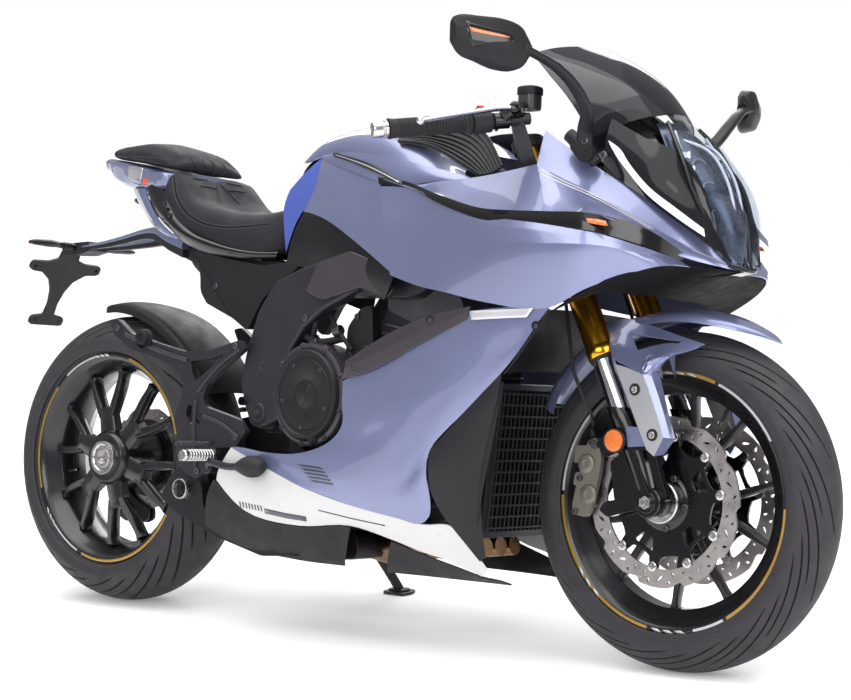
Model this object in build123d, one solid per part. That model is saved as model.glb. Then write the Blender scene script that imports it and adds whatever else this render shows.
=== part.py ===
from build123d import *
import math
import os

os.makedirs("parts", exist_ok=True)

# Sport motorcycle parked on its side stand.
# Everything is drawn in the upright frame of the bike, in millimetres:
# X forward, Y to the rider's left, Z up, origin on the ground below the middle
# of the wheelbase. park() then leans the whole bike onto its side stand.

# ---------------------------------------------------------------- main sizes
WHEELBASE = 1430.0
FRONT_X, FRONT_Z, FRONT_R, FRONT_HALF = 715.0, 300.0, 300.0, 60.0
REAR_X, REAR_Z, REAR_R, REAR_HALF = -715.0, 315.0, 315.0, 90.0
BEAD_R, FLANGE_R = 216.0, 231.0
RAKE = 25.0                 # steering axis from the vertical
AXLE_AHEAD = 6.0            # axle behind the fork tubes' line, along X
FORK_OFFSET = 35.0          # tubes ahead of the steering axis
FORK_Y = 105.0              # half the distance between the tubes
LEAN = 9.0                  # lean on the side stand
SHIFT = (8.86, -166.29, 0.53)  # brings the origin under the middle of the parked bike
RUN = 0.05                  # running clearance of a shaft in its bore
DISC_R_FRONT, DISC_R_REAR = 150.0, 115.0

TAN = math.tan(math.radians(RAKE))
SIN, COS = math.sin(math.radians(RAKE)), math.cos(math.radians(RAKE))


def tube_x(z):
    """X of the fork tubes' line at height z."""
    return FRONT_X + AXLE_AHEAD - TAN * (z - FRONT_Z)


def axis_x(z):
    """X of the steering axis at height z."""
    return tube_x(z) - FORK_OFFSET / COS


def park(shape):
    """Lean the finished piece onto the side stand."""
    return shape.moved(Location(SHIFT, (-LEAN, 0, 0)))


def save(name, *solids):
    whole = list(solids)
    flat = []
    for s in whole:
        flat += s.solids() if not isinstance(s, Solid) else [s]
    shape = flat[0] if len(flat) == 1 else Compound(children=flat)
    export_step(park(shape), "parts/" + name + ".step")


# ------------------------------------------------------------ shape helpers
def rod(p, q, r):
    """Round bar of radius r from point p to point q."""
    a, b = Vector(*p), Vector(*q)
    d = b - a
    return Solid.make_cylinder(r, d.length, Plane(origin=a, z_dir=d))


def tube(p, q, r, bore):
    return rod(p, q, r) - rod(p, q, bore)


def taper(p, q, r1, r2):
    a, b = Vector(*p), Vector(*q)
    d = b - a
    return Solid.make_cone(r1, r2, d.length, Plane(origin=a, z_dir=d))


def plate(outline, y0, y1):
    """Flat plate: outline as (x, z) pairs, from y0 to y1."""
    pts = [Vector(x, min(y0, y1), z) for x, z in outline]
    face = Face(Wire.make_polygon(pts, close=True))
    return Solid.extrude(face, Vector(0, abs(y1 - y0), 0))


def block(x0, x1, y0, y1, z0, z1):
    return Solid.make_box(x1 - x0, y1 - y0, z1 - z0, Plane(origin=(x0, y0, z0)))


def spin(profile, x, z):
    """Ring about the wheel's axle: profile as (y, radius) pairs."""
    pts = [Vector(x, y, z + r) for y, r in profile]
    face = Face(Wire.make_polygon(pts, close=True))
    return Solid.revolve(face, 360, Axis((x, 0, z), (0, 1, 0)))


def mirror_y(shape):
    return shape.mirror(Plane.XZ)


def tri(a, b, c):
    return Face(Wire.make_polygon([a, b, c], close=True))


def loft(sections):
    """Closed body through a few sections, each a list of (x, y, z) corners, with flat facets."""
    g = [[Vector(*p) for p in sec] for sec in sections]
    m = len(g[0])
    faces = []
    for a, b in zip(g[:-1], g[1:]):
        for k in range(m):
            p, q, r, t = a[k], a[(k + 1) % m], b[(k + 1) % m], b[k]
            faces += [tri(p, q, r), tri(p, r, t)]
    for end in (g[0], g[-1]):
        faces += [tri(end[0], end[k], end[k + 1]) for k in range(1, m - 1)]
    body = Solid(Shell(faces))
    return body if body.volume > 0 else Solid(Shell(faces)).fix()


def half_section(x, pairs):
    """Section at x, symmetric about y = 0, from (y, z) pairs top to bottom."""
    right = [(x, -y, z) for y, z in pairs]
    left = [(x, y, z) for y, z in reversed(pairs) if y > 0]
    return right + left


def panel(rows, thick, core):
    """Moulded panel: rows of outer points, thickened towards the point core."""
    n, m = len(rows), len(rows[0])
    outer = [[Vector(*p) for p in row] for row in rows]
    inner = []
    for i in range(n):
        line = []
        for j in range(m):
            a = outer[min(i + 1, n - 1)][j] - outer[max(i - 1, 0)][j]
            b = outer[i][min(j + 1, m - 1)] - outer[i][max(j - 1, 0)]
            nrm = a.cross(b).normalized()
            if nrm.dot(Vector(*core) - outer[i][j]) < 0:
                nrm = nrm * -1
            line.append(outer[i][j] + nrm * thick)
        inner.append(line)

    faces = []
    for i in range(n - 1):
        for j in range(m - 1):
            for g in (outer, inner):
                p, q, r, s = g[i][j], g[i][j + 1], g[i + 1][j + 1], g[i + 1][j]
                faces += [tri(p, q, r), tri(p, r, s)]
    ring = ([(0, j) for j in range(m)] + [(i, m - 1) for i in range(1, n)]
            + [(n - 1, j) for j in range(m - 2, -1, -1)] + [(i, 0) for i in range(n - 2, 0, -1)])
    for k in range(len(ring)):
        (a, b), (c, d) = ring[k], ring[(k + 1) % len(ring)]
        p, q, r, s = outer[a][b], outer[c][d], inner[c][d], inner[a][b]
        faces += [tri(p, q, r), tri(p, r, s)]
    return Solid(Shell(faces))


def left_of(rows):
    return [[(x, -y, z) for x, y, z in row] for row in rows]


# =================================================================== wheels
def tyre(x, z, radius, half, seat):
    """Tyre with its beads on the rim seats."""
    crown = [(0.0, radius), (0.35, 0.0), (0.62, 0.0), (0.84, 0.0), (0.97, 0.0)]
    wide = BEAD_R + 0.42 * (radius - BEAD_R)
    rho = (half ** 2 + (radius - wide) ** 2) / (2 * (radius - wide))

    def arc(y, r):
        return radius - rho + math.sqrt(max(rho ** 2 - y ** 2, 0)) - (radius - r)

    outer = [(k * half, arc(k * half, radius)) for k in (0, .3, .55, .76, .92, 1.0)]
    outer += [(half * 0.99, wide - 14), (seat + 2.0, FLANGE_R + 3), (seat, FLANGE_R - 1), (seat, BEAD_R)]
    inner = [(seat - 14, BEAD_R), (seat - 10, FLANGE_R + 2), (half - 9, wide - 6),
             (half - 9, wide), (0.6 * half, arc(0.6 * half, radius) - 10), (0, radius - 10)]
    rt = outer + inner
    ring = [(y, r) for y, r in outer] + [(y, r) for y, r in inner]
    mirror = [(-y, r) for y, r in reversed(inner[:-1])] + [(-y, r) for y, r in reversed(outer[1:])]
    return spin(ring + mirror, x, z)


def rim(x, z, seat, hub_r, hub_y0, hub_y1, spoke_y, bore, spokes, twist):
    """Cast wheel: barrel, hub and twin spokes. spoke_y = (inner y, outer y)."""
    f = seat + 5
    prof = [(-f, FLANGE_R), (-seat, FLANGE_R - 1), (-seat, BEAD_R), (-seat + 22, BEAD_R - 3), (-seat * .3, BEAD_R - 20),
            (seat * .3, BEAD_R - 20), (seat - 22, BEAD_R - 3), (seat, BEAD_R), (seat, FLANGE_R - 1), (f, FLANGE_R),
            (f, BEAD_R - 9), (seat * .45, BEAD_R - 28), (-seat * .45, BEAD_R - 28), (-f, BEAD_R - 9)]
    body = spin(prof, x, z)
    body += spin([(hub_y0, bore), (hub_y0, hub_r), (hub_y1, hub_r), (hub_y1, bore)], x, z)
    for k in range(spokes):
        for side in (-1, 1):
            a0 = math.radians(twist + 360.0 * k / spokes + side * 5)
            a1 = math.radians(twist + 360.0 * k / spokes + side * 13)
            r0, r1 = hub_r - 4, BEAD_R - 22
            sec = []
            for a, r, w in ((a0, r0, 11.0), (a1, r1, 8.0)):
                c = Vector(math.sin(a) * r, 0, math.cos(a) * r)
                t = Vector(math.cos(a), 0, -math.sin(a)) * w
                pts = []
                for sgn, yy in ((-1, spoke_y[0]), (1, spoke_y[0]), (1, spoke_y[1]), (-1, spoke_y[1])):
                    pts.append((x + c.X + sgn * t.X, yy, z + c.Z + sgn * t.Z))
                sec.append(pts)
            body += loft(sec)
    return body


save("front_tyre", tyre(FRONT_X, FRONT_Z, FRONT_R, FRONT_HALF, 44.5))
save("rear_tyre", tyre(REAR_X, REAR_Z, REAR_R, REAR_HALF, 70.0))
AXLE_R = 12.5
front_rim = rim(FRONT_X, FRONT_Z, 44.5, 34.0, -52.0, 52.0, (-14.0, 14.0), AXLE_R + RUN, 5, 20.0)
save("front_rim", front_rim)

# front brake discs, one solid each with its carrier
discs = []
for s in (-1, 1):
    y0, y1 = s * 64.0, s * 69.0
    d = spin([(y0, 118.0), (y1, 118.0), (y1, DISC_R_FRONT), (y0, DISC_R_FRONT)], FRONT_X, FRONT_Z)
    c = spin([(s * 60.0, 44.0), (s * 64.0, 44.0), (s * 69.0, 112.0), (s * 69.0, 120.0), (s * 64.5, 120.0), (s * 60.0, 60)], FRONT_X, FRONT_Z)
    h = spin([(s * 52.1, AXLE_R + RUN), (s * 52.1, 46.0), (s * 64.0, 46.0), (s * 64.0, AXLE_R + RUN)], FRONT_X, FRONT_Z)
    discs.append(d + c + h)
save("front_discs", *discs)

# front axle: through hub and fork feet
save("front_axle", rod((FRONT_X, -133, FRONT_Z), (FRONT_X, 133, FRONT_Z), AXLE_R))

# rear wheel: open on the right, carried by a stub axle in the single-sided swingarm
STUB_R = 26.0
rear_rim = rim(REAR_X, REAR_Z, 70.0, 62.0, -72.0, 40.0, (-62.0, -22.0), STUB_R, 5, 8.0)
save("rear_rim", rear_rim)
stub = rod((REAR_X, -72, REAR_Z), (REAR_X, 172, REAR_Z), STUB_R)
nut = rod((REAR_X, -88, REAR_Z), (REAR_X, -72.0, REAR_Z), 38.0) - rod((REAR_X, -90, REAR_Z), (REAR_X, -80, REAR_Z), 18.0)
save("rear_axle", stub + nut)
rear_disc = spin([(46.0, 70.0), (46.0, DISC_R_REAR), (51.0, DISC_R_REAR), (51.0, 70.0)], REAR_X, REAR_Z)
rear_disc += spin([(40.0, STUB_R), (40.0, 74.0), (51.0, 74.0), (51.0, STUB_R)], REAR_X, REAR_Z)
save("rear_disc", rear_disc)
SPROCKET_R = 88.0
save("rear_sprocket", spin([(150.0, STUB_R), (150.0, SPROCKET_R), (156.0, SPROCKET_R), (156.0, STUB_R)], REAR_X, REAR_Z))

# ================================================================= steering
YOKES = [("top", 905.0, 925.0), ("bottom", 700.0, 735.0)]      # name, low z, high z
STEM_R = 15.0
HEAD_Z0, HEAD_Z1 = 742.0, 898.0
up = Vector(-SIN, 0, COS)
fwd = Vector(COS, 0, SIN)


def on_axis(z, ahead=0.0, y=0.0):
    """Point by the steering axis at height z, so far ahead of it and to the left."""
    p = Vector(axis_x(z), 0, z) + fwd * ahead
    return (p.X, y, p.Z)


def yoke(z0, z1):
    """Triple clamp plate square to the steering axis."""
    outline = [(-26, -24), (-26, 24), (12, 132), (56, 138), (66, 105), (52, 60), (34, 0),
               (52, -60), (66, -105), (56, -138), (12, -132)]
    base = Plane(origin=on_axis(z0), x_dir=fwd, z_dir=up)
    face = Face(Wire.make_polygon([base.from_local_coords(Vector(a, b, 0)) for a, b in outline], close=True))
    body = Solid.extrude(face, up * ((z1 - z0) / COS))
    return body


GOLD_R, CHROME_R = 27.0, 21.5
TUBE_TOP, GOLD_LOW, CHROME_LOW = 935.0, 548.0, 440.0


def on_tube(z, y=0.0, ahead=0.0, r_up=0.0):
    p = Vector(tube_x(z), 0, z) + fwd * ahead
    return (p.X, y, p.Z)


stem = rod(on_axis(695), on_axis(930), STEM_R)
yokes = yoke(*YOKES[0][1:]) + yoke(*YOKES[1][1:]) + stem
for s in (-1, 1):
    yokes -= rod(on_tube(640, s * FORK_Y), on_tube(980, s * FORK_Y), GOLD_R + RUN)
save("yokes", yokes)
gold = [rod(on_tube(GOLD_LOW, s * FORK_Y), on_tube(TUBE_TOP, s * FORK_Y), GOLD_R)
        - rod(on_tube(GOLD_LOW - 5, s * FORK_Y), on_tube(GOLD_LOW + 60, s * FORK_Y), CHROME_R + RUN) for s in (-1, 1)]
save("fork_tubes", *gold)

legs = []
for s in (-1, 1):
    leg = rod(on_tube(CHROME_LOW - 10, s * FORK_Y), on_tube(GOLD_LOW + 59, s * FORK_Y), CHROME_R)
    foot = [  # x, z of the casting's outline seen from the side
        (tube_x(455) - 32, 448), (tube_x(455) + 30, 462), (tube_x(400) + 34, 400), (FRONT_X + 38, 330),
        (FRONT_X + 32, 278), (FRONT_X + 4, 262), (FRONT_X - 26, 275), (FRONT_X - 30, 310), (tube_x(400) - 30, 400)]
    leg += plate(foot, s * 88.0, s * 124.0)
    leg -= rod((FRONT_X, s * 80, FRONT_Z), (FRONT_X, s * 140, FRONT_Z), AXLE_R + RUN)
    legs.append(leg)
save("fork_legs", *legs)

# calipers behind the legs, open over the disc
calipers = []
CAL = (FRONT_X - 118, FRONT_Z + 62)   # centre of the caliper, x and z
for s in (-1, 1):
    c = plate([(CAL[0] - 32, CAL[1] - 62), (CAL[0] + 18, CAL[1] - 70), (CAL[0] + 52, CAL[1] + 40),
               (CAL[0] + 20, CAL[1] + 72), (CAL[0] - 22, CAL[1] + 48)], s * 42.0, s * 87.7)
    c -= spin([(s * 58.0, 60), (s * 58.0, DISC_R_FRONT + 6), (s * 75.0, DISC_R_FRONT + 6), (s * 75.0, 60)], FRONT_X, FRONT_Z)
    c -= spin([(s * 30.0, 180), (s * 30.0, 420), (s * 58.0, 420), (s * 58.0, 180)], FRONT_X, FRONT_Z)
    calipers += c.solids()
save("front_calipers", *calipers)

# handlebars: clip-on clamps, bars, grips and bar ends
bars = []
GRIP_IN, GRIP_OUT = (404, 250, 957), (318, 372, 936)     # x, |y|, z of the grip's ends
for s in (-1, 1):
    clamp = rod(on_tube(862, s * FORK_Y), on_tube(890, s * FORK_Y), GOLD_R + 9) - rod(on_tube(850, s * FORK_Y), on_tube(900, s * FORK_Y), GOLD_R + RUN)
    i, o = (GRIP_IN[0], s * GRIP_IN[1], GRIP_IN[2]), (GRIP_OUT[0], s * GRIP_OUT[1], GRIP_OUT[2])
    d = (Vector(*o) - Vector(*i)).normalized()
    root = Vector(*i) - d * 112
    bar = rod(tuple(root), tuple(Vector(*i)), 11.0)
    arm = rod(on_tube(876, s * (FORK_Y + 26)), (root.X + d.X * 20, root.Y + d.Y * 20, root.Z + d.Z * 20), 12.0)
    grip = rod(i, o, 16.5)
    end = rod(o, tuple(Vector(*o) + d * 30), 14.0)
    bars.append((clamp + arm + bar + grip + end) - rod(on_tube(800, s * FORK_Y), on_tube(980, s * FORK_Y), GOLD_R + RUN))
save("handlebars", *bars)

# levers with their master cylinders
levers = []
for s in (-1, 1):
    root = (462, s * 205, 985)
    body = rod((430, s * 190, 972), (415, s * 236, 962), 17.0)
    body += rod((436, s * 196, 972), (478, s * 208, 978), 13.0)
    res = rod((461, s * 150, 990), (461, s * 150, 1032), 19.0)
    body += res + rod((466, s * 200, 979), (461, s * 152, 998), 9.0)
    blade = loft([[(462, s * 206, 974), (486, s * 210, 974), (486, s * 210, 990), (462, s * 206, 990)],
                  [(420, s * 298, 957), (434, s * 304, 957), (434, s * 304, 968), (420, s * 298, 968)],
                  [(380, s * 362, 941), (394, s * 368, 941), (394, s * 368, 951), (380, s * 362, 951)]])
    i, o = Vector(GRIP_IN[0], s * GRIP_IN[1], GRIP_IN[2]), Vector(GRIP_OUT[0], s * GRIP_OUT[1], GRIP_OUT[2])
    d = (o - i).normalized()
    levers.append(body + blade - rod(tuple(i - d * 160), tuple(i - d * 0.3), 11.0 + RUN) - rod(tuple(i - d * 0.3), tuple(i + d * 60), 16.7))
save("hand_levers", *levers)

# brake hoses, held by the caliper and the lower clamp
HOSE_R = 3.2
HOSE = [(574, 84, 428), (584, 108, 452), (570, 118, 484), (549, 118, 528), (536, 113, 590), (520, 104, 650), (500, 96, 700)]   # x, |y|, z
hoses = []
for s in (-1, 1):
    path = FilletPolyline(*[(x, s * y, z) for x, y, z in HOSE], radius=16)
    hoses.append(sweep(Plane(origin=path @ 0, z_dir=path % 0) * Circle(HOSE_R), path=path).solids()[0])
    print("hose volume", hoses[-1].volume, "section times length", math.pi * HOSE_R ** 2 * path.length, hoses[-1].is_valid)
save("brake_hoses", *hoses)

# front fender: arch over the tyre plus side plates to the fork legs
ang = [56, 70, 88, 110, 134, 152]                 # degrees from straight ahead
fender_rows = []
for y, r in ((-66, 300), (-62, 322), (-40, 332), (0, 336), (40, 332), (62, 322), (66, 300)):
    fender_rows.append([(FRONT_X + r * math.cos(math.radians(a)), y, FRONT_Z + r * math.sin(math.radians(a))) for a in ang])
fender = panel(fender_rows, 4.0, (FRONT_X, 0, FRONT_Z))
plates = []
for s in (-1, 1):
    plates.append(plate([(610, 600), (700, 612), (735, 560), (742, 470), (748, 400), (722, 392), (690, 470), (640, 560)], s * 125, s * 131))
save("front_fender", fender, *plates)

# ============================================================ frame, engine
save("steering_head", rod(on_axis(HEAD_Z0), on_axis(HEAD_Z1), 36.0)
     + plate([(axis_x(750) - 20, 750), (axis_x(845) - 22, 845), (340, 845), (365, 750)], -36.5, 36.5)
     - rod(on_axis(600), on_axis(1000), STEM_R + RUN))

# casting beside the engine, seen from the side (x, z), going round
CASTING = [(-86, 715), (-8, 733), (57, 724), (117, 679), (48, 651), (-15, 628), (-72, 593), (-104, 553), (-112, 494),
           (-110, 455), (-114, 415), (-153, 398), (-186, 403), (-208, 452), (-218, 492), (-208, 552), (-187, 633), (-148, 692)]
PIVOT = (-168.0, 427.0)                 # swingarm pivot, x and z
PIVOT_R = 16.0
for s, name, y0, y1 in ((-1, "frame_right", 132, 168), (1, "frame_left", 162, 178)):
    beam = loft([[(372, s * 37, 845), (345, s * 37, 760), (350, s * 62, 755), (378, s * 62, 840)],
                 [(230, s * 96, 735), (205, s * 96, 652), (215, s * 140, 645), (240, s * 140, 730)],
                 [(40, s * 130, 728), (30, s * 130, 660), (30, s * (y1 - 3), 660), (40, s * (y1 - 3), 718)]])
    casting = plate(CASTING, s * y0, s * y1) - rod((PIVOT[0], s * 100, PIVOT[1]), (PIVOT[0], s * 200, PIVOT[1]), PIVOT_R + RUN)
    save(name, beam + casting)

ENGINE = [(-126, 430), (-105, 500), (60, 520), (115, 640), (290, 640), (345, 520), (325, 400), (285, 260), (200, 225), (-85, 225), (-126, 300)]
save("engine", plate(ENGINE, -128, 128))
covers = [rod((-18, s * 128.1, 461), (-18, s * 192, 461), 86.0) for s in (-1, 1)]
save("engine_covers", *covers)
save("radiator", loft([[(346, -128, 225), (372, -128, 220), (372, 128, 220), (346, 128, 225)],
                       [(372, -150, 500), (400, -150, 495), (400, 150, 495), (372, 150, 500)]]))

# exhaust: pipes under the engine and the silencer box below it
PIPE_R = 19.0
pipes = []
for y in (-66, -22, 22, 66):
    pipes.append(rod((300, y, 190), (190, y, 182), PIPE_R) + Solid.make_sphere(PIPE_R, Plane(origin=(190, y, 182))) + rod((190, y, 182), (60, y, 180), PIPE_R))
save("exhaust_pipes", *pipes)
MUFFLER = [(55, 208), (58, 150), (20, 146), (-240, 160), (-340, 180), (-384, 215), (-384, 300), (-300, 312), (-210, 300), (-160, 208)]
OUTLET = (-392.0, 268.0)                # centre of the outlet, x and z
muffler = plate(MUFFLER, -118, 92)
muffler += plate([(-440, 255), (-418, 300), (-345, 312), (-300, 250), (-262, 215), (-330, 182), (-400, 215)], -148, -112)
muffler += rod((OUTLET[0], -140, OUTLET[1]), (OUTLET[0], -176, OUTLET[1]), 21.0) - rod((OUTLET[0], -150, OUTLET[1]), (OUTLET[0], -180, OUTLET[1]), 18.0)
save("muffler", muffler)

# ========================================================= tank and seats
# tank sections: x, then (y, z) pairs from the top down one side
TANK = [
    (-165, [(0, 950), (60, 940), (96, 890), (100, 790), (60, 770), (0, 770)]),
    (-110, [(0, 988), (62, 976), (108, 915), (116, 800), (70, 765), (0, 765)]),
    (-30, [(0, 1000), (78, 988), (136, 915), (140, 800), (90, 752), (0, 752)]),
    (80, [(0, 998), (92, 984), (170, 890), (172, 790), (100, 750), (0, 750)]),
    (200, [(0, 980), (104, 962), (188, 862), (190, 790), (100, 760), (0, 760)]),
    (290, [(0, 950), (90, 935), (150, 880), (150, 800), (100, 790), (0, 790)]),
]
tank = loft([half_section(x, p) for x, p in TANK])
tank -= loft([[(180, -45, 700), (180, 45, 700), (180, 45, 880), (180, -45, 880)], [(320, -45, 700), (320, 45, 700), (320, 45, 1000), (320, -45, 1000)]])
save("fuel_tank", tank)

SEAT = [
    (-172, [(0, 866), (80, 860), (108, 826), (110, 752), (70, 742), (0, 742)]),
    (-230, [(0, 838), (95, 832), (128, 800), (134, 742), (80, 737), (0, 737)]),
    (-340, [(0, 838), (105, 846), (146, 830), (150, 772), (90, 755), (0, 755)]),
    (-440, [(0, 868), (95, 880), (148, 868), (152, 815), (90, 785), (0, 785)]),
    (-492, [(0, 915), (85, 922), (140, 905), (146, 862), (90, 835), (0, 835)]),
]
save("rider_seat", loft([half_section(x, p) for x, p in SEAT]))
PILLION = [
    (-500, [(0, 968), (80, 964), (118, 940), (118, 926), (80, 922), (0, 922)]),
    (-560, [(0, 1004), (84, 996), (120, 962), (118, 934), (80, 924), (0, 924)]),
    (-680, [(0, 1012), (70, 1004), (92, 976), (90, 952), (60, 946), (0, 946)]),
    (-780, [(0, 1006), (34, 1002), (46, 994), (44, 988), (30, 984), (0, 984)]),
]
save("pillion_seat", loft([half_section(x, p) for x, p in PILLION]))
TAIL = [
    (-545, [(0, 914), (84, 914), (110, 922), (108, 892), (70, 884), (0, 884)]),
    (-600, [(0, 918), (82, 918), (100, 914), (92, 880), (60, 872), (0, 872)]),
    (-690, [(0, 934), (64, 934), (70, 926), (62, 905), (40, 896), (0, 896)]),
    (-810, [(0, 985), (22, 982), (26, 976), (22, 960), (14, 956), (0, 956)]),
]
BLADE = [   # curved side strips of the tail, outer edge then inner edge
    [(-660, -74, 904), (-624, -85, 866), (-580, -95, 828), (-521, -105, 798), (-466, -110, 784)],
    [(-592, -98, 900), (-560, -108, 860), (-522, -118, 826), (-484, -122, 802), (-455, -124, 787)],
]
blades = [panel(BLADE if s < 0 else left_of(BLADE), 5.0, (-500, 0, 820)) for s in (-1, 1)]
save("tail_cowl", loft([half_section(x, p) for x, p in TAIL]), *blades)

# rear subframe: two rails and the box between them
rails = [loft([[(-150, s * 70, 690), (-150, s * 108, 690), (-150, s * 108, 718), (-150, s * 70, 718)],
               [(-420, s * 62, 728), (-420, s * 92, 728), (-420, s * 92, 756), (-420, s * 62, 756)],
               [(-600, s * 42, 790), (-600, s * 62, 790), (-600, s * 62, 808), (-600, s * 42, 808)]]) for s in (-1, 1)]
box = loft([half_section(-180, [(0, 716), (72, 716), (66, 640), (0, 640)]), half_section(-430, [(0, 750), (66, 750), (60, 665), (0, 665)])])
ties = [block(-200, -170, -80, 80, 695, 712), block(-430, -400, -80, 80, 732, 750), block(-596, -580, -50, 50, 790, 802)]
sub = rails[0] + rails[1] + box + ties[0] + ties[1] + ties[2]
save("rear_subframe", sub)
SIDE_COVER = [(-440, 768), (-417, 721), (-415, 679), (-395, 654), (-308, 622), (-230, 592), (-212, 690), (-222, 728), (-309, 740)]
save("side_covers", *[plate(SIDE_COVER, s * 108.3, s * 126) for s in (-1, 1)])

# lower tail with the lamp, and the number plate bracket with its indicators
save("tail_light", loft([half_section(-600, [(0, 871), (48, 871), (44, 846), (0, 842)]), half_section(-716, [(0, 896), (30, 896), (28, 884), (0, 882)])]))
arms = [loft([[(-600.5, s * 44, 790), (-600.5, s * 66, 790), (-600.5, s * 66, 818), (-600.5, s * 44, 818)],
              [(-880, s * 12, 780), (-880, s * 26, 780), (-880, s * 26, 794), (-880, s * 12, 794)]]) for s in (-1, 1)]
brack = block(-925, -845, -30, 30, 776, 796)
# inclined carrier with four lugs for the number plate, outline as (y, down the slope)
UP_LUG, LOW_LUG = (-958.0, 90.0, 741.0), (-1021.0, 34.0, 620.0)      # x, |y|, z of the lug holes
LUG_R, LUG_T = 3.5, 8.0
slope = Vector(LOW_LUG[0] - UP_LUG[0], 0, LOW_LUG[2] - UP_LUG[2])
reach = slope.length
slope = slope.normalized()
face_n = Vector(slope.Z, 0, -slope.X)
HALF = [(0, -52), (24, -52), (28, -20), (60, -14), (100, -12), (102, 10), (66, 14), (30, 40), (14, 90), (16, reach - 12), (46, reach - 10), (46, reach + 10), (0, reach + 10)]
out = [(y, d) for y, d in HALF] + [(-y, d) for y, d in reversed(HALF) if y > 0]
start = Vector(UP_LUG[0], 0, UP_LUG[2])
carrier = Solid.extrude(Face(Wire.make_polygon([start + slope * d + Vector(0, y, 0) for y, d in out], close=True)), face_n * LUG_T)
for x, y, z in (UP_LUG, LOW_LUG):
    for s in (-1, 1):
        c = Vector(x, s * y, z)
        carrier -= rod(tuple(c - face_n * 20), tuple(c + face_n * 20), LUG_R)
neck = plate([(-925, 790), (-870, 790), (-884, 770), (-940, 772)], -24, 24)
plate_bracket = arms[0] + arms[1] + brack + carrier + neck
for s in (-1, 1):
    plate_bracket += taper((-900, s * 26, 788), (-900, s * 80, 788), 8, 7) + loft([
        [(-912, s * 78, 780), (-888, s * 78, 780), (-888, s * 78, 797), (-912, s * 78, 797)],
        [(-908, s * 157, 783), (-892, s * 157, 783), (-892, s * 157, 793), (-908, s * 157, 793)]])
save("plate_bracket", plate_bracket)

# ================================================================ bodywork
UPPER = [   # rows from the black strip down to the hem, from the tank forward
    [(211, -192, 854), (331, -236, 819), (464, -262, 786), (593, -276, 767), (707, -278, 748), (793, -165, 708)],
    [(195, -205, 749), (333, -242, 712), (461, -268, 714), (592, -288, 727), (709, -290, 729), (802, -172, 704)],
    [(191, -203, 693), (336, -235, 658), (445, -252, 634), (592, -264, 634), (683, -262, 663), (806, -150, 700)],
]
COWL = [    # rows from the rim and the screen's edge down to the strip
    [(300, -180, 876), (400, -186, 878), (500, -186, 886), (522, -180, 944), (585, -168, 912), (620, -148, 867), (682, -132, 834), (738, -112, 791), (803, -58, 725)],
    [(295, -196, 868), (400, -206, 864), (500, -206, 870), (530, -192, 884), (585, -196, 850), (631, -200, 828), (694, -185, 792), (756, -145, 750), (820, -62, 705)],
    [(290, -212, 842), (380, -240, 818), (462, -258, 797), (510, -264, 791), (565, -270, 784), (620, -274, 777), (700, -270, 764), (764, -190, 731), (805, -80, 700)],
]
LOWER = [   # rows from the joint line down to the belly
    [(125, -226, 489), (252, -240, 538), (350, -248, 575), (445, -254, 624), (592, -262, 626)],
    [(110, -222, 384), (203, -232, 406), (300, -240, 430), (390, -242, 480), (486, -248, 515)],
    [(80, -220, 300), (150, -222, 300), (210, -224, 310), (270, -226, 320), (318, -230, 340)],
    [(97, -185, 223), (160, -185, 205), (220, -180, 195), (300, -176, 196), (372, -166, 196)],
]
BELLY = [   # under the engine, towards the back
    [(-231, -200, 355), (-114, -212, 350), (60, -219, 330), (79.5, -219, 300)],
    [(-248, -198, 300), (-126, -200, 270), (0, -200, 262), (84, -200, 262)],
    [(-213, -190, 227), (-100, -180, 205), (0, -180, 196), (96, -184, 222)],
    [(-200, -150, 195), (-80, -140, 165), (10, -136, 150), (100, -140, 170)],
]
for s, name in ((-1, "side_fairing_right"), (1, "side_fairing_left")):
    rows = UPPER if s < 0 else left_of(UPPER)
    save(name, panel(rows, 5.0, (400, 0, 720)))
for s, name in ((-1, "lower_fairing_right"), (1, "lower_fairing_left")):
    rows = LOWER if s < 0 else left_of(LOWER)
    rows2 = BELLY if s < 0 else left_of(BELLY)
    save(name, panel(rows, 5.0, (200, 0, 400)), panel(rows2, 5.0, (-60, 0, 300)))
cowl = [panel(COWL if s < 0 else left_of(COWL), 5.0, (600, 0, 780)) for s in (-1, 1)]
save("nose_cowl", *cowl)
CHIN = [
    [(655, -180, 672), (655, -60, 664), (655, 60, 664), (655, 180, 672)],
    [(730, -160, 690), (730, -60, 684), (730, 60, 684), (730, 160, 690)],
    [(800, -70, 690), (812, -30, 692), (812, 30, 692), (800, 70, 690)],
]
save("nose_underside", panel(CHIN, 5.0, (730, 0, 800)))
SCREEN = [
    [(464, -150, 1092), (481, -110, 1108), (505, -60, 1116), (520, 0, 1118), (505, 60, 1116), (481, 110, 1108), (464, 150, 1092)],
    [(561, -184, 1010), (594, -132, 1028), (618, -70, 1045), (630, 0, 1052), (618, 70, 1045), (594, 132, 1028), (561, 184, 1010)],
    [(600, -152, 930), (640, -120, 950), (680, -66, 970), (698, 0, 976), (680, 66, 970), (640, 120, 950), (600, 152, 930)],
]
save("windscreen", panel(SCREEN, 3.0, (400, 0, 950)))
LAMP = [
    [(694, -58, 968), (702, -20, 972), (702, 20, 972), (694, 58, 968)],
    [(742, -84, 890), (772, -30, 900), (772, 30, 900), (742, 84, 890)],
    [(770, -86, 830), (822, -34, 838), (822, 34, 838), (770, 86, 830)],
    [(792, -70, 770), (842, -28, 768), (842, 28, 768), (792, 70, 770)],
    [(806, -50, 712), (838, -18, 706), (838, 18, 706), (806, 50, 712)],
]
save("headlight", panel(LAMP, 26.0, (600, 0, 850)) - cowl[0] - cowl[1])
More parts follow.
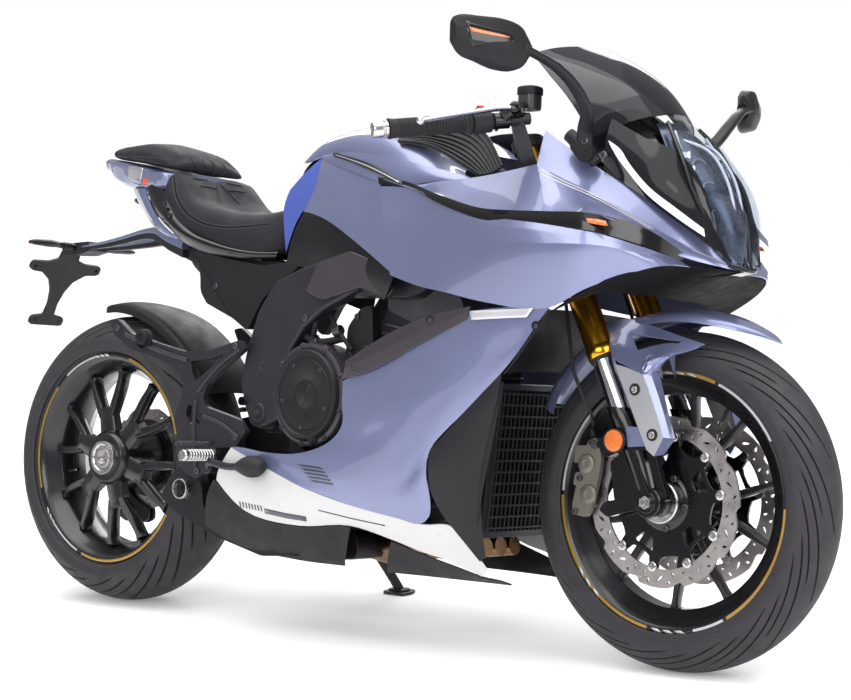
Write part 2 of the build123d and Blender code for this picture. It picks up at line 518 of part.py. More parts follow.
save("dash_panel", loft([half_section(560, [(0, 925), (60, 918), (84, 900), (84, 888), (0, 905)]), half_section(640, [(0, 945), (50, 935), (84, 902), (84, 890), (0, 925)])]))

# mirrors on their stalks
STALK = [(600, 176, 915, 13), (630, 215, 962, 11), (632, 262, 1004, 10), (618, 330, 1040, 9), (606, 378, 1052, 8)]   # x, |y|, z, radius
for s, name in ((-1, "mirror_right"), (1, "mirror_left")):
    mirror = loft([[(590, s * 366, 1020), (618, s * 366, 1020), (618, s * 366, 1085), (590, s * 366, 1085)],
                   [(560, s * 420, 1014), (600, s * 420, 1020), (604, s * 420, 1096), (566, s * 420, 1098)],
                   [(548, s * 500, 1034), (566, s * 500, 1038), (566, s * 500, 1088), (548, s * 500, 1092)]])
    for (xa, ya, za, ra), (xb, yb, zb, rb) in zip(STALK[:-1], STALK[1:]):
        mirror += taper((xa, s * ya, za), (xb, s * yb, zb), ra, rb) + Solid.make_sphere(rb, Plane(origin=(xb, s * yb, zb)))
    save(name, mirror)

# ====================================================== rear end, controls
ARM = [(-132, 470), (-200, 470), (-330, 440), (-640, 392), (-700, 385), (-770, 360), (-786, 315), (-770, 270), (-715, 245),
       (-660, 258), (-600, 300), (-330, 330), (-220, 352), (-132, 380)]
arm = plate(ARM, 100, 146) + rod((PIVOT[0], -172, PIVOT[1]), (PIVOT[0], 177, PIVOT[1]), PIVOT_R)
arm += rod((REAR_X, 62, REAR_Z), (REAR_X, 148, REAR_Z), 68.0)
arm += block(-205, -132, -115, 120, 385, 465)
arm -= rod((REAR_X, 40, REAR_Z), (REAR_X, 170, REAR_Z), STUB_R + RUN)
save("swingarm", arm)
save("rear_shock", rod((-190, 20, 480), (-230, 20, 630), 28.0))
hug = []
for y, r in ((-84, 322), (-70, 338), (-30, 350), (30, 350), (70, 338), (96, 324)):
    hug.append([(REAR_X + r * math.cos(math.radians(a)), y, REAR_Z + r * math.sin(math.radians(a))) for a in (28, 42, 56, 70, 84, 98)])
save("rear_hugger", panel(hug, 4.0, (REAR_X, 0, REAR_Z)))
# chain: two straight runs tangent to the sprockets and the wrap round the rear one
run_r, front_r, link = SPROCKET_R + 1.0, 36.0, 12.0
FRONT_SPROCKET = (-60.0, 440.0)
CHAIN_END = -122.0                      # the runs stop inside the engine's cover
dx, dz = FRONT_SPROCKET[0] - REAR_X, FRONT_SPROCKET[1] - REAR_Z
phi, off = math.atan2(dz, dx), math.asin((run_r - front_r) / math.hypot(dx, dz))
runs = []
for a in (phi + math.pi / 2 - off, phi - math.pi / 2 + off):
    n = (math.cos(a), math.sin(a))
    p = (REAR_X + n[0] * run_r, REAR_Z + n[1] * run_r)
    q = (FRONT_SPROCKET[0] + n[0] * front_r, FRONT_SPROCKET[1] + n[1] * front_r)
    k = (CHAIN_END - p[0]) / (q[0] - p[0])
    q = (CHAIN_END, p[1] + k * (q[1] - p[1]))
    runs.append(plate([p, q, (q[0] + n[0] * link, q[1] + n[1] * link), (p[0] + n[0] * link, p[1] + n[1] * link)], 148, 158))
    far = 160.0
    if a > 0:
        top_n = n
    else:
        low_n = n
wedge = plate([(REAR_X, REAR_Z), (REAR_X + far * top_n[0], REAR_Z + far * top_n[1]), (REAR_X - far, REAR_Z + far),
               (REAR_X - far, REAR_Z - far), (REAR_X + far * low_n[0], REAR_Z + far * low_n[1])], 140, 170)
loop = spin([(148, run_r), (158, run_r), (158, run_r + link), (148, run_r + link)], REAR_X, REAR_Z) & wedge
save("chain", runs[0] + runs[1] + loop)
CAL_REAR = [(-812, 222), (-772, 176), (-700, 172), (-696, 200), (-724, 216), (-752, 236), (-786, 262)]   # x, z
cal = plate(CAL_REAR, 36, 61) - spin([(45.0, 60), (45.0, DISC_R_REAR + 3), (52.0, DISC_R_REAR + 3), (52.0, 60)], REAR_X, REAR_Z)
save("rear_caliper", cal)

# footrest hangers
HANGER = [(-214, 402), (-190, 430), (-214, 470), (-240, 560), (-283, 575), (-360, 566), (-504, 584), (-560, 612), (-572, 590), (-530, 548),
          (-360, 520), (-321, 449), (-330, 340), (-308, 288), (-244, 300), (-200, 340)]
WINDOWS = [[(-350, 552), (-300, 556), (-262, 536), (-290, 470), (-312, 470)]]
HANG_Y = {-1: 178.0, 1: 178.4}
PEG = (-264.0, 340.0)                   # rider's footrest, x and z
pedals = []
for s, name in ((-1, "footrest_right"), (1, "footrest_left")):
    y = HANG_Y[s]
    h = plate(HANGER, s * y, s * (y + 14))
    for w in WINDOWS:
        h -= plate(w, s * 160, s * 200)
    h += rod((PEG[0], s * (y + 13), PEG[1]), (PEG[0], s * 292, PEG[1]), 12.0)
    h += rod((-530, s * (y + 10), 575), (-500, s * 222, 555), 11.0)
    h += rod((-205, s * (y - (9.8 if s < 0 else 0.3)), 450), (-205, s * (y + 5), 450), 9.0)
    save(name, h)
    # brake pedal on the right, gear lever on the left
    pedals.append(rod((-276, s * (y + 14.1), 314), (-276, s * (y + 38), 314), 9.0)
                  + loft([[(-282, s * (y + 28), 306), (-282, s * (y + 36), 306), (-282, s * (y + 36), 322), (-282, s * (y + 28), 322)],
                          [(-104, s * (y + 40), 318), (-104, s * (y + 48), 318), (-104, s * (y + 48), 328), (-104, s * (y + 40), 328)]])
                  + rod((-108, s * (y + 38), 323), (-108, s * (y + 78), 323), 9.0))
save("foot_levers", *pedals)

# side stand: pivot lug on the left of the frame, leg down and forward
STAND_PIVOT = (-272.0, 165.0, 268.0)
STAND_FOOT = (-165.0, 288.0, 0.0)       # z comes from the leaned ground
STAND_FOOT = (STAND_FOOT[0], STAND_FOOT[1], STAND_FOOT[1] * math.tan(math.radians(LEAN)) - SHIFT[2] / math.cos(math.radians(LEAN)))
pv, ft = Vector(*STAND_PIVOT), Vector(*STAND_FOOT)
ground = Vector(0, -math.sin(math.radians(LEAN)), math.cos(math.radians(LEAN)))
shoe_top = ft + ground * 9.0
shoe = Solid.extrude(Face(Wire.make_polygon([ft + Vector(a, 0, 0) + Vector(0, math.cos(math.radians(LEAN)), math.sin(math.radians(LEAN))) * b for a, b in ((-34, -20), (28, -24), (36, 0), (28, 22), (-34, 18))], close=True)), ground * 9.0)
stand = rod(tuple(pv), tuple(shoe_top), 11.0) + shoe
stand += rod((pv.X, pv.Y - 9, pv.Z), (pv.X, pv.Y + 9, pv.Z), 22.0)
print("stand", STAND_PIVOT, STAND_FOOT)
save("side_stand", stand)
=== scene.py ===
import bmesh
import bpy
import json
import math
import random
import numpy as np
from mathutils import Matrix, Vector, geometry

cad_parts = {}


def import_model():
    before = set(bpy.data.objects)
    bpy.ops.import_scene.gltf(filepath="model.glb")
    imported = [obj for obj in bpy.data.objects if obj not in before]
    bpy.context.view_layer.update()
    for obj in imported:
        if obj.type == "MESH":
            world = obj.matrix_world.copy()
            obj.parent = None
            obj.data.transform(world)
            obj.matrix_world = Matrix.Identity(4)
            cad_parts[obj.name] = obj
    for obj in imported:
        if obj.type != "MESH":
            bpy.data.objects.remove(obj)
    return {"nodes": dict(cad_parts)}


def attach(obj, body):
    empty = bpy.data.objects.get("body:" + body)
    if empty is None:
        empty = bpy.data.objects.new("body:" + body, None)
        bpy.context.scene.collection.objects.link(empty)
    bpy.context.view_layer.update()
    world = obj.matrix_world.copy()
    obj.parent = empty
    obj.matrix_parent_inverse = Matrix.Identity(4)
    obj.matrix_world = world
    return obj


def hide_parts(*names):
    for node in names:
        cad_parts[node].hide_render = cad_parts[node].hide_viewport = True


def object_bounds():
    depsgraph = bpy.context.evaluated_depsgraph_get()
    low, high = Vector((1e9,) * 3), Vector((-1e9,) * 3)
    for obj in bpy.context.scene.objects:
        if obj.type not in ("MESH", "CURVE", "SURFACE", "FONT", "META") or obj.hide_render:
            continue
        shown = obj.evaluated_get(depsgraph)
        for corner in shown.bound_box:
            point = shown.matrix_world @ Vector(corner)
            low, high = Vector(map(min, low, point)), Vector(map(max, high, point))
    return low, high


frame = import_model()
NODES = frame["nodes"]
CAD_BOX = [[float(c) for c in p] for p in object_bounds()]
random.seed(7)

# Sport motorcycle leaning on its side stand. Pieces are drawn in the upright frame of the
# bike, in millimetres (X forward, Y to the rider's left, Z up), and world() parks them.
LEAN = math.radians(9.0)
CL, SL = math.cos(LEAN), math.sin(LEAN)
TURN = np.array([[1, 0, 0], [0, CL, SL], [0, -SL, CL]])
SHIFT = np.array([8.86, -166.29, 0.53])


def world(pts):
    """Points of the upright bike in mm to the parked bike in metres."""
    return (np.asarray(pts, float).reshape(-1, 3) @ TURN.T + SHIFT) / 1000.0


# ------------------------------------------------------------------ the camera
EYE = np.array([2502.8308, -2949.5627, 460.9839])
VIEW = np.array([[0.7776472170793047, -0.008374688192989964, 0.6286451068500278],
                 [0.6278750709587292, -0.040888300401942294, -0.7772393724965373],
                 [0.032213367371068724, 0.9991286260977165, -0.02653841507524224]])
FOCAL = 1935.107325


def ray(u, v):
    return VIEW @ np.array([(u - 425.5) / FOCAL, -(v - 350.0) / FOCAL, -1.0])


def px(u, v, y):
    """The point seen at (u, v) on the upright plane y, in mm."""
    d = ray(u, v)
    t = (y - EYE[1]) / d[1]
    return tuple(EYE + t * d)


def pxx(u, v, x):
    """The point seen at (u, v) on the upright plane x, in mm."""
    d = ray(u, v)
    t = (x - EYE[0]) / d[0]
    return tuple(EYE + t * d)


def net(*rows):
    """Rows of (u, v, y) to rows of points."""
    return [[px(*p) for p in row] for row in rows]


# ------------------------------------------------------------- shape functions
def cross_grid(n, m, cu=False, cv=False):
    f = []
    for i in range(n if cu else n - 1):
        for j in range(m if cv else m - 1):
            a, b = (i + 1) % n, (j + 1) % m
            f.append((i * m + j, i * m + b, a * m + b, a * m + j))
    return f


def fit(P, t, n, breaks):
    """Cubic through the rows of P at parameters t, n steps a span, with creases at breaks."""
    k = len(P)
    if k == 2:
        w = np.linspace(0, 1, n + 1)
        return np.array([P[0] * (1 - s) + P[1] * s for s in w])
    out = []
    stops = [0] + sorted(b for b in breaks if 0 < b < k - 1) + [k - 1]
    for a, b in zip(stops[:-1], stops[1:]):
        Q, tt = P[a:b + 1], t[a:b + 1]
        m = len(Q)
        if m == 2:
            T = [(Q[1] - Q[0]) / (tt[1] - tt[0])] * 2
        else:
            D = [(Q[i + 1] - Q[i]) / (tt[i + 1] - tt[i]) for i in range(m - 1)]
            T = [None] * m
            for i in range(1, m - 1):
                h0, h1 = tt[i] - tt[i - 1], tt[i + 1] - tt[i]
                T[i] = (D[i - 1] * h1 + D[i] * h0) / (h0 + h1)
            T[0] = 1.5 * D[0] - 0.5 * T[1]
            T[-1] = 1.5 * D[-1] - 0.5 * T[-2]
        for i in range(m - 1):
            h = tt[i + 1] - tt[i]
            for s in np.arange(n) / n:
                out.append((2 * s ** 3 - 3 * s ** 2 + 1) * Q[i] + (s ** 3 - 2 * s ** 2 + s) * h * T[i]
                           + (-2 * s ** 3 + 3 * s ** 2) * Q[i + 1] + (s ** 3 - s ** 2) * h * T[i + 1])
    out.append(P[-1])
    return np.array(out)


def chord(A):
    """Average running length along the first axis of a net."""
    d = np.linalg.norm(np.diff(A, axis=0), axis=-1)
    d = d.reshape(len(d), -1).mean(1) + 1e-6
    return np.concatenate([[0], np.cumsum(d)])


def patch(rows, nu=6, nv=6, bu=(), bv=()):
    """Smooth sheet through a net of points. bu and bv are creased rows and columns."""
    A = np.array(rows, float)
    A = fit(A, chord(A), nu, bu)
    B = A.swapaxes(0, 1)
    B = fit(B, chord(B), nv, bv).swapaxes(0, 1)
    n, m = B.shape[:2]
    return B.reshape(-1, 3).tolist(), cross_grid(n, m)


def smooth_line(pts, k=6, breaks=()):
    A = np.array(pts, float)
    return fit(A, chord(A[:, None, :]), k, breaks)


def rounded(outline, r, k=3):
    """Outline with its corners rounded by up to r."""
    out, n = [], len(outline)
    for i in range(n):
        a, b, c = (np.array(outline[(i + j) % n], float) for j in (-1, 0, 1))
        da, dc = np.linalg.norm(a - b), np.linalg.norm(c - b)
        ra = min(r, 0.42 * da, 0.42 * dc)
        p, q = b + (a - b) / max(da, 1e-6) * ra, b + (c - b) / max(dc, 1e-6) * ra
        for s in range(k + 1):
            s /= k
            out.append(tuple((1 - s) ** 2 * p + 2 * s * (1 - s) * b + s ** 2 * q))
    return out


def slab(outline, o, a, b, c, h0, h1, holes=()):
    """Flat body: outline of (u, v) in the plane o, a, b, from h0 to h1 along c."""
    o, a, b, c = (np.array(x, float) for x in (o, a, b, c))
    loops = [list(outline)] + [list(h) for h in holes]
    flat = [p for l in loops for p in l]
    n = len(flat)
    v = [tuple(o + a * p[0] + b * p[1] + c * h0) for p in flat] + [tuple(o + a * p[0] + b * p[1] + c * h1) for p in flat]
    f = []
    if holes:
        for t in geometry.tessellate_polygon([[Vector((p[0], p[1], 0)) for p in l] for l in loops]):
            f += [tuple(t), tuple(i + n for i in reversed(t))]
    else:
        f += [tuple(range(n)), tuple(range(2 * n - 1, n - 1, -1))]
    s = 0
    for l in loops:
        m = len(l)
        for i in range(m):
            j = (i + 1) % m
            f.append((s + i, s + i + n, s + j + n, s + j))
        s += m
    return v, f


def plate(outline, y0, y1, holes=(), r=0.0):
    """Plate seen from the side: outline of (x, z)."""
    if r:
        outline = rounded(outline, r)
    return slab(outline, (0, 0, 0), (1, 0, 0), (0, 0, 1), (0, 1, 0), y0, y1, holes)


def frame_of(axis, ref=None):
    c = Vector(axis).normalized()
    r = Vector(ref) if ref else (Vector((0, 0, 1)) if abs(c.z) < 0.9 else Vector((1, 0, 0)))
    a = (r - c * r.dot(c)).normalized()
    return np.array(a), np.array(c.cross(a)), np.array(c)


def lathe(profile, o, axis=(0, 1, 0), n=48, a0=0.0, a1=360.0, ref=None, loop=False):
    """Body of revolution: profile of (height along the axis, radius)."""
    a, b, c = frame_of(axis, ref)
    o = np.array(o, float)
    full = abs(a1 - a0) > 359.9
    k = n if full else n + 1
    v = []
    for i in range(k):
        t = math.radians(a0 + (a1 - a0) * i / n)
        d = a * math.cos(t) + b * math.sin(t)
        v += [tuple(o + c * h + d * r) for h, r in profile]
    return v, cross_grid(k, len(profile), cu=full, cv=loop)


def sweep(path, rad, n=14, k=5, cap=True, section=None, ref=None, breaks=(), closed=False):
    """Tube along a path. rad is one radius or one for each point of the path."""
    P = np.array(path, float)
    rr = np.array([rad] * len(P) if np.isscalar(rad) else rad, float)
    if k > 1:
        t = chord(P[:, None, :])
        Q = fit(np.concatenate([P, rr[:, None]], 1), t, k, breaks)
        P, rr = Q[:, :3], Q[:, 3]
    sec = section or [(math.cos(2 * math.pi * i / n), math.sin(2 * math.pi * i / n)) for i in range(n)]
    T = np.gradient(P, axis=0)
    a, b, c = frame_of(T[0], ref)
    v = []
    for i in range(len(P)):
        c = T[i] / np.linalg.norm(T[i])
        a = a - c * np.dot(a, c)
        a = a / np.linalg.norm(a)
        b = np.cross(c, a)
        v += [tuple(P[i] + (a * s[0] + b * s[1]) * rr[i]) for s in sec]
    m = len(sec)
    f = cross_grid(len(P), m, cv=True)
    if cap:
        f += [tuple(range(m - 1, -1, -1)), tuple(range((len(P) - 1) * m, len(P) * m))]
    return v, f


def loft(sections, cap=True, k=1, breaks=()):
    """Body through sections of the same number of corners."""
    A = np.array(sections, float)
    if k > 1:
        A = fit(A, chord(A), k, breaks)
    n, m = A.shape[:2]
    f = cross_grid(n, m, cv=True)
    if cap:
        f += [tuple(range(m - 1, -1, -1)), tuple(range((n - 1) * m, n * m))]
    return A.reshape(-1, 3).tolist(), f


def bolt(p, axis, r, h=None, hexed=True):
    """Cap screw with a socket, its head standing h out of point p along the axis."""
    h = h or r * 0.9
    v, f = lathe([(0, r), (h * 0.8, r), (h, r * 0.86), (h, r * 0.55), (h * 0.45, r * 0.5), (h * 0.45, 0.01)], p, axis, 6 if not hexed else 18)
    return v, f


def nut(p, axis, r, h):
    return lathe([(0, r), (h * 0.85, r), (h, r * 0.88), (h, r * 0.5), (h * 1.25, r * 0.45), (h * 1.3, 0.01)], p, axis, 6)


def mirror(geo):
    v, f = geo
    return [(x, -y, z) for x, y, z in v], [tuple(reversed(q)) for q in f]


def both(geo):
    return join(geo, mirror(geo))


def join(*geos):
    V, F = [], []
    for v, f in geos:
        o = len(V)
        V += [tuple(p) for p in v]
        F += [tuple(i + o for i in q) for q in f]
    return V, F


def spun(geo, x, z, count, start=0.0, step=None):
    """Copies of a shape round the axle at (x, z)."""
    step = step or 360.0 / count
    out = []
    for k in range(count):
        t = math.radians(start + step * k)
        c, s = math.cos(t), math.sin(t)
        out.append(([(x + (a - x) * c - (b - z) * s, y, z + (a - x) * s + (b - z) * c) for a, y, b in geo[0]], geo[1]))
    return join(*out)


ALL = {}


class Piece:
    """Collects the geometry of one piece."""

    def __init__(self):
        self.v, self.f, self.m = [], [], []

    def add(self, geo, m=0):
        o = len(self.v)
        self.v += [tuple(p) for p in geo[0]]
        self.f += [tuple(i + o for i in q) for q in geo[1]]
        self.m += [m] * len(geo[1])
        return self

    def make(self, name, body, slot, mats, replaces=(), angle=38, bevel=0.0, seg=2, sub=0, solid=0.0,
             core=None, closed=True, limit=28, offset=-1.0, weld=0.004):
        """Lengths of the modifiers are in mm. core orients an open sheet away from that point."""
        me = bpy.data.meshes.new(name)
        me.from_pydata(world(self.v).tolist(), [], self.f)
        mats = mats if isinstance(mats, (list, tuple)) else [mats]
        for m in mats:
            me.materials.append(MATS[m])
        me.polygons.foreach_set("material_index", np.array(self.m, dtype=np.int32))
        bm = bmesh.new()
        bm.from_mesh(me)
        if weld:
            bmesh.ops.remove_doubles(bm, verts=bm.verts, dist=weld / 1000.0)
            bmesh.ops.dissolve_degenerate(bm, edges=bm.edges, dist=1e-7)
        bmesh.ops.recalc_face_normals(bm, faces=bm.faces)
        if core is not None:
            c = Vector(world([core])[0])
            if sum(f.normal.dot(f.calc_center_median() - c) * f.calc_area() for f in bm.faces) < 0:
                bmesh.ops.reverse_faces(bm, faces=bm.faces)
        bm.to_mesh(me)
        bm.free()
        me.shade_smooth()
        if not bevel:
            me.set_sharp_from_angle(angle=math.radians(angle))
        ob = bpy.data.objects.new(name, me)
        bpy.context.scene.collection.objects.link(ob)
        if solid:
            md = ob.modifiers.new("solid", "SOLIDIFY")
            md.thickness, md.offset, md.use_even_offset = solid / 1000.0, offset, True
            md.thickness_clamp = 1.0
        if bevel:
            md = ob.modifiers.new("bevel", "BEVEL")
            md.width, md.segments, md.limit_method = bevel / 1000.0, 1 if bevel <= 1.3 else min(seg, 3), "ANGLE"
            md.angle_limit, md.harden_normals = math.radians(limit), True
            md.use_clamp_overlap = True
        if sub:
            md = ob.modifiers.new("sub", "SUBSURF")
            md.levels = md.render_levels = sub
        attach(ob, body)
        if replaces:
            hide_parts(*([replaces] if isinstance(replaces, str) else replaces))
        ALL[name] = ob
        return ob


# -------------------------------------------------------------------- materials
MATS = {}


def rgb(r, g, b):
    """sRGB 0..255 to linear."""
    def lin(c):
        c /= 255.0
        return c / 12.92 if c <= 0.04045 else ((c + 0.055) / 1.055) ** 2.4
    return (lin(r), lin(g), lin(b), 1.0)


def material(name, color, rough=0.4, metal=0.0, coat=0.0, coat_rough=0.04, vary=0.08, scale=18.0, fine=900.0,
             bump=0.0, bump_scale=700.0, rough_vary=0.08, spec=0.5, wear=0.0, wear_color=None, kind="noise",
             brushed=None, sheen=0.0, dust=0.0):
    """Procedural finish: mottled colour and roughness, fine bump, worn edges and settled dust."""
    m = bpy.data.materials.new(name)
    m.use_nodes = True
    nt = m.node_tree
    b = nt.nodes["Principled BSDF"]
    N, L = nt.nodes.new, nt.links.new
    co = N("ShaderNodeTexCoord").outputs["Object"]

    def noise(sc, detail=4.0):
        n = N("ShaderNodeTexNoise")
        n.inputs["Scale"].default_value = sc
        n.inputs["Detail"].default_value = detail
        L(co, n.inputs["Vector"])
        return n.outputs["Fac"]

    def remap(src, lo, hi, a=0.3, c=0.7):
        n = N("ShaderNodeMapRange")
        n.inputs["From Min"].default_value, n.inputs["From Max"].default_value = a, c
        n.inputs["To Min"].default_value, n.inputs["To Max"].default_value = lo, hi
        L(src, n.inputs["Value"])
        return n.outputs["Result"]

    def mix(fac, x, y):
        n = N("ShaderNodeMix")
        n.data_type = "RGBA"
        if isinstance(fac, float):
            n.inputs[0].default_value = fac
        else:
            L(fac, n.inputs[0])
        for s, val in ((6, x), (7, y)):
            if isinstance(val, tuple):
                n.inputs[s].default_value = val
            else:
                L(val, n.inputs[s])
        return n.outputs[2]

    lo = tuple(c * (1 - vary) for c in color[:3]) + (1.0,)
    hi = tuple(min(1.0, c * (1 + vary)) for c in color[:3]) + (1.0,)
    base = mix(remap(noise(scale), 0.0, 1.0), lo, hi)
    if fine:
        f2 = tuple(min(1.0, c * (1 + vary * 1.5)) for c in color[:3]) + (1.0,)
        base = mix(remap(noise(fine, 2.0), 0.0, 0.5), base, f2)
    if wear:
        g = N("ShaderNodeNewGeometry").outputs["Pointiness"]
        e = remap(g, 0.0, wear, 0.52, 0.60)
        base = mix(e, base, wear_color or tuple(min(1.0, c * 2.2 + 0.03) for c in color[:3]) + (1.0,))
    if dust:
        nrm = N("ShaderNodeSeparateXYZ")
        L(N("ShaderNodeNewGeometry").outputs["Normal"], nrm.inputs[0])
        mul = N("ShaderNodeMath")
        mul.operation = "MULTIPLY"
        L(remap(nrm.outputs["Z"], 0.0, dust, 0.3, 1.0), mul.inputs[0])
        L(remap(noise(60.0), 0.2, 1.0), mul.inputs[1])
        base = mix(mul.outputs[0], base, (0.35, 0.33, 0.31, 1.0))
    L(base, b.inputs["Base Color"])
    L(remap(noise(scale * 2.3), max(0.02, rough - rough_vary), min(1.0, rough + rough_vary)), b.inputs["Roughness"])
    b.inputs["Metallic"].default_value = metal
    b.inputs["Coat Weight"].default_value = coat
    b.inputs["Coat Roughness"].default_value = coat_rough
    b.inputs["Specular IOR Level"].default_value = spec
    if sheen:
        b.inputs["Sheen Weight"].default_value = sheen
    if bump:
        bp = N("ShaderNodeBump")
        bp.inputs["Strength"].default_value = min(1.0, bump)
        bp.inputs["Distance"].default_value = 0.0006
        if kind == "leather":
            t = N("ShaderNodeTexVoronoi")
            t.feature = "DISTANCE_TO_EDGE"
            t.inputs["Scale"].default_value = bump_scale
            L(co, t.inputs["Vector"])
            src = remap(t.outputs["Distance"], 0.0, 1.0, 0.0, 0.25)
        elif kind == "brushed":
            mp = N("ShaderNodeMapping")
            mp.inputs["Scale"].default_value = brushed or (1, 1, 1)
            L(co, mp.inputs["Vector"])
            t = N("ShaderNodeTexNoise")
            t.inputs["Scale"].default_value = bump_scale
            L(mp.outputs["Vector"], t.inputs["Vector"])
            src = t.outputs["Fac"]
        else:
            src = noise(bump_scale, 3.0)
        L(src, bp.inputs["Height"])
        L(bp.outputs["Normal"], b.inputs["Normal"])
    MATS[name] = m
    return m


LILAC = rgb(118, 124, 160)
material("paint", LILAC, rough=0.34, metal=0.55, coat=1.0, coat_rough=0.03, vary=0.05, scale=2.5, fine=2600.0, rough_vary=0.05)
material("paint_white", rgb(198, 197, 197), rough=0.32, coat=1.0, coat_rough=0.04, vary=0.03, scale=3.0, fine=0)
material("paint_silver", rgb(196, 196, 202), rough=0.3, metal=0.75, coat=0.6, vary=0.05, scale=4.0, fine=2400.0)
material("paint_blue", rgb(72, 92, 176), rough=0.3, metal=0.3, coat=1.0, vary=0.05, scale=3.0)
material("gloss_black", rgb(9, 9, 11), rough=0.2, coat=0.4, spec=0.35, coat_rough=0.05, vary=0.12, scale=6.0, rough_vary=0.05, bump=0.05, bump_scale=300)
material("plastic", rgb(21, 20, 24), rough=0.52, vary=0.14, scale=14.0, bump=0.3, bump_scale=1500.0, wear=0.25, dust=0.01, spec=0.28)
material("plastic_fine", rgb(18, 17, 21), rough=0.42, vary=0.12, scale=10.0, bump=0.2, bump_scale=1800.0, wear=0.2, dust=0.01, spec=0.32)
material("frame_paint", rgb(34, 32, 38), rough=0.44, metal=0.15, coat=0.12, coat_rough=0.25, vary=0.1, scale=9.0, bump=0.3, bump_scale=1300.0, wear=0.3, spec=0.35)
material("bronze_grey", rgb(62, 57, 62), rough=0.36, metal=0.4, coat=0.2, coat_rough=0.2, vary=0.08, scale=6.0, bump=0.15, bump_scale=1200.0, wear=0.3)
material("engine_paint", rgb(27, 25, 29), rough=0.48, metal=0.2, vary=0.18, scale=16.0, bump=0.45, bump_scale=900.0, wear=0.4, dust=0.02, spec=0.35)
material("cast_alloy", rgb(120, 118, 118), rough=0.45, metal=0.85, vary=0.14, scale=30.0, bump=0.5, bump_scale=900.0, wear=0.3)
material("steel", rgb(190, 188, 186), rough=0.24, metal=1.0, vary=0.08, scale=30.0, bump=0.1, bump_scale=900.0)
material("steel_dark", rgb(82, 80, 84), rough=0.4, metal=0.9, vary=0.15, scale=30.0, bump=0.2, bump_scale=900.0, wear=0.4)
material("chrome", rgb(205, 204, 208), rough=0.1, metal=1.0, vary=0.03, scale=12.0, rough_vary=0.04)
material("gold", rgb(222, 158, 44), rough=0.22, metal=1.0, vary=0.06, scale=8.0, fine=2000.0, rough_vary=0.05, bump=0.06, bump_scale=500.0)
material("rubber", rgb(26, 25, 28), rough=0.7, vary=0.15, scale=25.0, bump=0.4, bump_scale=900.0, spec=0.4, dust=0.05)
material("tyre", rgb(40, 38, 42), rough=0.66, vary=0.16, scale=14.0, bump=0.45, bump_scale=1100.0, spec=0.45, rough_vary=0.1, wear=0.25, dust=0.05)
# darker rubber for the floors of the tread grooves: painted shade in the grooves
material("tread_groove_shade", rgb(16, 15, 17), rough=0.8, vary=0.1, scale=20.0, bump=0.3, bump_scale=900.0, spec=0.3)
material("rim_black", rgb(24, 23, 26), rough=0.3, metal=0.3, coat=0.5, coat_rough=0.12, vary=0.1, scale=8.0, bump=0.1, bump_scale=1200.0, wear=0.2)
material("rim_gold", rgb(176, 138, 62), rough=0.35, metal=0.6, coat=0.5, vary=0.08, scale=10.0)
material("rim_silver", rgb(200, 200, 204), rough=0.35, metal=0.4, coat=0.4, vary=0.06, scale=10.0)
material("disc", rgb(176, 170, 168), rough=0.34, metal=1.0, vary=0.1, scale=20.0, bump=0.25, bump_scale=260.0, kind="brushed", brushed=(1, 0.02, 1))
material("rust", rgb(104, 66, 52), rough=0.6, metal=0.5, vary=0.3, scale=60.0, bump=0.5, bump_scale=700.0)
material("chain_metal", rgb(70, 62, 56), rough=0.45, metal=0.9, vary=0.3, scale=80.0, bump=0.2)
material("caliper_grey", rgb(112, 108, 100), rough=0.42, metal=0.7, vary=0.12, scale=20.0, bump=0.4, bump_scale=900.0, wear=0.3)
material("amber", rgb(205, 104, 22), rough=0.18, coat=1.0, vary=0.12, scale=160.0, bump=0.7, bump_scale=260.0, kind="leather")
material("red", rgb(196, 22, 26), rough=0.3, coat=0.5, vary=0.06, scale=20.0)
material("lens_red", rgb(120, 10, 12), rough=0.12, coat=1.0, vary=0.1, scale=60.0)
material("leather", rgb(27, 26, 32), rough=0.58, vary=0.14, scale=12.0, bump=0.55, bump_scale=520.0, kind="leather", rough_vary=0.08, spec=0.25, wear=0.12)
material("leather_soft", rgb(30, 29, 35), rough=0.62, vary=0.12, scale=12.0, bump=0.5, bump_scale=760.0, kind="leather", spec=0.22)
material("thread", rgb(74, 72, 80), rough=0.7, vary=0.1, scale=300.0)
# near-black matte for recesses and undersides: painted shade
material("painted_shade_black", rgb(9, 9, 10), rough=0.75, vary=0.2, scale=20.0, spec=0.15)
material("white_led", rgb(214, 216, 222), rough=0.25, coat=0.8, vary=0.04, scale=60.0)
material("reflector_chrome", rgb(214, 218, 226), rough=0.26, metal=1.0, vary=0.08, scale=60.0, bump=0.3, bump_scale=120.0)
material("stripe_grey", rgb(92, 95, 120), rough=0.35, coat=0.8, vary=0.05, scale=5.0)
material("stripe_dark", rgb(40, 42, 58), rough=0.35, coat=0.8, vary=0.05, scale=5.0)
material("orange_mark", rgb(206, 84, 40), rough=0.35, coat=0.6, vary=0.06, scale=30.0)
material("exhaust_bronze", rgb(128, 100, 72), rough=0.32, metal=1.0, vary=0.25, scale=18.0, rough_vary=0.12)
material("mirror_glass", rgb(200, 205, 210), rough=0.03, metal=1.0, vary=0.02, scale=4.0, rough_vary=0.01)


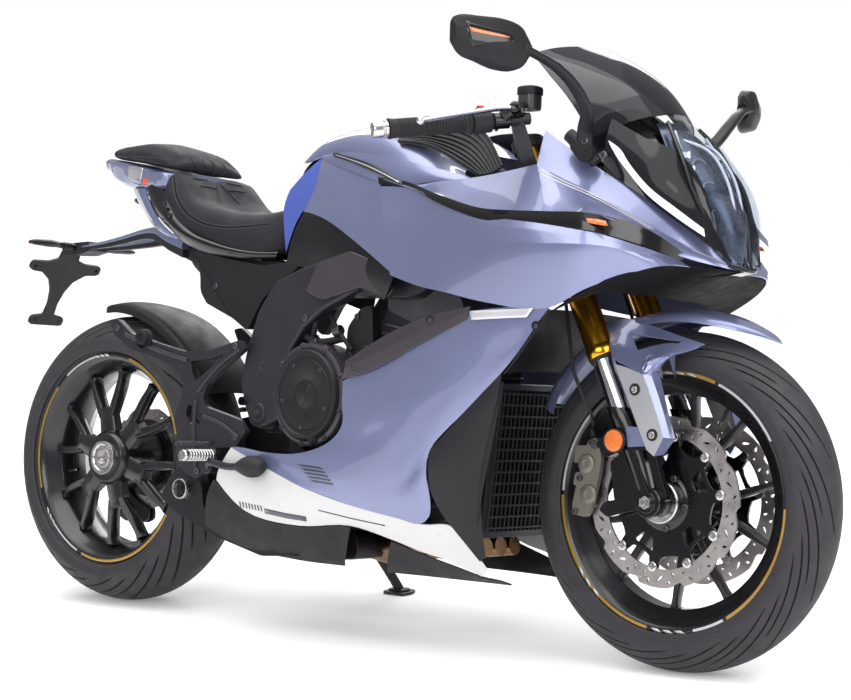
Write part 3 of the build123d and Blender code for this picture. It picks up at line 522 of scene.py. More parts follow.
def clear(name, tint, rough=0.02, mixin=0.85, dark=(0.02, 0.02, 0.025, 1.0)):
    """Clear or smoked plastic: part see-through, part glossy body colour."""
    m = bpy.data.materials.new(name)
    m.use_nodes = True
    nt = m.node_tree
    b = nt.nodes["Principled BSDF"]
    N, L = nt.nodes.new, nt.links.new
    co = N("ShaderNodeTexCoord").outputs["Object"]
    n = N("ShaderNodeTexNoise")
    n.inputs["Scale"].default_value = 5.0
    L(co, n.inputs["Vector"])
    r = N("ShaderNodeMapRange")
    r.inputs["To Min"].default_value, r.inputs["To Max"].default_value = rough, rough + 0.05
    L(n.outputs["Fac"], r.inputs["Value"])
    L(r.outputs["Result"], b.inputs["Roughness"])
    c = N("ShaderNodeMix")
    c.data_type = "RGBA"
    c.inputs[6].default_value = dark
    c.inputs[7].default_value = tuple(x * 1.3 for x in dark[:3]) + (1.0,)
    L(n.outputs["Fac"], c.inputs[0])
    L(c.outputs[2], b.inputs["Base Color"])
    b.inputs["Coat Weight"].default_value = 1.0
    b.inputs["Coat Roughness"].default_value = 0.02
    t = N("ShaderNodeBsdfTransparent")
    t.inputs["Color"].default_value = tint
    mx = N("ShaderNodeMixShader")
    mx.inputs[0].default_value = mixin
    L(b.outputs["BSDF"], mx.inputs[1])
    L(t.outputs["BSDF"], mx.inputs[2])
    L(mx.outputs["Shader"], nt.nodes["Material Output"].inputs["Surface"])
    MATS[name] = m


clear("smoke", (0.24, 0.24, 0.26, 1.0), mixin=0.62)
clear("lens", (0.92, 0.94, 0.97, 1.0), mixin=0.92)
material("lamp_base", rgb(74, 82, 96), rough=0.26, metal=0.7, vary=0.15, scale=40.0, bump=0.2, bump_scale=200.0)


def repaint(node, mat):
    """Gives a carried-over part its material."""
    ob = NODES[node]
    if not ob.material_slots:
        ob.data.materials.append(None)
    for s in ob.material_slots:
        s.material = MATS[mat]


# ------------------------------------------------------------- camera and stage
cam = bpy.data.cameras.new("view")
cam.sensor_width, cam.lens = 36.0, FOCAL / 851.0 * 36.0
cam.clip_start, cam.clip_end = 0.1, 200.0
eye = bpy.data.objects.new("view", cam)
bpy.context.scene.collection.objects.link(eye)
rot = TURN @ VIEW
at = world([EYE])[0]
eye.matrix_world = Matrix([[*rot[0], at[0]], [*rot[1], at[1]], [*rot[2], at[2]], [0, 0, 0, 1]])
bpy.context.scene.camera = eye

fm = bpy.data.meshes.new("floor")
fm.from_pydata([(-40, -40, 0), (40, -40, 0), (40, 40, 0), (-40, 40, 0)], [], [(0, 1, 2, 3)])
floor = bpy.data.objects.new("floor", fm)
bpy.context.scene.collection.objects.link(floor)
material("floor", (0.9, 0.9, 0.9, 1.0), rough=0.7, vary=0.01, scale=0.6, fine=0, spec=0.1)
fb = MATS["floor"].node_tree.nodes["Principled BSDF"]
fb.inputs["Emission Color"].default_value = (1, 1, 1, 1)
fb.inputs["Emission Strength"].default_value = 0.22
fm.materials.append(MATS["floor"])

w = bpy.data.worlds.new("studio")
bpy.context.scene.world = w
w.use_nodes = True
nt = w.node_tree
bg = nt.nodes["Background"]
bg.inputs["Color"].default_value = (1, 1, 1, 1)
bg.inputs["Strength"].default_value = 1.0
soft = nt.nodes.new("ShaderNodeBackground")
tc = nt.nodes.new("ShaderNodeTexCoord")
sep = nt.nodes.new("ShaderNodeSeparateXYZ")
ramp = nt.nodes.new("ShaderNodeValToRGB")
nt.links.new(tc.outputs["Generated"], sep.inputs[0])
nt.links.new(sep.outputs["Z"], ramp.inputs[0])
ramp.color_ramp.elements[0].position, ramp.color_ramp.elements[0].color = 0.0, (0.42, 0.42, 0.44, 1)
ramp.color_ramp.elements[1].position, ramp.color_ramp.elements[1].color = 0.85, (0.86, 0.86, 0.88, 1)
e = ramp.color_ramp.elements.new(0.35)
e.color = (0.55, 0.55, 0.57, 1)
nt.links.new(ramp.outputs["Color"], soft.inputs["Color"])
soft.inputs["Strength"].default_value = 0.62
lp = nt.nodes.new("ShaderNodeLightPath")
mixw = nt.nodes.new("ShaderNodeMixShader")
nt.links.new(lp.outputs["Is Camera Ray"], mixw.inputs[0])
nt.links.new(soft.outputs[0], mixw.inputs[1])
nt.links.new(bg.outputs[0], mixw.inputs[2])
nt.links.new(mixw.outputs[0], nt.nodes["World Output"].inputs["Surface"])


def lamp(name, place, aim, size, power, size_y=None):
    d = bpy.data.lights.new(name, "AREA")
    d.energy, d.size = power, size
    d.shape = "RECTANGLE"
    d.size_y = size_y or size
    o = bpy.data.objects.new(name, d)
    bpy.context.scene.collection.objects.link(o)
    o.location = place
    o.rotation_euler = (Vector(aim) - Vector(place)).to_track_quat("-Z", "Y").to_euler()
    return o


sun_d = bpy.data.lights.new("day", "SUN")
sun_d.energy, sun_d.angle = 1.9, math.radians(80)
sun = bpy.data.objects.new("day", sun_d)
bpy.context.scene.collection.objects.link(sun)
sun.rotation_euler = (math.radians(6), math.radians(4), 0)
lamp("top", (0.2, -0.3, 3.4), (0.1, 0.0, 0.5), 4.2, 62, 2.6)
lamp("side", (1.2, -3.6, 2.2), (0.2, 0.0, 0.6), 2.4, 55, 1.6)
lamp("front", (3.4, -0.6, 1.8), (0.5, 0.0, 0.6), 1.8, 45, 1.8)
lamp("back", (-1.6, 2.6, 2.4), (0.0, 0.0, 0.6), 2.4, 55, 1.6)
bpy.context.scene.view_settings.view_transform = "Standard"


# =================================================================== wheels
FX, FZ, RX, RZ = 715.0, 300.0, -715.0, 315.0


def tyre_section(radius, half, seat, steps=26):
    """Outer line of the tyre from the right bead over the crown to the left bead: (y, r)."""
    bead, flange = 216.0, 231.0
    wide = bead + 0.42 * (radius - bead)
    rho = (half ** 2 + (radius - wide) ** 2) / (2 * (radius - wide))
    top = math.asin(min(1.0, half / rho)) if half < rho else math.pi / 2
    right = []
    for i in range(steps + 1):
        t = top * i / steps
        right.append((rho * math.sin(t), radius - rho + rho * math.cos(t)))
    y, r = right[-1]
    side = smooth_line([(y, r, 0), (half * 0.985, wide - 10, 0), (half * 0.90, wide - 22, 0), (seat + 6, flange + 6, 0), (seat + 1.5, flange + 1, 0)], 5)
    right += [(p[0], p[1]) for p in side[1:]]
    return right, steps


def tread_tyre(name, body, slotname, cx, cz, radius, half, seat, repeats, cols, replaces, groove):
    """Tyre with swept grooves cut into the tread. The grid leans with the grooves."""
    sec, crown = tyre_section(radius, half, seat)
    full = [(-y, r) for y, r in reversed(sec[1:])] + sec
    n = len(full)
    mid = len(sec) - 1
    total = repeats * cols
    run = [0.0]
    for (y0, r0), (y1, r1) in zip(full[:-1], full[1:]):
        run.append(run[-1] + math.hypot(y1 - y0, r1 - r0))
    run = np.array(run) - run[mid]
    reach = run[mid + crown]
    V, F, groove_shade = [], [], []
    for k in range(total):
        u = k / cols
        for j in range(n):
            y, r = full[j]
            s = run[j] / reach
            a = abs(s)
            lean = groove["lean"] * (min(a, 1.15) ** groove.get("power", 1.6)) * (1 if s > 0 else 1)
            shift = 0.0 if s > 0 else 0.5
            phase = (u + shift) % 1.0
            depth = 0.0
            for g0, g1, lo, hi, dd in groove["cuts"]:
                if lo <= a <= hi:
                    edge = min(1.0, (a - lo) / 0.05, (hi - a) / 0.05)
                    width = (g1 - g0) * (0.35 + 0.65 * max(0.0, edge))
                    c = (g0 + g1) / 2
                    d = abs(phase - c)
                    d = min(d, 1 - d)
                    if d < width / 2 + 1e-6:
                        depth = max(depth, dd * max(0.0, min(1.0, edge)))
            if groove.get("centre") and a < groove["centre"]:
                depth = max(depth, 4.0)
            ang = 2 * math.pi * (u / repeats) + lean * 2 * math.pi / repeats
            dr = (full[min(j + 1, n - 1)][1] - full[max(j - 1, 0)][1])
            dy = (full[min(j + 1, n - 1)][0] - full[max(j - 1, 0)][0])
            ln = math.hypot(dr, dy)
            ny, nr = -dr / ln, dy / ln
            yy, rr = y - ny * depth, r - nr * depth
            V.append((cx + rr * math.cos(ang), yy, cz + rr * math.sin(ang)))
            groove_shade.append(depth > 1.0)
    F = cross_grid(total, n, cu=True)
    p = Piece()
    p.v, p.f = V, F
    # faces down in the grooves take the darker rubber: painted shade in the grooves
    p.m = [1 if sum(groove_shade[i] for i in q) >= 3 else 0 for q in F]
    # bead heel hidden in the rim and raised rings on the wall
    for s in (-1, 1):
        y0, r0 = full[0] if s < 0 else full[-1]
        p.add(lathe([(s * (seat + 1.5), 232.0), (s * (seat + 0.5), 229.0), (s * seat, 216.5), (s * (seat - 12), 216.5)], (cx, 0, cz), (0, 1, 0), 96))
        for rr, hh in ((0.30, 0.9), (0.36, 0.6), (0.80, 0.8)):
            i = mid + crown + int((len(sec) - 1 - crown) * rr) if s > 0 else mid - crown - int((len(sec) - 1 - crown) * rr)
            i = max(1, min(n - 2, i))
            y, r = full[i]
            dy, dr = full[i + 1][0] - full[i - 1][0], full[i + 1][1] - full[i - 1][1]
            ln = math.hypot(dy, dr)
            ny, nr, ty, tr = -dr / ln, dy / ln, dy / ln, dr / ln
            p.add(lathe([(y - ty * 1.6 - ny, r - tr * 1.6 - nr), (y - ty * .8 + ny * hh, r - tr * .8 + nr * hh),
                         (y + ty * .8 + ny * hh, r + tr * .8 + nr * hh), (y + ty * 1.6 - ny, r + tr * 1.6 - nr)], (cx, 0, cz), (0, 1, 0), 120))
    return p.make(name, body, slotname, ["tyre", "tread_groove_shade"], replaces, angle=30)


FRONT_CUTS = {"lean": 2.6, "power": 1.3, "cuts": [(0.02, 0.085, 0.10, 0.84, 3.4), (0.46, 0.505, 0.44, 0.92, 2.8)]}
REAR_CUTS = {"lean": 2.0, "power": 1.35, "cuts": [(0.02, 0.085, 0.16, 0.86, 3.8), (0.50, 0.555, 0.36, 0.95, 3.2)]}
tread_tyre("tyre_front", "front_wheel", "tyre", FX, FZ, 299.6, 59.6, 44.5, 15, 26, "front_tyre", FRONT_CUTS)
tread_tyre("tyre_rear", "rear_wheel", "tyre", RX, RZ, 314.6, 89.5, 70.0, 14, 26, "rear_tyre", REAR_CUTS)


def spoke(cx, cz, a0, a1, r0, r1, w0, w1, y0, y1, d0, d1, bow=0.0):
    """Cast arm from angle a0 at radius r0 to angle a1 at r1, w wide, around y0..y1, d deep."""
    secs = []
    for s in (0.0, 0.3, 0.65, 0.92, 1.0):
        r = r0 + (r1 - r0) * s
        a = math.radians(a0 + (a1 - a0) * (s ** 0.8) + bow * math.sin(math.pi * s))
        w = w0 + (w1 - w0) * s
        if s == 1.0:
            w *= 1.5
        y, d = y0 + (y1 - y0) * s, d0 + (d1 - d0) * s
        er = np.array([math.cos(a), 0, math.sin(a)])
        et = np.array([-math.sin(a), 0, math.cos(a)])
        c = np.array([cx, y, cz]) + er * r
        out = []
        for p, q in ((-0.5, -0.32), (-0.32, -0.5), (0.32, -0.5), (0.5, -0.32), (0.5, 0.32), (0.32, 0.5), (-0.32, 0.5), (-0.5, 0.32)):
            out.append(tuple(c + et * w * p + np.array([0, 1, 0]) * d * q))
        secs.append(out)
    return loft(secs, k=3)


def barrel(cx, cz, seat, flange=231.0, n=108):
    f = seat + 5.0
    prof = [(-f + .6, flange - 1.5), (-f + 1.6, flange - .3), (-seat - 1.2, flange - .6), (-seat - .4, flange - 2.5), (-seat, 216.4), (-seat + 12, 215.5), (-seat + 24, 212.0),
            (-seat * .35, 197.0), (seat * .35, 197.0), (seat - 24, 212.0), (seat - 12, 215.5), (seat, 216.4), (seat + .4, flange - 2.5), (seat + 1.2, flange - .6), (f - 1.6, flange - .3),
            (f - .6, flange - 1.5), (f, flange - 5.0), (f - .5, 222.0), (f - 4, 217.0), (f - 12, 210.5), (seat * .55, 196.0), (seat * .42, 188.5),
            (-seat * .42, 188.5), (-seat * .55, 196.0), (-f + 12, 210.5), (-f + 4, 217.0), (-f + .5, 222.0), (-f, flange - 5.0)]
    return lathe(prof, (cx, 0, cz), (0, 1, 0), n, loop=True)


def stripe(cx, cz, y, side, r0, r1, a0, a1, lift=0.35, n=None):
    """Painted band on the rim's flange lip, a hair proud of it."""
    n = n or max(4, int(abs(a1 - a0) / 2))
    y0 = y
    prof = [(y0 - side * .5, r0), (y0 + side * lift, r0 + .3), (y0 + side * (lift + .1), (r0 + r1) / 2), (y0 + side * (lift - .2), r1 - .3), (y0 - side * .8, r1)]
    v, f = lathe(prof, (cx, 0, cz), (0, 1, 0), n, a0, a1, ref=(1, 0, 0))
    return v, f


def slanted(cx, cz, y, side, r0, r1, a, da, skew, n=3):
    """Short slanted dash of a rim stripe."""
    v, f = [], []
    for i in range(n + 1):
        for j, r in enumerate((r0, (r0 + r1) / 2, r1)):
            t = math.radians(a + da * i / n + skew * j / 2)
            v.append((cx + r * math.cos(t), y + side * (0.45 - 0.25 * (j == 2)), cz + r * math.sin(t)))
    return v, cross_grid(n + 1, 3)


# ---- front wheel
p = Piece()
p.add(barrel(FX, FZ, 44.5))
p.add(lathe([(-52, 13), (-52, 30), (-48, 34), (-20, 36), (-14, 46), (14, 46), (20, 36), (48, 34), (52, 30), (52, 13)], (FX, 0, FZ), (0, 1, 0), 60))
for k in range(5):
    c = 31.5 + 36 + 72 * k - 0.0
    for s in (-1, 1):
        p.add(spoke(FX, FZ, c + s * 7, c + s * 17.0, 60, 193, 17, 12, 0, 0, 26, 22, bow=s * 1.5))
    p.add(spoke(FX, FZ, c, c, 38, 96, 40, 30, 0, 0, 30, 24))
p.make("wheel_front", "front_wheel", "rim_black", "rim_black", "front_rim", bevel=1.2, seg=2, limit=40)

p = Piece()
YF = -49.6
# lathe angle runs from +X towards -Z, as seen along +Y
p.add(stripe(FX, FZ, YF, -1, 222.5, 229.0, 100, 180), 0)
p.add(stripe(FX, FZ, YF, -1, 222.5, 229.0, 0, 58), 0)
p.add(stripe(FX, FZ, YF, -1, 222.5, 229.0, 262, 292), 0)
p.add(stripe(FX, FZ, YF, -1, 223.0, 228.0, 182, 222), 1)
p.add(stripe(FX, FZ, YF, -1, 223.0, 228.0, 294, 330), 1)
p.add(stripe(FX, FZ, YF, -1, 223.0, 228.0, 60, 76), 1)
p.make("wheel_front_stripes", "front_wheel", "rim_black", ["rim_gold", "rim_silver"], angle=60)
p = Piece()
for a0 in (98, 92, 86, -78, -84, -90, 146, 140, 134):
    p.add(slanted(FX, FZ, YF - .2, -1, 223, 229, -a0, 3.6, 2.4))
p.make("wheel_front_dashes", "front_wheel", "rim_black", ["rim_silver"], angle=60, solid=0.4, core=(FX, 0, FZ))

# valve and hub details
p = Piece()
t = math.radians(53 - 18)
er = np.array([math.cos(math.radians(62)), 0, math.sin(math.radians(62))])
b0 = np.array([FX, -8, FZ]) + er * 190
p.add(sweep([b0, b0 - er * 14, b0 - er * 30], [4.5, 3.6, 3.2], 12, 3), 0)
p.add(lathe([(0, 4.2), (9, 4.2), (10, 3.4), (10, .1)], b0 - er * 38, er, 12), 1)
p.make("valve_front", "front_wheel", "steel_dark", ["rubber", "steel_dark"], bevel=0.3)

# ---- front discs: wavy steel rings on black carriers with silver bobbins


def wave_ring(n=10, rout=149.5, dip=9.0, rin=117.0, steps=16):
    out = []
    for i in range(n * steps):
        t = i / steps
        ph = t % 1.0
        # long tooth, then a sharp notch
        r = rout - dip * max(0.0, (ph - 0.62) / 0.30) ** 1.1 if ph < 0.92 else rout - dip * (1 - (ph - 0.92) / 0.08)
        out.append((r * math.cos(2 * math.pi * t / n), r * math.sin(2 * math.pi * t / n)))
    inner = [(rin * math.cos(2 * math.pi * i / 100), rin * math.sin(2 * math.pi * i / 100)) for i in range(100)]
    holes = [inner]

    def drop(r, a, lr, lt, tilt=0.0, sharp=0.5):
        pts = []
        ca, sa = math.cos(a), math.sin(a)
        for i in range(12):
            q = 2 * math.pi * i / 12
            dx, dy = math.cos(q) * lr * (1 if math.cos(q) < 0 else 1 + sharp), math.sin(q) * lt * (1 - 0.45 * max(0.0, math.cos(q)))
            ex, ey = dx * math.cos(tilt) - dy * math.sin(tilt), dx * math.sin(tilt) + dy * math.cos(tilt)
            pts.append((r * ca + ex * ca - ey * sa, r * sa + ex * sa + ey * ca))
        return pts
    for k in range(n):
        a = 2 * math.pi * k / n
        step = 2 * math.pi / n
        holes += [drop(139.5, a + step * .18, 4.2, 2.6, 0.5), drop(132.0, a + step * .46, 5.6, 2.3, -0.9, 0.9),
                  drop(127.0, a + step * .05, 2.3, 2.3, 0, 0), drop(139.0, a + step * .66, 3.2, 2.4, 0.9), drop(125.5, a + step * .78, 3.4, 2.2, 0.4, .6)]
    return out, holes


ring, holes = wave_ring()
for s, name in ((-1, "right"), (1, "left")):
    p = Piece()
    p.add(slab(ring, (FX, 0, FZ), (1, 0, 0), (0, 0, 1), (0, 1, 0), s * 64.2, s * 68.8, holes))
    p.make("disc_front_" + name, "front_wheel", "disc_steel", "disc", "front_discs" if s < 0 else (), bevel=0.5, seg=1, limit=50, weld=0.001)
    p = Piece()
    arms = []
    for k in range(10):
        a = math.radians(36 * k + 9)
        er, et = np.array([math.cos(a), math.sin(a)]), np.array([-math.sin(a), math.cos(a)])
        tip = 117.5
        arms += [tuple(er * 92 - et * 22), tuple(er * 98 - et * 12), tuple(er * (tip - 3) - et * 8.5), tuple(er * tip - et * 5), tuple(er * tip + et * 5), tuple(er * (tip - 3) + et * 8.5), tuple(er * 98 + et * 12), tuple(er * 92 + et * 22)]
    inn = [[(50 * math.cos(t), 50 * math.sin(t)) for t in np.linspace(0, 2 * math.pi, 48, endpoint=False)]]
    for k in range(5):
        a = math.radians(72 * k + 27)
        er, et = np.array([math.cos(a), math.sin(a)]), np.array([-math.sin(a), math.cos(a)])
        inn.append([tuple(q) for q in rounded([tuple(er * 64 - et * 10), tuple(er * 64 + et * 10), tuple(er * 88 + et * 22), tuple(er * 88 - et * 22)], 6)])
    p.add(slab(arms, (FX, 0, FZ), (1, 0, 0), (0, 0, 1), (0, 1, 0), s * 62.5, s * 68.0, inn), 0)
    p.add(lathe([(s * 52.2, 14), (s * 52.2, 40), (s * 58, 44), (s * 62.6, 52), (s * 65, 52), (s * 68, 50), (s * 70, 44), (s * 70, 14)], (FX, 0, FZ), (0, 1, 0), 60), 0)
    for k in range(5):
        a = math.radians(72 * k + 63)
        q = (FX + 46 * math.cos(a), s * 69.5, FZ + 46 * math.sin(a))
        p.add(bolt(q, (0, s, 0), 6.0, 5.0), 1)
    for k in range(10):
        a = math.radians(36 * k + 9)
        q = (FX + 114.5 * math.cos(a), 0, FZ + 114.5 * math.sin(a))
        p.add(lathe([(s * 61, .1), (s * 61, 8.6), (s * 63.5, 8.6), (s * 63.5, 6.5), (s * 70, 6.5), (s * 70, 8.8), (s * 72.6, 8.8), (s * 73.4, 7.8), (s * 73.4, 4.2), (s * 71.4, 3.8), (s * 71.4, .1)], q, (0, 1, 0), 20), 2)
    p.make("disc_carrier_" + name, "front_wheel", "disc_steel", ["gloss_black", "steel_dark", "steel"], bevel=0.5, limit=45)
p = Piece()
p.add(lathe([(-70, 13), (-70, 36), (-73, 38), (-84, 38), (-86, 36), (-86.5, 13)], (FX, 0, FZ), (0, 1, 0), 48))
p.add(lathe([(70, 13), (70, 30), (86.5, 30), (86.5, 13)], (FX, 0, FZ), (0, 1, 0), 48))
p.make("hub_ring_front", "front_wheel", "disc_steel", "steel", bevel=0.6)

# ---- rear wheel
p = Piece()
p.add(barrel(RX, RZ, 70.0, n=160))
p.add(lathe([(-80, 30), (-80, 52), (-74, 58), (-60, 62), (-30, 66), (36, 66), (40, 60), (40, 27)], (RX, 0, RZ), (0, 1, 0), 60))
for k in range(6):
    c = 42 + 60 * k
    for s in (-1, 1):
        p.add(spoke(RX, RZ, c + s * 7, c + s * 14.5, 92, 192, 22, 17, -52, -34, 26, 30, bow=s * 2.0))
    p.add(spoke(RX, RZ, c, c, 52, 112, 50, 42, -50, -50, 34, 28))
p.make("wheel_rear", "rear_wheel", "rim_black", "rim_black", "rear_rim", bevel=1.4, seg=2, limit=40)
p = Piece()
YR = -75.1
p.add(stripe(RX, RZ, YR, -1, 223.0, 229.0, 30, 108), 0)
p.add(stripe(RX, RZ, YR, -1, 223.0, 229.0, 160, 222), 0)
p.add(stripe(RX, RZ, YR, -1, 223.0, 229.0, 286, 345), 0)
p.add(stripe(RX, RZ, YR, -1, 223.5, 228.0, 112, 136), 1)
p.add(stripe(RX, RZ, YR, -1, 223.5, 228.0, 232, 258), 1)
p.make("wheel_rear_stripes", "rear_wheel", "rim_black", ["rim_gold", "rim_silver"], angle=60)
p = Piece()
for a0 in (140, 144, 148, 262, 266, 270):
    p.add(slanted(RX, RZ, YR - .2, -1, 223, 229, a0 * -1.0 + 0, 2.8, 2.0))
p.make("wheel_rear_dashes", "rear_wheel", "rim_black", ["rim_silver"], angle=60, solid=0.4, core=(RX, 0, RZ))
p = Piece()
p.add(lathe([(-72, 26), (-72, 36), (-86, 37.5), (-87.8, 36.5), (-87.8, 30), (-85, 27), (-85, 21), (-87, 20), (-87, 16), (-78, 15.5), (-78, .1)], (RX, 0, RZ), (0, 1, 0), 60), 0)
for k in range(10):
    a = math.radians(36 * k)
    p.add(lathe([(0, 3.0), (1.2, 3.0), (1.2, .1)], (RX + 29 * math.cos(a), -84.6, RZ + 29 * math.sin(a)), (0, -1, 0), 12), 1)
p.add(lathe([(-72, 25.9), (-40, 25.9), (60, 25.9), (171, 25.9), (172, 24), (172, .1)], (RX, 0, RZ), (0, 1, 0), 36), 1)
p.add(lathe([(160, 26.5), (160, 34), (171, 34), (172, 33), (172, 26.5)], (RX, 0, RZ), (0, 1, 0), 6), 0)
p.make("hub_rear", "rear_wheel", "steel", ["steel", "steel_dark"], "rear_axle", bevel=0.5, limit=40)
p = Piece()
er = np.array([math.cos(math.radians(192)), 0, math.sin(math.radians(192))])
b0 = np.array([RX, -18, RZ]) + er * 190
p.add(sweep([b0, b0 - er * 12, b0 - er * 24], [4.5, 3.6, 3.2], 12, 3), 0)
p.add(lathe([(0, 4.2), (8, 4.2), (9, 3.2), (9, .1)], b0 - er * 31, er, 12), 1)
p.make("valve_rear", "rear_wheel", "steel_dark", ["rubber", "steel"], bevel=0.3)
ring, holes = wave_ring(8, 114.6, 7.0, 84.0, 16)


def scaled(h, k):
    return [(x * k, y * k) for x, y in h]


holes = [holes[0]] + [scaled(h, 0.74) for h in holes[1:]]
p = Piece()
p.add(slab(ring, (RX, 0, RZ), (1, 0, 0), (0, 0, 1), (0, 1, 0), 46.3, 50.7, holes), 0)
p.add(lathe([(40.2, 27), (40.2, 70), (46, 72), (46, 86), (51, 86), (51, 70), (50.8, 27)], (RX, 0, RZ), (0, 1, 0), 48), 1)
p.make("disc_rear", "rear_wheel", "disc_steel", ["disc", "rim_black"], "rear_disc", bevel=0.5, seg=1, limit=50, weld=0.001)
# sprocket with teeth and lightening holes
teeth = []
T = 43
for i in range(T * 6):
    ph = (i / 6) % 1.0
    r = 85.5 + (5.0 if 0.3 < ph < 0.7 else (2.5 if 0.15 < ph < 0.85 else 0.0))
    t = 2 * math.pi * i / (T * 6)
    teeth.append((r * math.cos(t), r * math.sin(t)))
hh = [[(27 * math.cos(t), 27 * math.sin(t)) for t in np.linspace(0, 2 * math.pi, 36, endpoint=False)]]
for k in range(6):
    a = math.radians(60 * k)
    er, et = np.array([math.cos(a), math.sin(a)]), np.array([-math.sin(a), math.cos(a)])
    hh.append([tuple(q) for q in rounded([tuple(er * 42 - et * 10), tuple(er * 42 + et * 10), tuple(er * 74 + et * 22), tuple(er * 74 - et * 22)], 8)])
p = Piece()
p.add(slab(teeth, (RX, 0, RZ), (1, 0, 0), (0, 0, 1), (0, 1, 0), 150.3, 155.7, hh), 0)
for k in range(6):
    a = math.radians(60 * k + 30)
    p.add(nut((RX + 58 * math.cos(a), 155.7, RZ + 58 * math.sin(a)), (0, 1, 0), 8, 6), 1)
p.make("sprocket", "rear_wheel", "steel_dark", ["rust", "steel_dark"], "rear_sprocket", bevel=0.4, seg=1, limit=50, weld=0.001)

# ================================================================= front end
SIN25, COS25 = math.sin(math.radians(25)), math.cos(math.radians(25))
UP = np.array([-SIN25, 0, COS25])
FWD = np.array([COS25, 0, SIN25])


def tube_x(z):
    return 721.0 - math.tan(math.radians(25)) * (z - 300.0)


def axis_x(z):
    return tube_x(z) - 35.0 / COS25


def on_tube(z, y=0.0, ahead=0.0):
    return np.array([tube_x(z), y, z]) + FWD * ahead


def on_axis(z, y=0.0, ahead=0.0):
    return np.array([axis_x(z), y, z]) + FWD * ahead


def cut_patch(rows, nu, nv, bu=(), bv=(), cuts=()):
    """Sheet through a net with whole spans of it left open."""
    v, f = patch(rows, nu, nv, bu, bv)
    m = (len(rows[0]) - 1) * nv
    keep = []
    for k, q in enumerate(f):
        i, j = divmod(k, m)
        if not any(a * nu <= i < b * nu and c * nv <= j < d * nv for a, b, c, d in cuts):
            keep.append(q)
    return v, keep


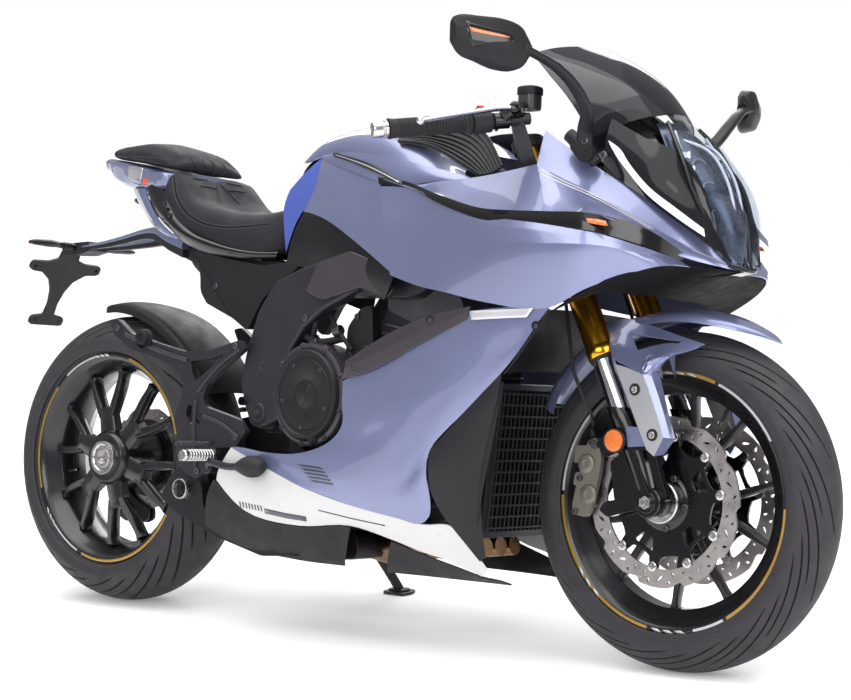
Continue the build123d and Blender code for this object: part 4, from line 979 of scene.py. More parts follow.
Z_STEP = px(592, 347, -105)[2]
for s, side in ((-1, "right"), (1, "left")):
    y = s * 105.0
    # gold outer tube, thicker below the step, with its cap and adjuster
    o, L = on_tube(548, y), (935 - 548) / COS25
    hs = (Z_STEP - 548) / COS25
    p = Piece()
    p.add(lathe([(0, 21.6), (0, 25.6), (1.5, 26.8), (hs - 3, 26.8), (hs, 25.2), (hs + 1, 25.0), (L - 14, 25.0), (L - 12, 25.4), (L - 1, 25.4), (L, 24.4), (L, 18), (L - 3, 17.5)], o, UP, 64), 0)
    p.add(lathe([(L - 4, 17.5), (L + 1, 17.5), (L + 2, 16.5), (L + 2, 11), (L - 1, 10.5), (L - 1, .1)], o, UP, 6), 1)
    p.add(lathe([(L - 1, 6), (L + 5, 6), (L + 6, 5), (L + 6, .1)], o, UP, 24), 0)
    p.add(lathe([(-6, 21.6), (-6, 24.4), (0.2, 25.0), (0.2, 21.6)], o, UP, 64), 2)
    p.make("fork_tube_" + side, "steering", "fork_gold", ["gold", "steel_dark", "rubber"], "fork_tubes" if s < 0 else (), bevel=0.5, limit=40)
    # chrome slider and cast foot
    lo = on_tube(440, y)
    p = Piece()
    p.add(lathe([(-10, 20), (-10, 21.3), (118 / COS25, 21.3), (118 / COS25, 20)], lo, UP, 64), 0)
    p.make("fork_slider_" + side, "steering", "steel", ["chrome"], "fork_legs" if s < 0 else (), angle=40)
    p = Piece()
    oval = [(math.cos(t), math.sin(t)) for t in np.linspace(0, 2 * math.pi, 24, endpoint=False)]
    secs = []
    for z, rx, ry, back in ((462, 27, 27, 0), (448, 28.5, 27.5, 0), (430, 27.5, 26, 0), (395, 27, 22, 1), (360, 24, 18.5, 3), (332, 22, 17.5, 5), (316, 20, 17.5, 6)):
        c = on_tube(z, y)
        secs.append([tuple(c + np.array([rx * a - back, s * 1.5 * (462 - z) / 140 + ry * b, 0])) for a, b in oval])
    p.add(loft(secs, k=3), 0)
    p.add(lathe([(88, 15), (88, 24), (90, 26.5), (122, 26.5), (124, 25), (124, 13)], (FX, 0, FZ), (0, s, 0), 48), 0)
    # ribs of the foot
    p.add(plate([(tube_x(440) - 6, 446), (tube_x(440) + 5, 446), (FX + 6, 316), (FX - 6, 316)], s * 120, s * 128.5, r=3), 0)
    p.add(plate([(FX + 14, 296), (FX + 34, 306), (tube_x(400) + 42, 396), (tube_x(420) + 30, 418), (tube_x(400) + 22, 392), (FX + 14, 320)], s * 98, s * 112, r=6), 0)
    # caliper bracket: two arms back from the foot
    p.add(plate([(tube_x(420) - 18, 428), (tube_x(400) - 10, 396), (612, 372), (590, 396), (604, 412)], s * 82, s * 98, r=6), 0)
    p.add(plate([(FX - 12, 322), (FX - 16, 290), (652, 278), (618, 268), (600, 280), (612, 296), (660, 304)], s * 82, s * 98, r=6), 0)
    p.add(plate([(tube_x(400) - 8, 400), (FX - 18, 318), (664, 300), (628, 300), (618, 366)], s * 88, s * 93, r=4), 0)
    p.add(plate([(690, 322), (700, 322), (640, 392), (632, 386)], s * 92, s * 97.5, r=2), 0)
    for q in ((FX + 16, 281), (FX - 6, 276)):
        p.add(bolt((q[0], s * 106, q[1]), (0.2, 0, -1), 4.6, 5), 1)
    p.make("fork_foot_" + side, "steering", "fork_black", ["gloss_black", "steel_dark"], bevel=2.0, seg=3, limit=32)
    # axle end
    p = Piece()
    p.add(lathe([(86, 12.4), (133, 12.4)], (FX, 0, FZ), (0, s, 0), 36), 0)
    p.add(lathe([(123, 19), (126, 19), (127, 18), (127, 12)], (FX, 0, FZ), (0, s, 0), 36), 1)
    p.add(lathe([(124, 12.4), (131.5, 12.4), (133, 11), (133, 7.5), (127, 7), (127, .1)], (FX, 0, FZ), (0, s, 0), 6), 0)
    p.make("axle_front_" + side, "steering", "steel", ["steel", "gloss_black"], "front_axle" if s < 0 else (), bevel=0.4)
    # caliper
    CAL = [(597.5, 436.7), (602.4, 456.5), (599.5, 476), (594.5, 500), (587.6, 517.7), (573.8, 513.8), (572.8, 505), (576.7, 486), (582.7, 462), (588.6, 440.0)]
    cal = [(px(u, v, -84)[0], px(u, v, -84)[2]) for u, v in CAL]
    p = Piece()
    p.add(plate(cal, s * 76.0, s * 87.0, r=8), 0)
    mid = (sum(c[0] for c in cal) / len(cal), sum(c[1] for c in cal) / len(cal))
    inner = [(mid[0] + (c[0] - mid[0]) * 0.93, mid[1] + (c[1] - mid[1]) * 0.95) for c in cal]
    p.add(plate(inner, s * 44.0, s * 57.0, r=8), 0)
    rear = [(c[0] - 2, c[1]) for c in cal if c[0] < mid[0] + 8]
    for cz_, hh_ in ((mid[1] + 44, 16), (mid[1] - 46, 16), (mid[1], 12)):
        p.add(plate([(mid[0] - 30, cz_ - hh_), (mid[0] + 2, cz_ - hh_ + 4), (mid[0] + 2, cz_ + hh_), (mid[0] - 26, cz_ + hh_)], s * 46, s * 86, r=5), 0)
    # pistons' bosses on the outer face
    for dz in (28, -26):
        p.add(lathe([(0, 18), (3.0, 17), (4.6, 14), (4.6, 6), (3.6, 5.5), (3.6, .1)], (mid[0] + 2 - dz * .12, s * 86.2, mid[1] + dz), (0, s, 0), 32), 0)
    p.make("caliper_front_" + side, "steering", "caliper_grey", ["caliper_grey"], "front_calipers" if s < 0 else (), bevel=2.2, seg=3, limit=30)
    p = Piece()
    for dx, dz in ((10, 66), (-14, 2), (-22, -58)):
        p.add(bolt((mid[0] + dx, s * 87.5, mid[1] + dz), (0, s, 0), 5.6, 5.0), 0)
    p.add(lathe([(0, 5), (7, 5), (8, 4), (14, 3.4), (15, 2.6), (15, .1)], (mid[0] + 6, s * 78, mid[1] + 76), (-.3, 0, 1), 12), 1)
    p.add(nut((mid[0] + 16, s * 88, mid[1] + 62), (0, s, 0), 8.0, 4.0), 0)
    p.make("caliper_bolts_" + side, "steering", "caliper_grey", ["steel_dark", "rubber"], bevel=0.3)
    # reflector on its tab
    rc = px(614.3, 440.7, -136)
    p = Piece()
    p.add(lathe([(-3, .1), (-3, 21.5), (2.5, 21.5), (3.6, 20.6), (3.6, 19.2), (2.4, 19.0), (2.4, .1)], (rc[0], s * 136, rc[2]), (0, s, 0), 48), 1)
    p.add(lathe([(2.0, 19.2), (3.0, 18.8), (4.0, 12), (4.3, .1)], (rc[0], s * 136, rc[2]), (0, s, 0), 48), 0)
    p.make("reflector_" + side, "steering", "lens_red", ["amber", "plastic"], angle=30)

    # fender side plate: bare alloy face in a painted surround
    def q(u, v, yy):
        a = px(u, v, -abs(yy))
        return (a[0], s * abs(yy), a[2])
    face = [(614.3, 363.6), (627, 367.5), (643, 374.5), (654, 406), (663.3, 437.7), (653.8, 456.5), (646.3, 449.6), (630, 406)]
    pl = [(px(u, v, -134)[0], px(u, v, -134)[2]) for u, v in face]
    p = Piece()
    p.add(plate(pl, s * 131.0, s * 134.5, r=2), 0)
    p.make("fender_plate_" + side, "steering", "steel", ["paint_silver"], bevel=0.8, seg=2)
    p = Piece()
    p.add(patch([[q(643, 374.5, 134.3), q(654, 406, 134.3), q(663.3, 437.7, 134.3)],
                 [q(650, 372.0, 129), q(661, 404, 129), q(670.5, 438.5, 129)],
                 [q(659, 369.5, 108), q(666, 402, 108), q(675.5, 438.7, 108)]], 4, 6, bu=(1,)), 0)
    p.add(patch([[q(663.3, 437.7, 134.3), q(653.8, 456.5, 134.3)], [q(675.5, 438.7, 108), q(664, 455, 112)]], 3, 3), 0)
    # outer wing joining the arch, open in the middle
    wing = [[q(606, 322, 58), q(620, 319, 62), q(648, 324, 68), q(684, 337, 71), q(705, 344, 72)],
            [q(607, 330, 86), q(616, 330, 88), q(631, 334, 90), q(682, 341.5, 80), q(700, 346, 78)],
            [q(609, 343, 112), q(615, 344, 114), q(638, 350, 112), q(678, 343.5, 84), q(690, 350, 86)],
            [q(612, 358, 130), q(618, 361, 134), q(643, 374.5, 134.3), q(651, 360.5, 126), q(672, 355, 104)]]
    p.add(cut_patch(wing, 6, 6, bu=(1, 2), bv=(2,), cuts=[(1, 2, 2, 3)]), 0)
    p.add(patch([[q(643, 374.5, 134.3), q(647, 367, 131), q(651, 360.5, 126)], [q(650, 372.0, 129), q(654, 367, 126), q(660, 358, 116)], [q(659, 369.5, 108), q(664, 361, 106), q(672, 355, 104)]], 4, 4), 0)
    p.make("fender_wing_" + side, "steering", "paint_lilac", ["paint"], solid=3.0, core=(FX - 60, s * 20, 420), bevel=0.8, seg=2, limit=24)
    # painted tab behind the plate and the lug under it
    p = Piece()
    tab = [(px(u, v, -128)[0], px(u, v, -128)[2]) for u, v in ((626, 426), (648, 428), (652, 446), (628, 447))]
    p.add(plate(tab, s * 126, s * 130, r=2), 0)
    p.add(plate([(a + 2, b - 6) for a, b in tab], s * 120, s * 125.5, r=2), 1)
    p.make("fender_tab_" + side, "steering", "paint_lilac", ["paint", "gloss_black"], bevel=1.0)
    p = Piece()
    for u, v in ((635, 389.5), (652.3, 435)):
        c = px(u, v, -134)
        c = (c[0], s * 134.4, c[2])
        p.add(lathe([(-1, 10.6), (1.2, 10.6), (2.0, 9.8), (2.0, 8.0), (0.8, 7.6), (0.8, 1)], c, (0, s, 0), 32), 1)
        p.add(bolt(c, (0, s, 0), 6.4, 4.2), 0)
    p.make("fender_bolts_" + side, "steering", "steel", ["steel", "rubber"], bevel=0.3)

# arch of the fender, a peak in front and a tail behind
rows = []
for a, h, rc_, re_, mid_ in ((56.6, 3, 334, 333.6, 334), (60, 20, 337, 331, 336), (65, 38, 339, 325, 336), (72, 56, 340, 319, 335), (82, 67, 340, 315, 334),
                            (95, 72, 339, 312, 333), (110, 71, 338, 311, 332), (126, 68, 336, 305, 330), (140, 63, 334, 297, 328), (150, 54, 333, 292, 326)):
    t = math.radians(a)
    row = []
    for w_, r_ in ((-1.0, re_), (-0.93, (re_ + mid_) / 2 + 1), (-0.62, mid_), (-0.3, rc_ - 1), (0, rc_), (0.3, rc_ - 1), (0.62, mid_), (0.93, (re_ + mid_) / 2 + 1), (1.0, re_)):
        row.append((FX + r_ * math.cos(t), h * w_, FZ + r_ * math.sin(t)))
    rows.append(row)
p = Piece()
p.add(patch(rows, 6, 4, bv=(2, 6)), 0)
p.make("fender_arch", "steering", "paint_lilac", ["paint"], "front_fender", solid=3.2, core=(FX, 0, FZ), bevel=0.9, seg=2, limit=20)

# clamps, stem, bar risers
def yoke_plate(z0, z1, name, mat, extra=0):
    outline = [(-27, -24), (-30, 0), (-27, 24), (6, 70), (8, 104), (14, 128), (30, 139), (52, 136), (64, 122), (67, 105), (62, 84), (50, 60), (36, 30), (33, 0),
               (36, -30), (50, -60), (62, -84), (67, -105), (64, -122), (52, -136), (30, -139), (14, -128), (8, -104), (6, -70)]
    holes = [[(13, -30), (22, -50), (30, -62), (24, -34)], [(13, 30), (24, 34), (30, 62), (22, 50)]]
    hol = holes + [[(35 + 25.2 * math.cos(t), s * 105 + 25.2 * math.sin(t)) for t in np.linspace(0, 2 * math.pi, 40, endpoint=False)] for s in (-1, 1)]
    p = Piece()
    p.add(slab(rounded(outline, 10, 3), on_axis(z0), FWD, (0, 1, 0), UP, 0, (z1 - z0) / COS25, hol), 0)
    for s in (-1, 1):
        p.add(bolt(on_axis((z0 + z1) / 2, s * 92, 8), (-COS25, 0, -SIN25), 5.5, 6), 1)
    return p


p = yoke_plate(905, 925, "top", "bronze_grey")
p.add(lathe([(0, 22), (6, 22), (7, 20), (7, 9), (3, 8), (3, .1)], on_axis(925), UP, 6), 1)
p.add(lathe([(-60, 19), (-10, 19), (-6, 24), (2, 25)], on_axis(925), UP, 32), 0)
p.make("yoke_top", "steering", "fork_black", ["frame_paint", "steel_dark"], "yokes", bevel=1.4, seg=2, limit=35)
p = yoke_plate(700, 735, "low", "frame_paint")
p.add(lathe([(-20, 14.8), (250, 14.8)], on_axis(700), UP, 24), 1)
p.make("yoke_low", "steering", "fork_black", ["frame_paint", "steel_dark"], bevel=1.8, seg=2, limit=35)

# bars, grips, controls
for s, side in ((-1, "right"), (1, "left")):
    i_, o_ = np.array([404, s * 250, 957.0]), np.array([318, s * 372, 936.0])
    d = (o_ - i_) / np.linalg.norm(o_ - i_)
    L = float(np.linalg.norm(o_ - i_))
    root = i_ - d * 112
    p = Piece()
    c = on_tube(876, s * 105.0)
    p.add(lathe([(-15, 25.2), (-15, 34), (-13, 35.5), (13, 35.5), (15, 34), (15, 25.2)], c, UP, 48), 0)
    p.add(loft([[tuple(c + FWD * a + UP * b + np.array([0, s * 24, 0])) for a, b in ((-20, -13), (20, -13), (20, 13), (-20, 13))],
                [tuple(root + d * 24 + FWD * a + UP * b) for a, b in ((-13, -12), (13, -12), (13, 12), (-13, 12))]], k=1), 0)
    p.add(sweep([root, root + d * 60, i_ + d * 4], 11.0, 24, 1), 0)
    p.add(bolt(c + FWD * 34 + np.array([0, s * 10, 0]), FWD, 5, 5), 1)
    p.make("bar_" + side, "steering", "fork_black", ["frame_paint", "steel_dark"], "handlebars" if s < 0 else (), bevel=1.5, seg=2, limit=35)
    prof = [(0, 12), (0, 21), (1.5, 22), (5, 22), (6.5, 19), (9, 17.2)]
    h = 12.0
    while h < L - 16:
        prof += [(h, 17.0), (h + .6, 15.8), (h + 2.0, 15.8), (h + 2.6, 17.0)]
        h += 5.2
    prof += [(L - 6, 17.2), (L - 4, 18.4), (L, 18.4), (L, 10)]
    p = Piece()
    p.add(lathe(prof, i_, d, 40), 0)
    p.make("grip_" + side, "steering", "grip_black", ["rubber"], angle=50)
    p = Piece()
    p.add(lathe([(0.4, 8), (0.4, 13), (2, 15.0), (7, 15.4), (8, 13.4), (10, 13.4), (11, 15.2), (25, 14.6), (28.5, 13.0), (29.6, 11), (29.6, 5.2), (26, 4.8), (26, .1)], o_, d, 40), 0)
    p.make("bar_end_" + side, "steering", "lever_silver", ["steel"], bevel=0.3)
    # switch housing
    p = Piece()
    hc = i_ - d * 20
    a_, b_, c_ = frame_of(d, (0, 0, 1))
    sec = []
    for hh_, w1, w2 in ((-22, 14, 13), (-18, 20, 18), (8, 21, 20), (16, 20, 18), (19, 16, 14)):
        sec.append([tuple(hc + d * hh_ + a_ * (w1 * math.sin(t)) + b_ * (w2 * math.cos(t)) * 1.05) for t in [2 * math.pi * (k + .5) / 12 for k in range(12)]])
    p.add(loft(sec), 0)
    p.add(slab(rounded([(-9, -7), (9, -7), (9, 7), (-9, 7)], 3), hc + a_ * 17 - d * 2, d, b_, a_, 0, 8), 0)
    p.add(slab(rounded([(-6, -4), (6, -4), (6, 4), (-6, 4)], 2), hc + a_ * 24 - d * 2, d, b_, a_, 0, 5), 1 if s < 0 else 0)
    for k_ in (-1, 1):
        p.add(slab(rounded([(-4, -3), (4, -3), (4, 3), (-4, 3)], 1.2), hc - FWD * 19 + d * 7 * k_ + a_ * 2, d, a_, -FWD, 0, 4), 2 if k_ > 0 else 0)
    p.make("switch_" + side, "steering", "plastic_black", ["plastic", "red", "orange_mark"], bevel=1.2, seg=2, limit=30)
    # lever with its ball end
    pv = np.array([474.0, s * 206.0, 983.0])
    pts_ = [pv, (458, s * 240, 980), (440, s * 275, 971.5), (418, s * 314, 961), (400, s * 344, 953), (386, s * 366, 947)]
    flat = [(1.25 * math.cos(t), 0.62 * math.sin(t)) for t in np.linspace(0, 2 * math.pi, 14, endpoint=False)]
    p = Piece()
    p.add(sweep(pts_, [8.5, 7.8, 7.0, 6.6, 6.4, 6.2], section=flat, k=6, ref=(1, 0, 0.2)), 0)
    ball = np.array(pts_[-1], float)
    dd = (np.array(pts_[-1], float) - np.array(pts_[-2], float))
    dd /= np.linalg.norm(dd)
    p.add(lathe([(-8, 4.0), (-5, 6.6), (0, 8.2), (4, 7.0), (7, 3.6), (8, .1)], ball, dd, 24), 0)
    p.add(lathe([(-9, 9), (-8, 10), (8, 10), (9, 9), (9, 5), (7, 4.6), (7, .1)], pv, (0.1, 0, 1), 24), 1)
    p.add(lathe([(-9, .1), (-9, 9)], pv, (0.1, 0, 1), 24), 1)
    p.make("lever_" + side, "steering", "lever_silver", ["steel", "plastic"], "hand_levers" if s < 0 else (), bevel=0.4, limit=40)
    # master cylinder, clamp and fluid pot
    p = Piece()
    p.add(lathe([(-14, 12), (-14, 15), (14, 15), (14, 12)], i_ - d * 58, d, 32), 0)
    m0 = i_ - d * 58 + FWD * 8
    m1 = np.array([468.0, s * 196.0, 982.0])
    p.add(sweep([m0 + np.array([0, 0, 2]), (m0 + m1) / 2 + np.array([0, 0, 5]), m1], [13, 12.5, 13.5], 24, 3), 0)
    p.add(lathe([(-26, 9), (-24, 11), (20, 12), (28, 10), (30, 6), (30, .1)], m1, (0.42, -s * -0.86, 0.1), 24), 0)
    p.add(sweep([m1 + np.array([0, -s * 4, 4]), np.array([463, s * 172, 992.0]), np.array([461, s * 152, 998.0])], [8, 8, 8], 16, 4), 0)
    for k_ in (-1, 1):
        p.add(bolt(i_ - d * 58 - FWD * 14 + UP * 9 * k_, -FWD, 4, 4), 1)
    p.make("master_" + side, "steering", "caliper_black", ["gloss_black", "steel_dark"], bevel=0.9, seg=2, limit=35)
    p = Piece()
    pot = (461, s * 150, 994)
    sq = [(math.copysign(abs(math.cos(t)) ** 0.6, math.cos(t)), math.copysign(abs(math.sin(t)) ** 0.6, math.sin(t))) for t in np.linspace(0, 2 * math.pi, 28, endpoint=False)]
    p.add(loft([[(pot[0] + a * r_, pot[1] + b * r_, pot[2] + h_) for a, b in sq] for h_, r_ in ((-6, 10), (-5, 17), (0, 18.5), (22, 18.5))]), 0)
    p.add(loft([[(pot[0] + a * r_, pot[1] + b * r_, pot[2] + h_) for a, b in sq] for h_, r_ in ((22, 19), (22.5, 20.5), (33, 20.5), (36, 19.5), (38, 16), (38.2, 1))]), 1)
    for k_ in (-1, 1):
        p.add(bolt((pot[0] + 10 * k_, pot[1] + 6 * k_, 1031), (0, 0, 1), 3, 1.6), 2)
    p.make("fluid_pot_" + side, "steering", "caliper_black", ["bronze_grey", "plastic", "steel_dark"], bevel=0.7)

# ================================================================= bodywork
def sides(build, name, slotname, mats, replaces=(), **kw):
    """A right-hand piece and its mirror image on the left."""
    core = kw.pop("core", None)
    for s, side in ((1, "right"), (-1, "left")):
        p = Piece()
        for geo, m in build():
            p.add(geo if s > 0 else mirror(geo), m)
        rep = replaces
        if isinstance(replaces, dict):
            rep = replaces.get(side, ())
        elif s < 0:
            rep = ()
        c = None if core is None else (core[0], core[1] * s, core[2])
        p.make(name + "_" + side, kw.get("body", "chassis"), slotname, mats, rep, core=c, **{k: v for k, v in kw.items() if k != "body"})


def even(rows, nu, nv, it=14, edge=4, bu=(), bv=()):
    """Sheet through rows, relaxed between its edges so that it reflects evenly."""
    v, f = patch(rows, nu, nv, bu, bv)
    n, m = (len(rows) - 1) * nu + 1, (len(rows[0]) - 1) * nv + 1
    A = np.array(v, float).reshape(n, m, 3)
    for _ in range(edge):
        for i in (0, n - 1):
            A[i, 1:-1] = (A[i, :-2] + 2 * A[i, 1:-1] + A[i, 2:]) / 4
    for _ in range(it):
        A[1:-1, 1:-1] = (A[:-2, 1:-1] + A[2:, 1:-1] + A[1:-1, :-2] + A[1:-1, 2:]) / 4
    return A.reshape(-1, 3).tolist(), f


# ---- upper side fairing, from the dark trim down to the hem
UP_NET = net(
    [(380, 186, -176), (417, 189, -192), (455, 204, -236), (490, 216, -256), (545, 224, -270), (600, 234, -262), (640, 246, -208), (682, 261, -100)],
    [(380, 192, -178), (415, 200, -196), (452, 215, -240), (490, 224, -262), (545, 231, -277), (600, 240, -268), (640, 250, -212), (684, 263, -100)],
    [(383, 218, -190), (412, 228, -206), (450, 238, -244), (490, 243, -268), (545, 243, -286), (600, 245.5, -274), (642, 254, -214), (686, 264.5, -101)],
    [(386, 248, -196), (410, 262, -212), (448, 268, -243), (488, 262, -266), (545, 257, -284), (598, 254, -272), (644, 258, -212), (687, 265.5, -101)],
    [(390, 275, -203), (415, 285, -222), (444, 292, -238), (484, 302, -252), (547, 308, -262), (592, 286, -256), (650, 268, -200), (690, 267, -100)],
)


def upper():
    return [(patch(UP_NET, 7, 6, bu=(1, 2)), 0)]


sides(upper, "fairing_upper", "paint_lilac", ["paint"], {"right": "side_fairing_right", "left": "side_fairing_left"}, solid=3.2, core=(420, 0, 700), bevel=0.9, seg=2, limit=18)

# dark trim strip with its lamp
TRIM = net(
    [(378, 177, -172), (400, 180, -180), (440, 195, -226), (480, 208, -250), (545, 211, -262), (590, 213, -262), (630, 222, -218), (686, 255, -98)],
    [(378, 180, -174), (400, 184, -182), (440, 199, -230), (480, 213, -254), (545, 218, -266), (590, 220.5, -265), (630, 230, -220), (684, 258, -99)],
    [(379, 184, -175), (404, 187, -184), (440, 204, -232), (480, 219, -256), (545, 226, -268), (592, 231, -266), (632, 242, -218), (682, 262, -100)],
)
sides(lambda: [(patch(TRIM, 4, 6, bu=(1,)), 0)], "trim_strip", "plastic_gloss", ["gloss_black"], solid=2.4, core=(420, 0, 700), bevel=0.6, seg=2, limit=24)


def blinker():
    a = net([(586, 218, -270), (593, 218.4, -270), (600, 219.4, -268), (606, 221, -264)], [(586.5, 220.5, -272), (593, 221, -272), (600, 222, -270), (607, 223.6, -266)],
            [(588, 223, -271), (594, 224, -271), (601, 225.2, -269), (608, 226, -265)])
    return [(patch(a, 4, 4, bu=(1,)), 0)]


sides(blinker, "blinker_front", "lens_clear", ["amber"], solid=3.0, core=(420, 0, 700), bevel=0.5, seg=2)

# ---- nose: from the rim of the cockpit and the screen's edge down to the trim strip
COWL_NET = net(
    [(380, 176, -171), (405, 185, -181), (440, 181, -184), (478, 177, -186), (512, 170, -188), (537, 164, -186), (560, 177, -190), (592, 192, -186), (628, 212, -158), (668, 236, -112), (705, 254, -66), (738, 267, -22)],
    [(380, 177, -172), (404, 185.5, -184), (440, 187, -200), (480, 193, -214), (512, 192, -222), (542, 190, -226), (566, 196, -224), (600, 208, -214), (634, 226, -176), (672, 246, -118), (706, 259, -69), (738, 269, -23)],
    [(380, 178, -173), (404, 186.5, -186), (440, 195, -226), (480, 208, -250), (513, 210, -257), (545, 211, -262), (570, 212, -264), (604, 215, -252), (640, 235, -200), (676, 255, -118), (708, 264, -68), (738, 271, -24)],
)
COWL_TOP = net(
    [(537, 164, -186), (541, 147, -170), (545.5, 130, -152)],
    [(560, 177, -189), (563, 161, -172), (568, 147, -153)],
    [(592, 192, -186), (597, 180, -168), (603, 171, -148)],
    [(628, 212, -158), (632, 200, -144), (638, 191, -128)],
    [(668, 236, -112), (670, 225, -104), (672, 216, -96)],
    [(705, 254, -66), (706, 245, -62), (706, 237, -60)],
    [(738, 267, -22), (736, 262, -22), (731, 256, -26)],
)


def cowl():
    return [(even([r_[:6] for r_ in COWL_NET], 7, 6, 10, 3), 0), (even([r_[5:] for r_ in COWL_NET], 7, 7, 60, 6), 0), (even([[r_[i] for r_ in COWL_TOP] for i in range(3)], 5, 7, 40, 6), 0)]


sides(cowl, "nose_cowl", "paint_lilac", ["paint"], {"right": "nose_cowl"}, solid=3.2, core=(560, 0, 760), bevel=0.9, seg=2, limit=16)


# twin pin lines along the crease
def along(netrows, frac, w, lift, j0=0.0, j1=1.0, steps=40):
    """Thin ribbon on a sheet: rows at fraction frac across, w wide in the same units."""
    v, f = patch(netrows, 16, 8)
    m = (len(netrows[0]) - 1) * 8 + 1
    n = (len(netrows) - 1) * 16 + 1
    A = np.array(v).reshape(n, m, 3)
    r0, r1 = frac * (n - 1), (frac + w) * (n - 1)
    out = []
    c0, c1 = int(j0 * (m - 1)), int(j1 * (m - 1))
    for j in range(c0, c1 + 1):
        def at_row(r):
            i = min(n - 2, int(r))
            return A[i, j] * (1 - (r - i)) + A[i + 1, j] * (r - i)
        a, b = at_row(r0), at_row(r1)
        i = min(n - 2, int(r0))
        jj = min(m - 2, j)
        nn = np.cross(A[i + 1, jj] - A[i, jj], A[i, jj + 1] - A[i, jj])
        nn = nn / (np.linalg.norm(nn) + 1e-9)
        if nn[1] > 0:
            nn = -nn
        out.append([tuple(a + nn * lift), tuple(b + nn * lift)])
    A2 = np.array(out)
    return A2.reshape(-1, 3).tolist(), cross_grid(len(A2), 2)


SUB = [r[5:] for r in COWL_NET]
sides(lambda: [(along(SUB, 0.05, 0.035, 0.25, 0.0, 0.97), 0), (along(SUB, 0.14, 0.035, 0.25, 0.0, 0.97), 0)], "pin_lines", "paint_lilac", ["paint_white"], solid=0.3, core=(560, 0, 760))

# ---- tank: painted skin from the ridge down, and its top
TANK_SIDE = net(
    [(322, 158, -100), (345, 166, -130), (362, 175, -152), (380, 182, -172)],
    [(319, 172, -112), (343, 184, -142), (363, 195, -164), (382, 202, -182)],
    [(313, 193, -119), (338, 208, -154), (362, 222, -176), (386, 234, -193)],
    [(302, 211, -122), (328, 221, -152), (358, 244, -180), (390, 272, -203)],
)
TANK_TOP = [
    [(-150, 0, 962), (-110, 0, 984), (-40, 0, 998), (60, 0, 1002), (160, 0, 992), (240, 0, 968), (300, 0, 930)],
    [(-150, -44, 957), (-110, -50, 979), (-40, -60, 993), (60, -72, 996), (160, -82, 984), (240, -84, 958), (300, -80, 922)],
    [(-148, -80, 935), (-106, -88, 958), (-36, -104, 972), (60, -122, 974), (160, -134, 960), (240, -132, 930), (300, -122, 892)],
    [px(322, 158, -100), px(332, 155, -112), px(348, 152, -130), px(372, 154, -150), px(402, 160, -166), px(436, 168, -172), px(470, 177, -168)],
]
TANK_EDGE = [
    TANK_TOP[-1],
    [px(322, 158.5, -101), px(333, 160, -120), px(350, 162, -142), px(373, 166, -160), (px(404, 172, -176)), px(438, 176, -180), px(472, 180, -172)],
    [px(322, 159, -102), px(336, 165, -124), px(354, 172, -148), px(375, 180, -170), px(405, 185, -181), px(440, 181, -182), px(474, 182, -174)],
]


def tank():
    return [(patch(TANK_SIDE, 7, 7), 0), (patch(TANK_TOP, 6, 6), 0), (patch(TANK_EDGE, 4, 6), 0)]


sides(tank, "tank_skin", "paint_lilac", ["paint"], {"right": "fuel_tank"}, solid=2.5, core=(60, 0, 850), bevel=0.8, seg=2, limit=20)
# filler cap
p = Piece()
p.add(lathe([(-6, 60), (0, 60), (2, 58), (2.5, 44), (1.5, 42), (1.5, 40), (5, 39), (6.5, 36), (7, 10), (6.6, .1)], (150, 0, 993), (0.08, 0, 1), 64), 0)
for k in range(7):
    a = math.radians(360 / 7 * k)
    p.add(bolt((150 + 51 * math.cos(a), 51 * math.sin(a), 995 - 4 * math.cos(a)), (0.08, 0, 1), 4, 3), 1)
p.add(loft([[(118, -9, 998 + h), (150, -11, 997 + h), (182, -9, 994 + h), (182, 9, 994 + h), (150, 11, 997 + h), (118, 9, 998 + h)] for h in (0, 6, 8)]), 0)
p.make("filler_cap", "chassis", "plastic_gloss", ["gloss_black", "steel_dark"], bevel=0.8)

# rear face of the tank beside the rider, in bright blue, and the dark panel in front of it
sides(lambda: [(patch(net([(322, 158, -99), (306, 172, -108), (290, 190, -112)], [(320, 178, -112), (302, 193, -118), (284, 208, -119)],
                          [(314, 193, -119), (298, 214, -124), (284, 226, -124)], [(302, 211, -122), (294, 228, -128), (286, 252, -127)]), 6, 6), 0)],
      "tank_rear", "paint_lilac", ["paint_blue"], core=(0, 0, 850))
sides(lambda: [(patch(net([(304, 211, -122), (331, 219, -148), (361, 240, -173), (395, 270, -196)],
                          [(294, 232, -128), (322, 242, -150), (350, 262, -172), (390, 285, -196)],
                          [(286, 264, -122), (314, 270, -137), (344, 282, -156), (384, 300, -178)]), 6, 6), 0)],
      "panel_tank_low", "plastic_black", ["plastic_fine"], solid=3, core=(60, 0, 800), bevel=0.8)

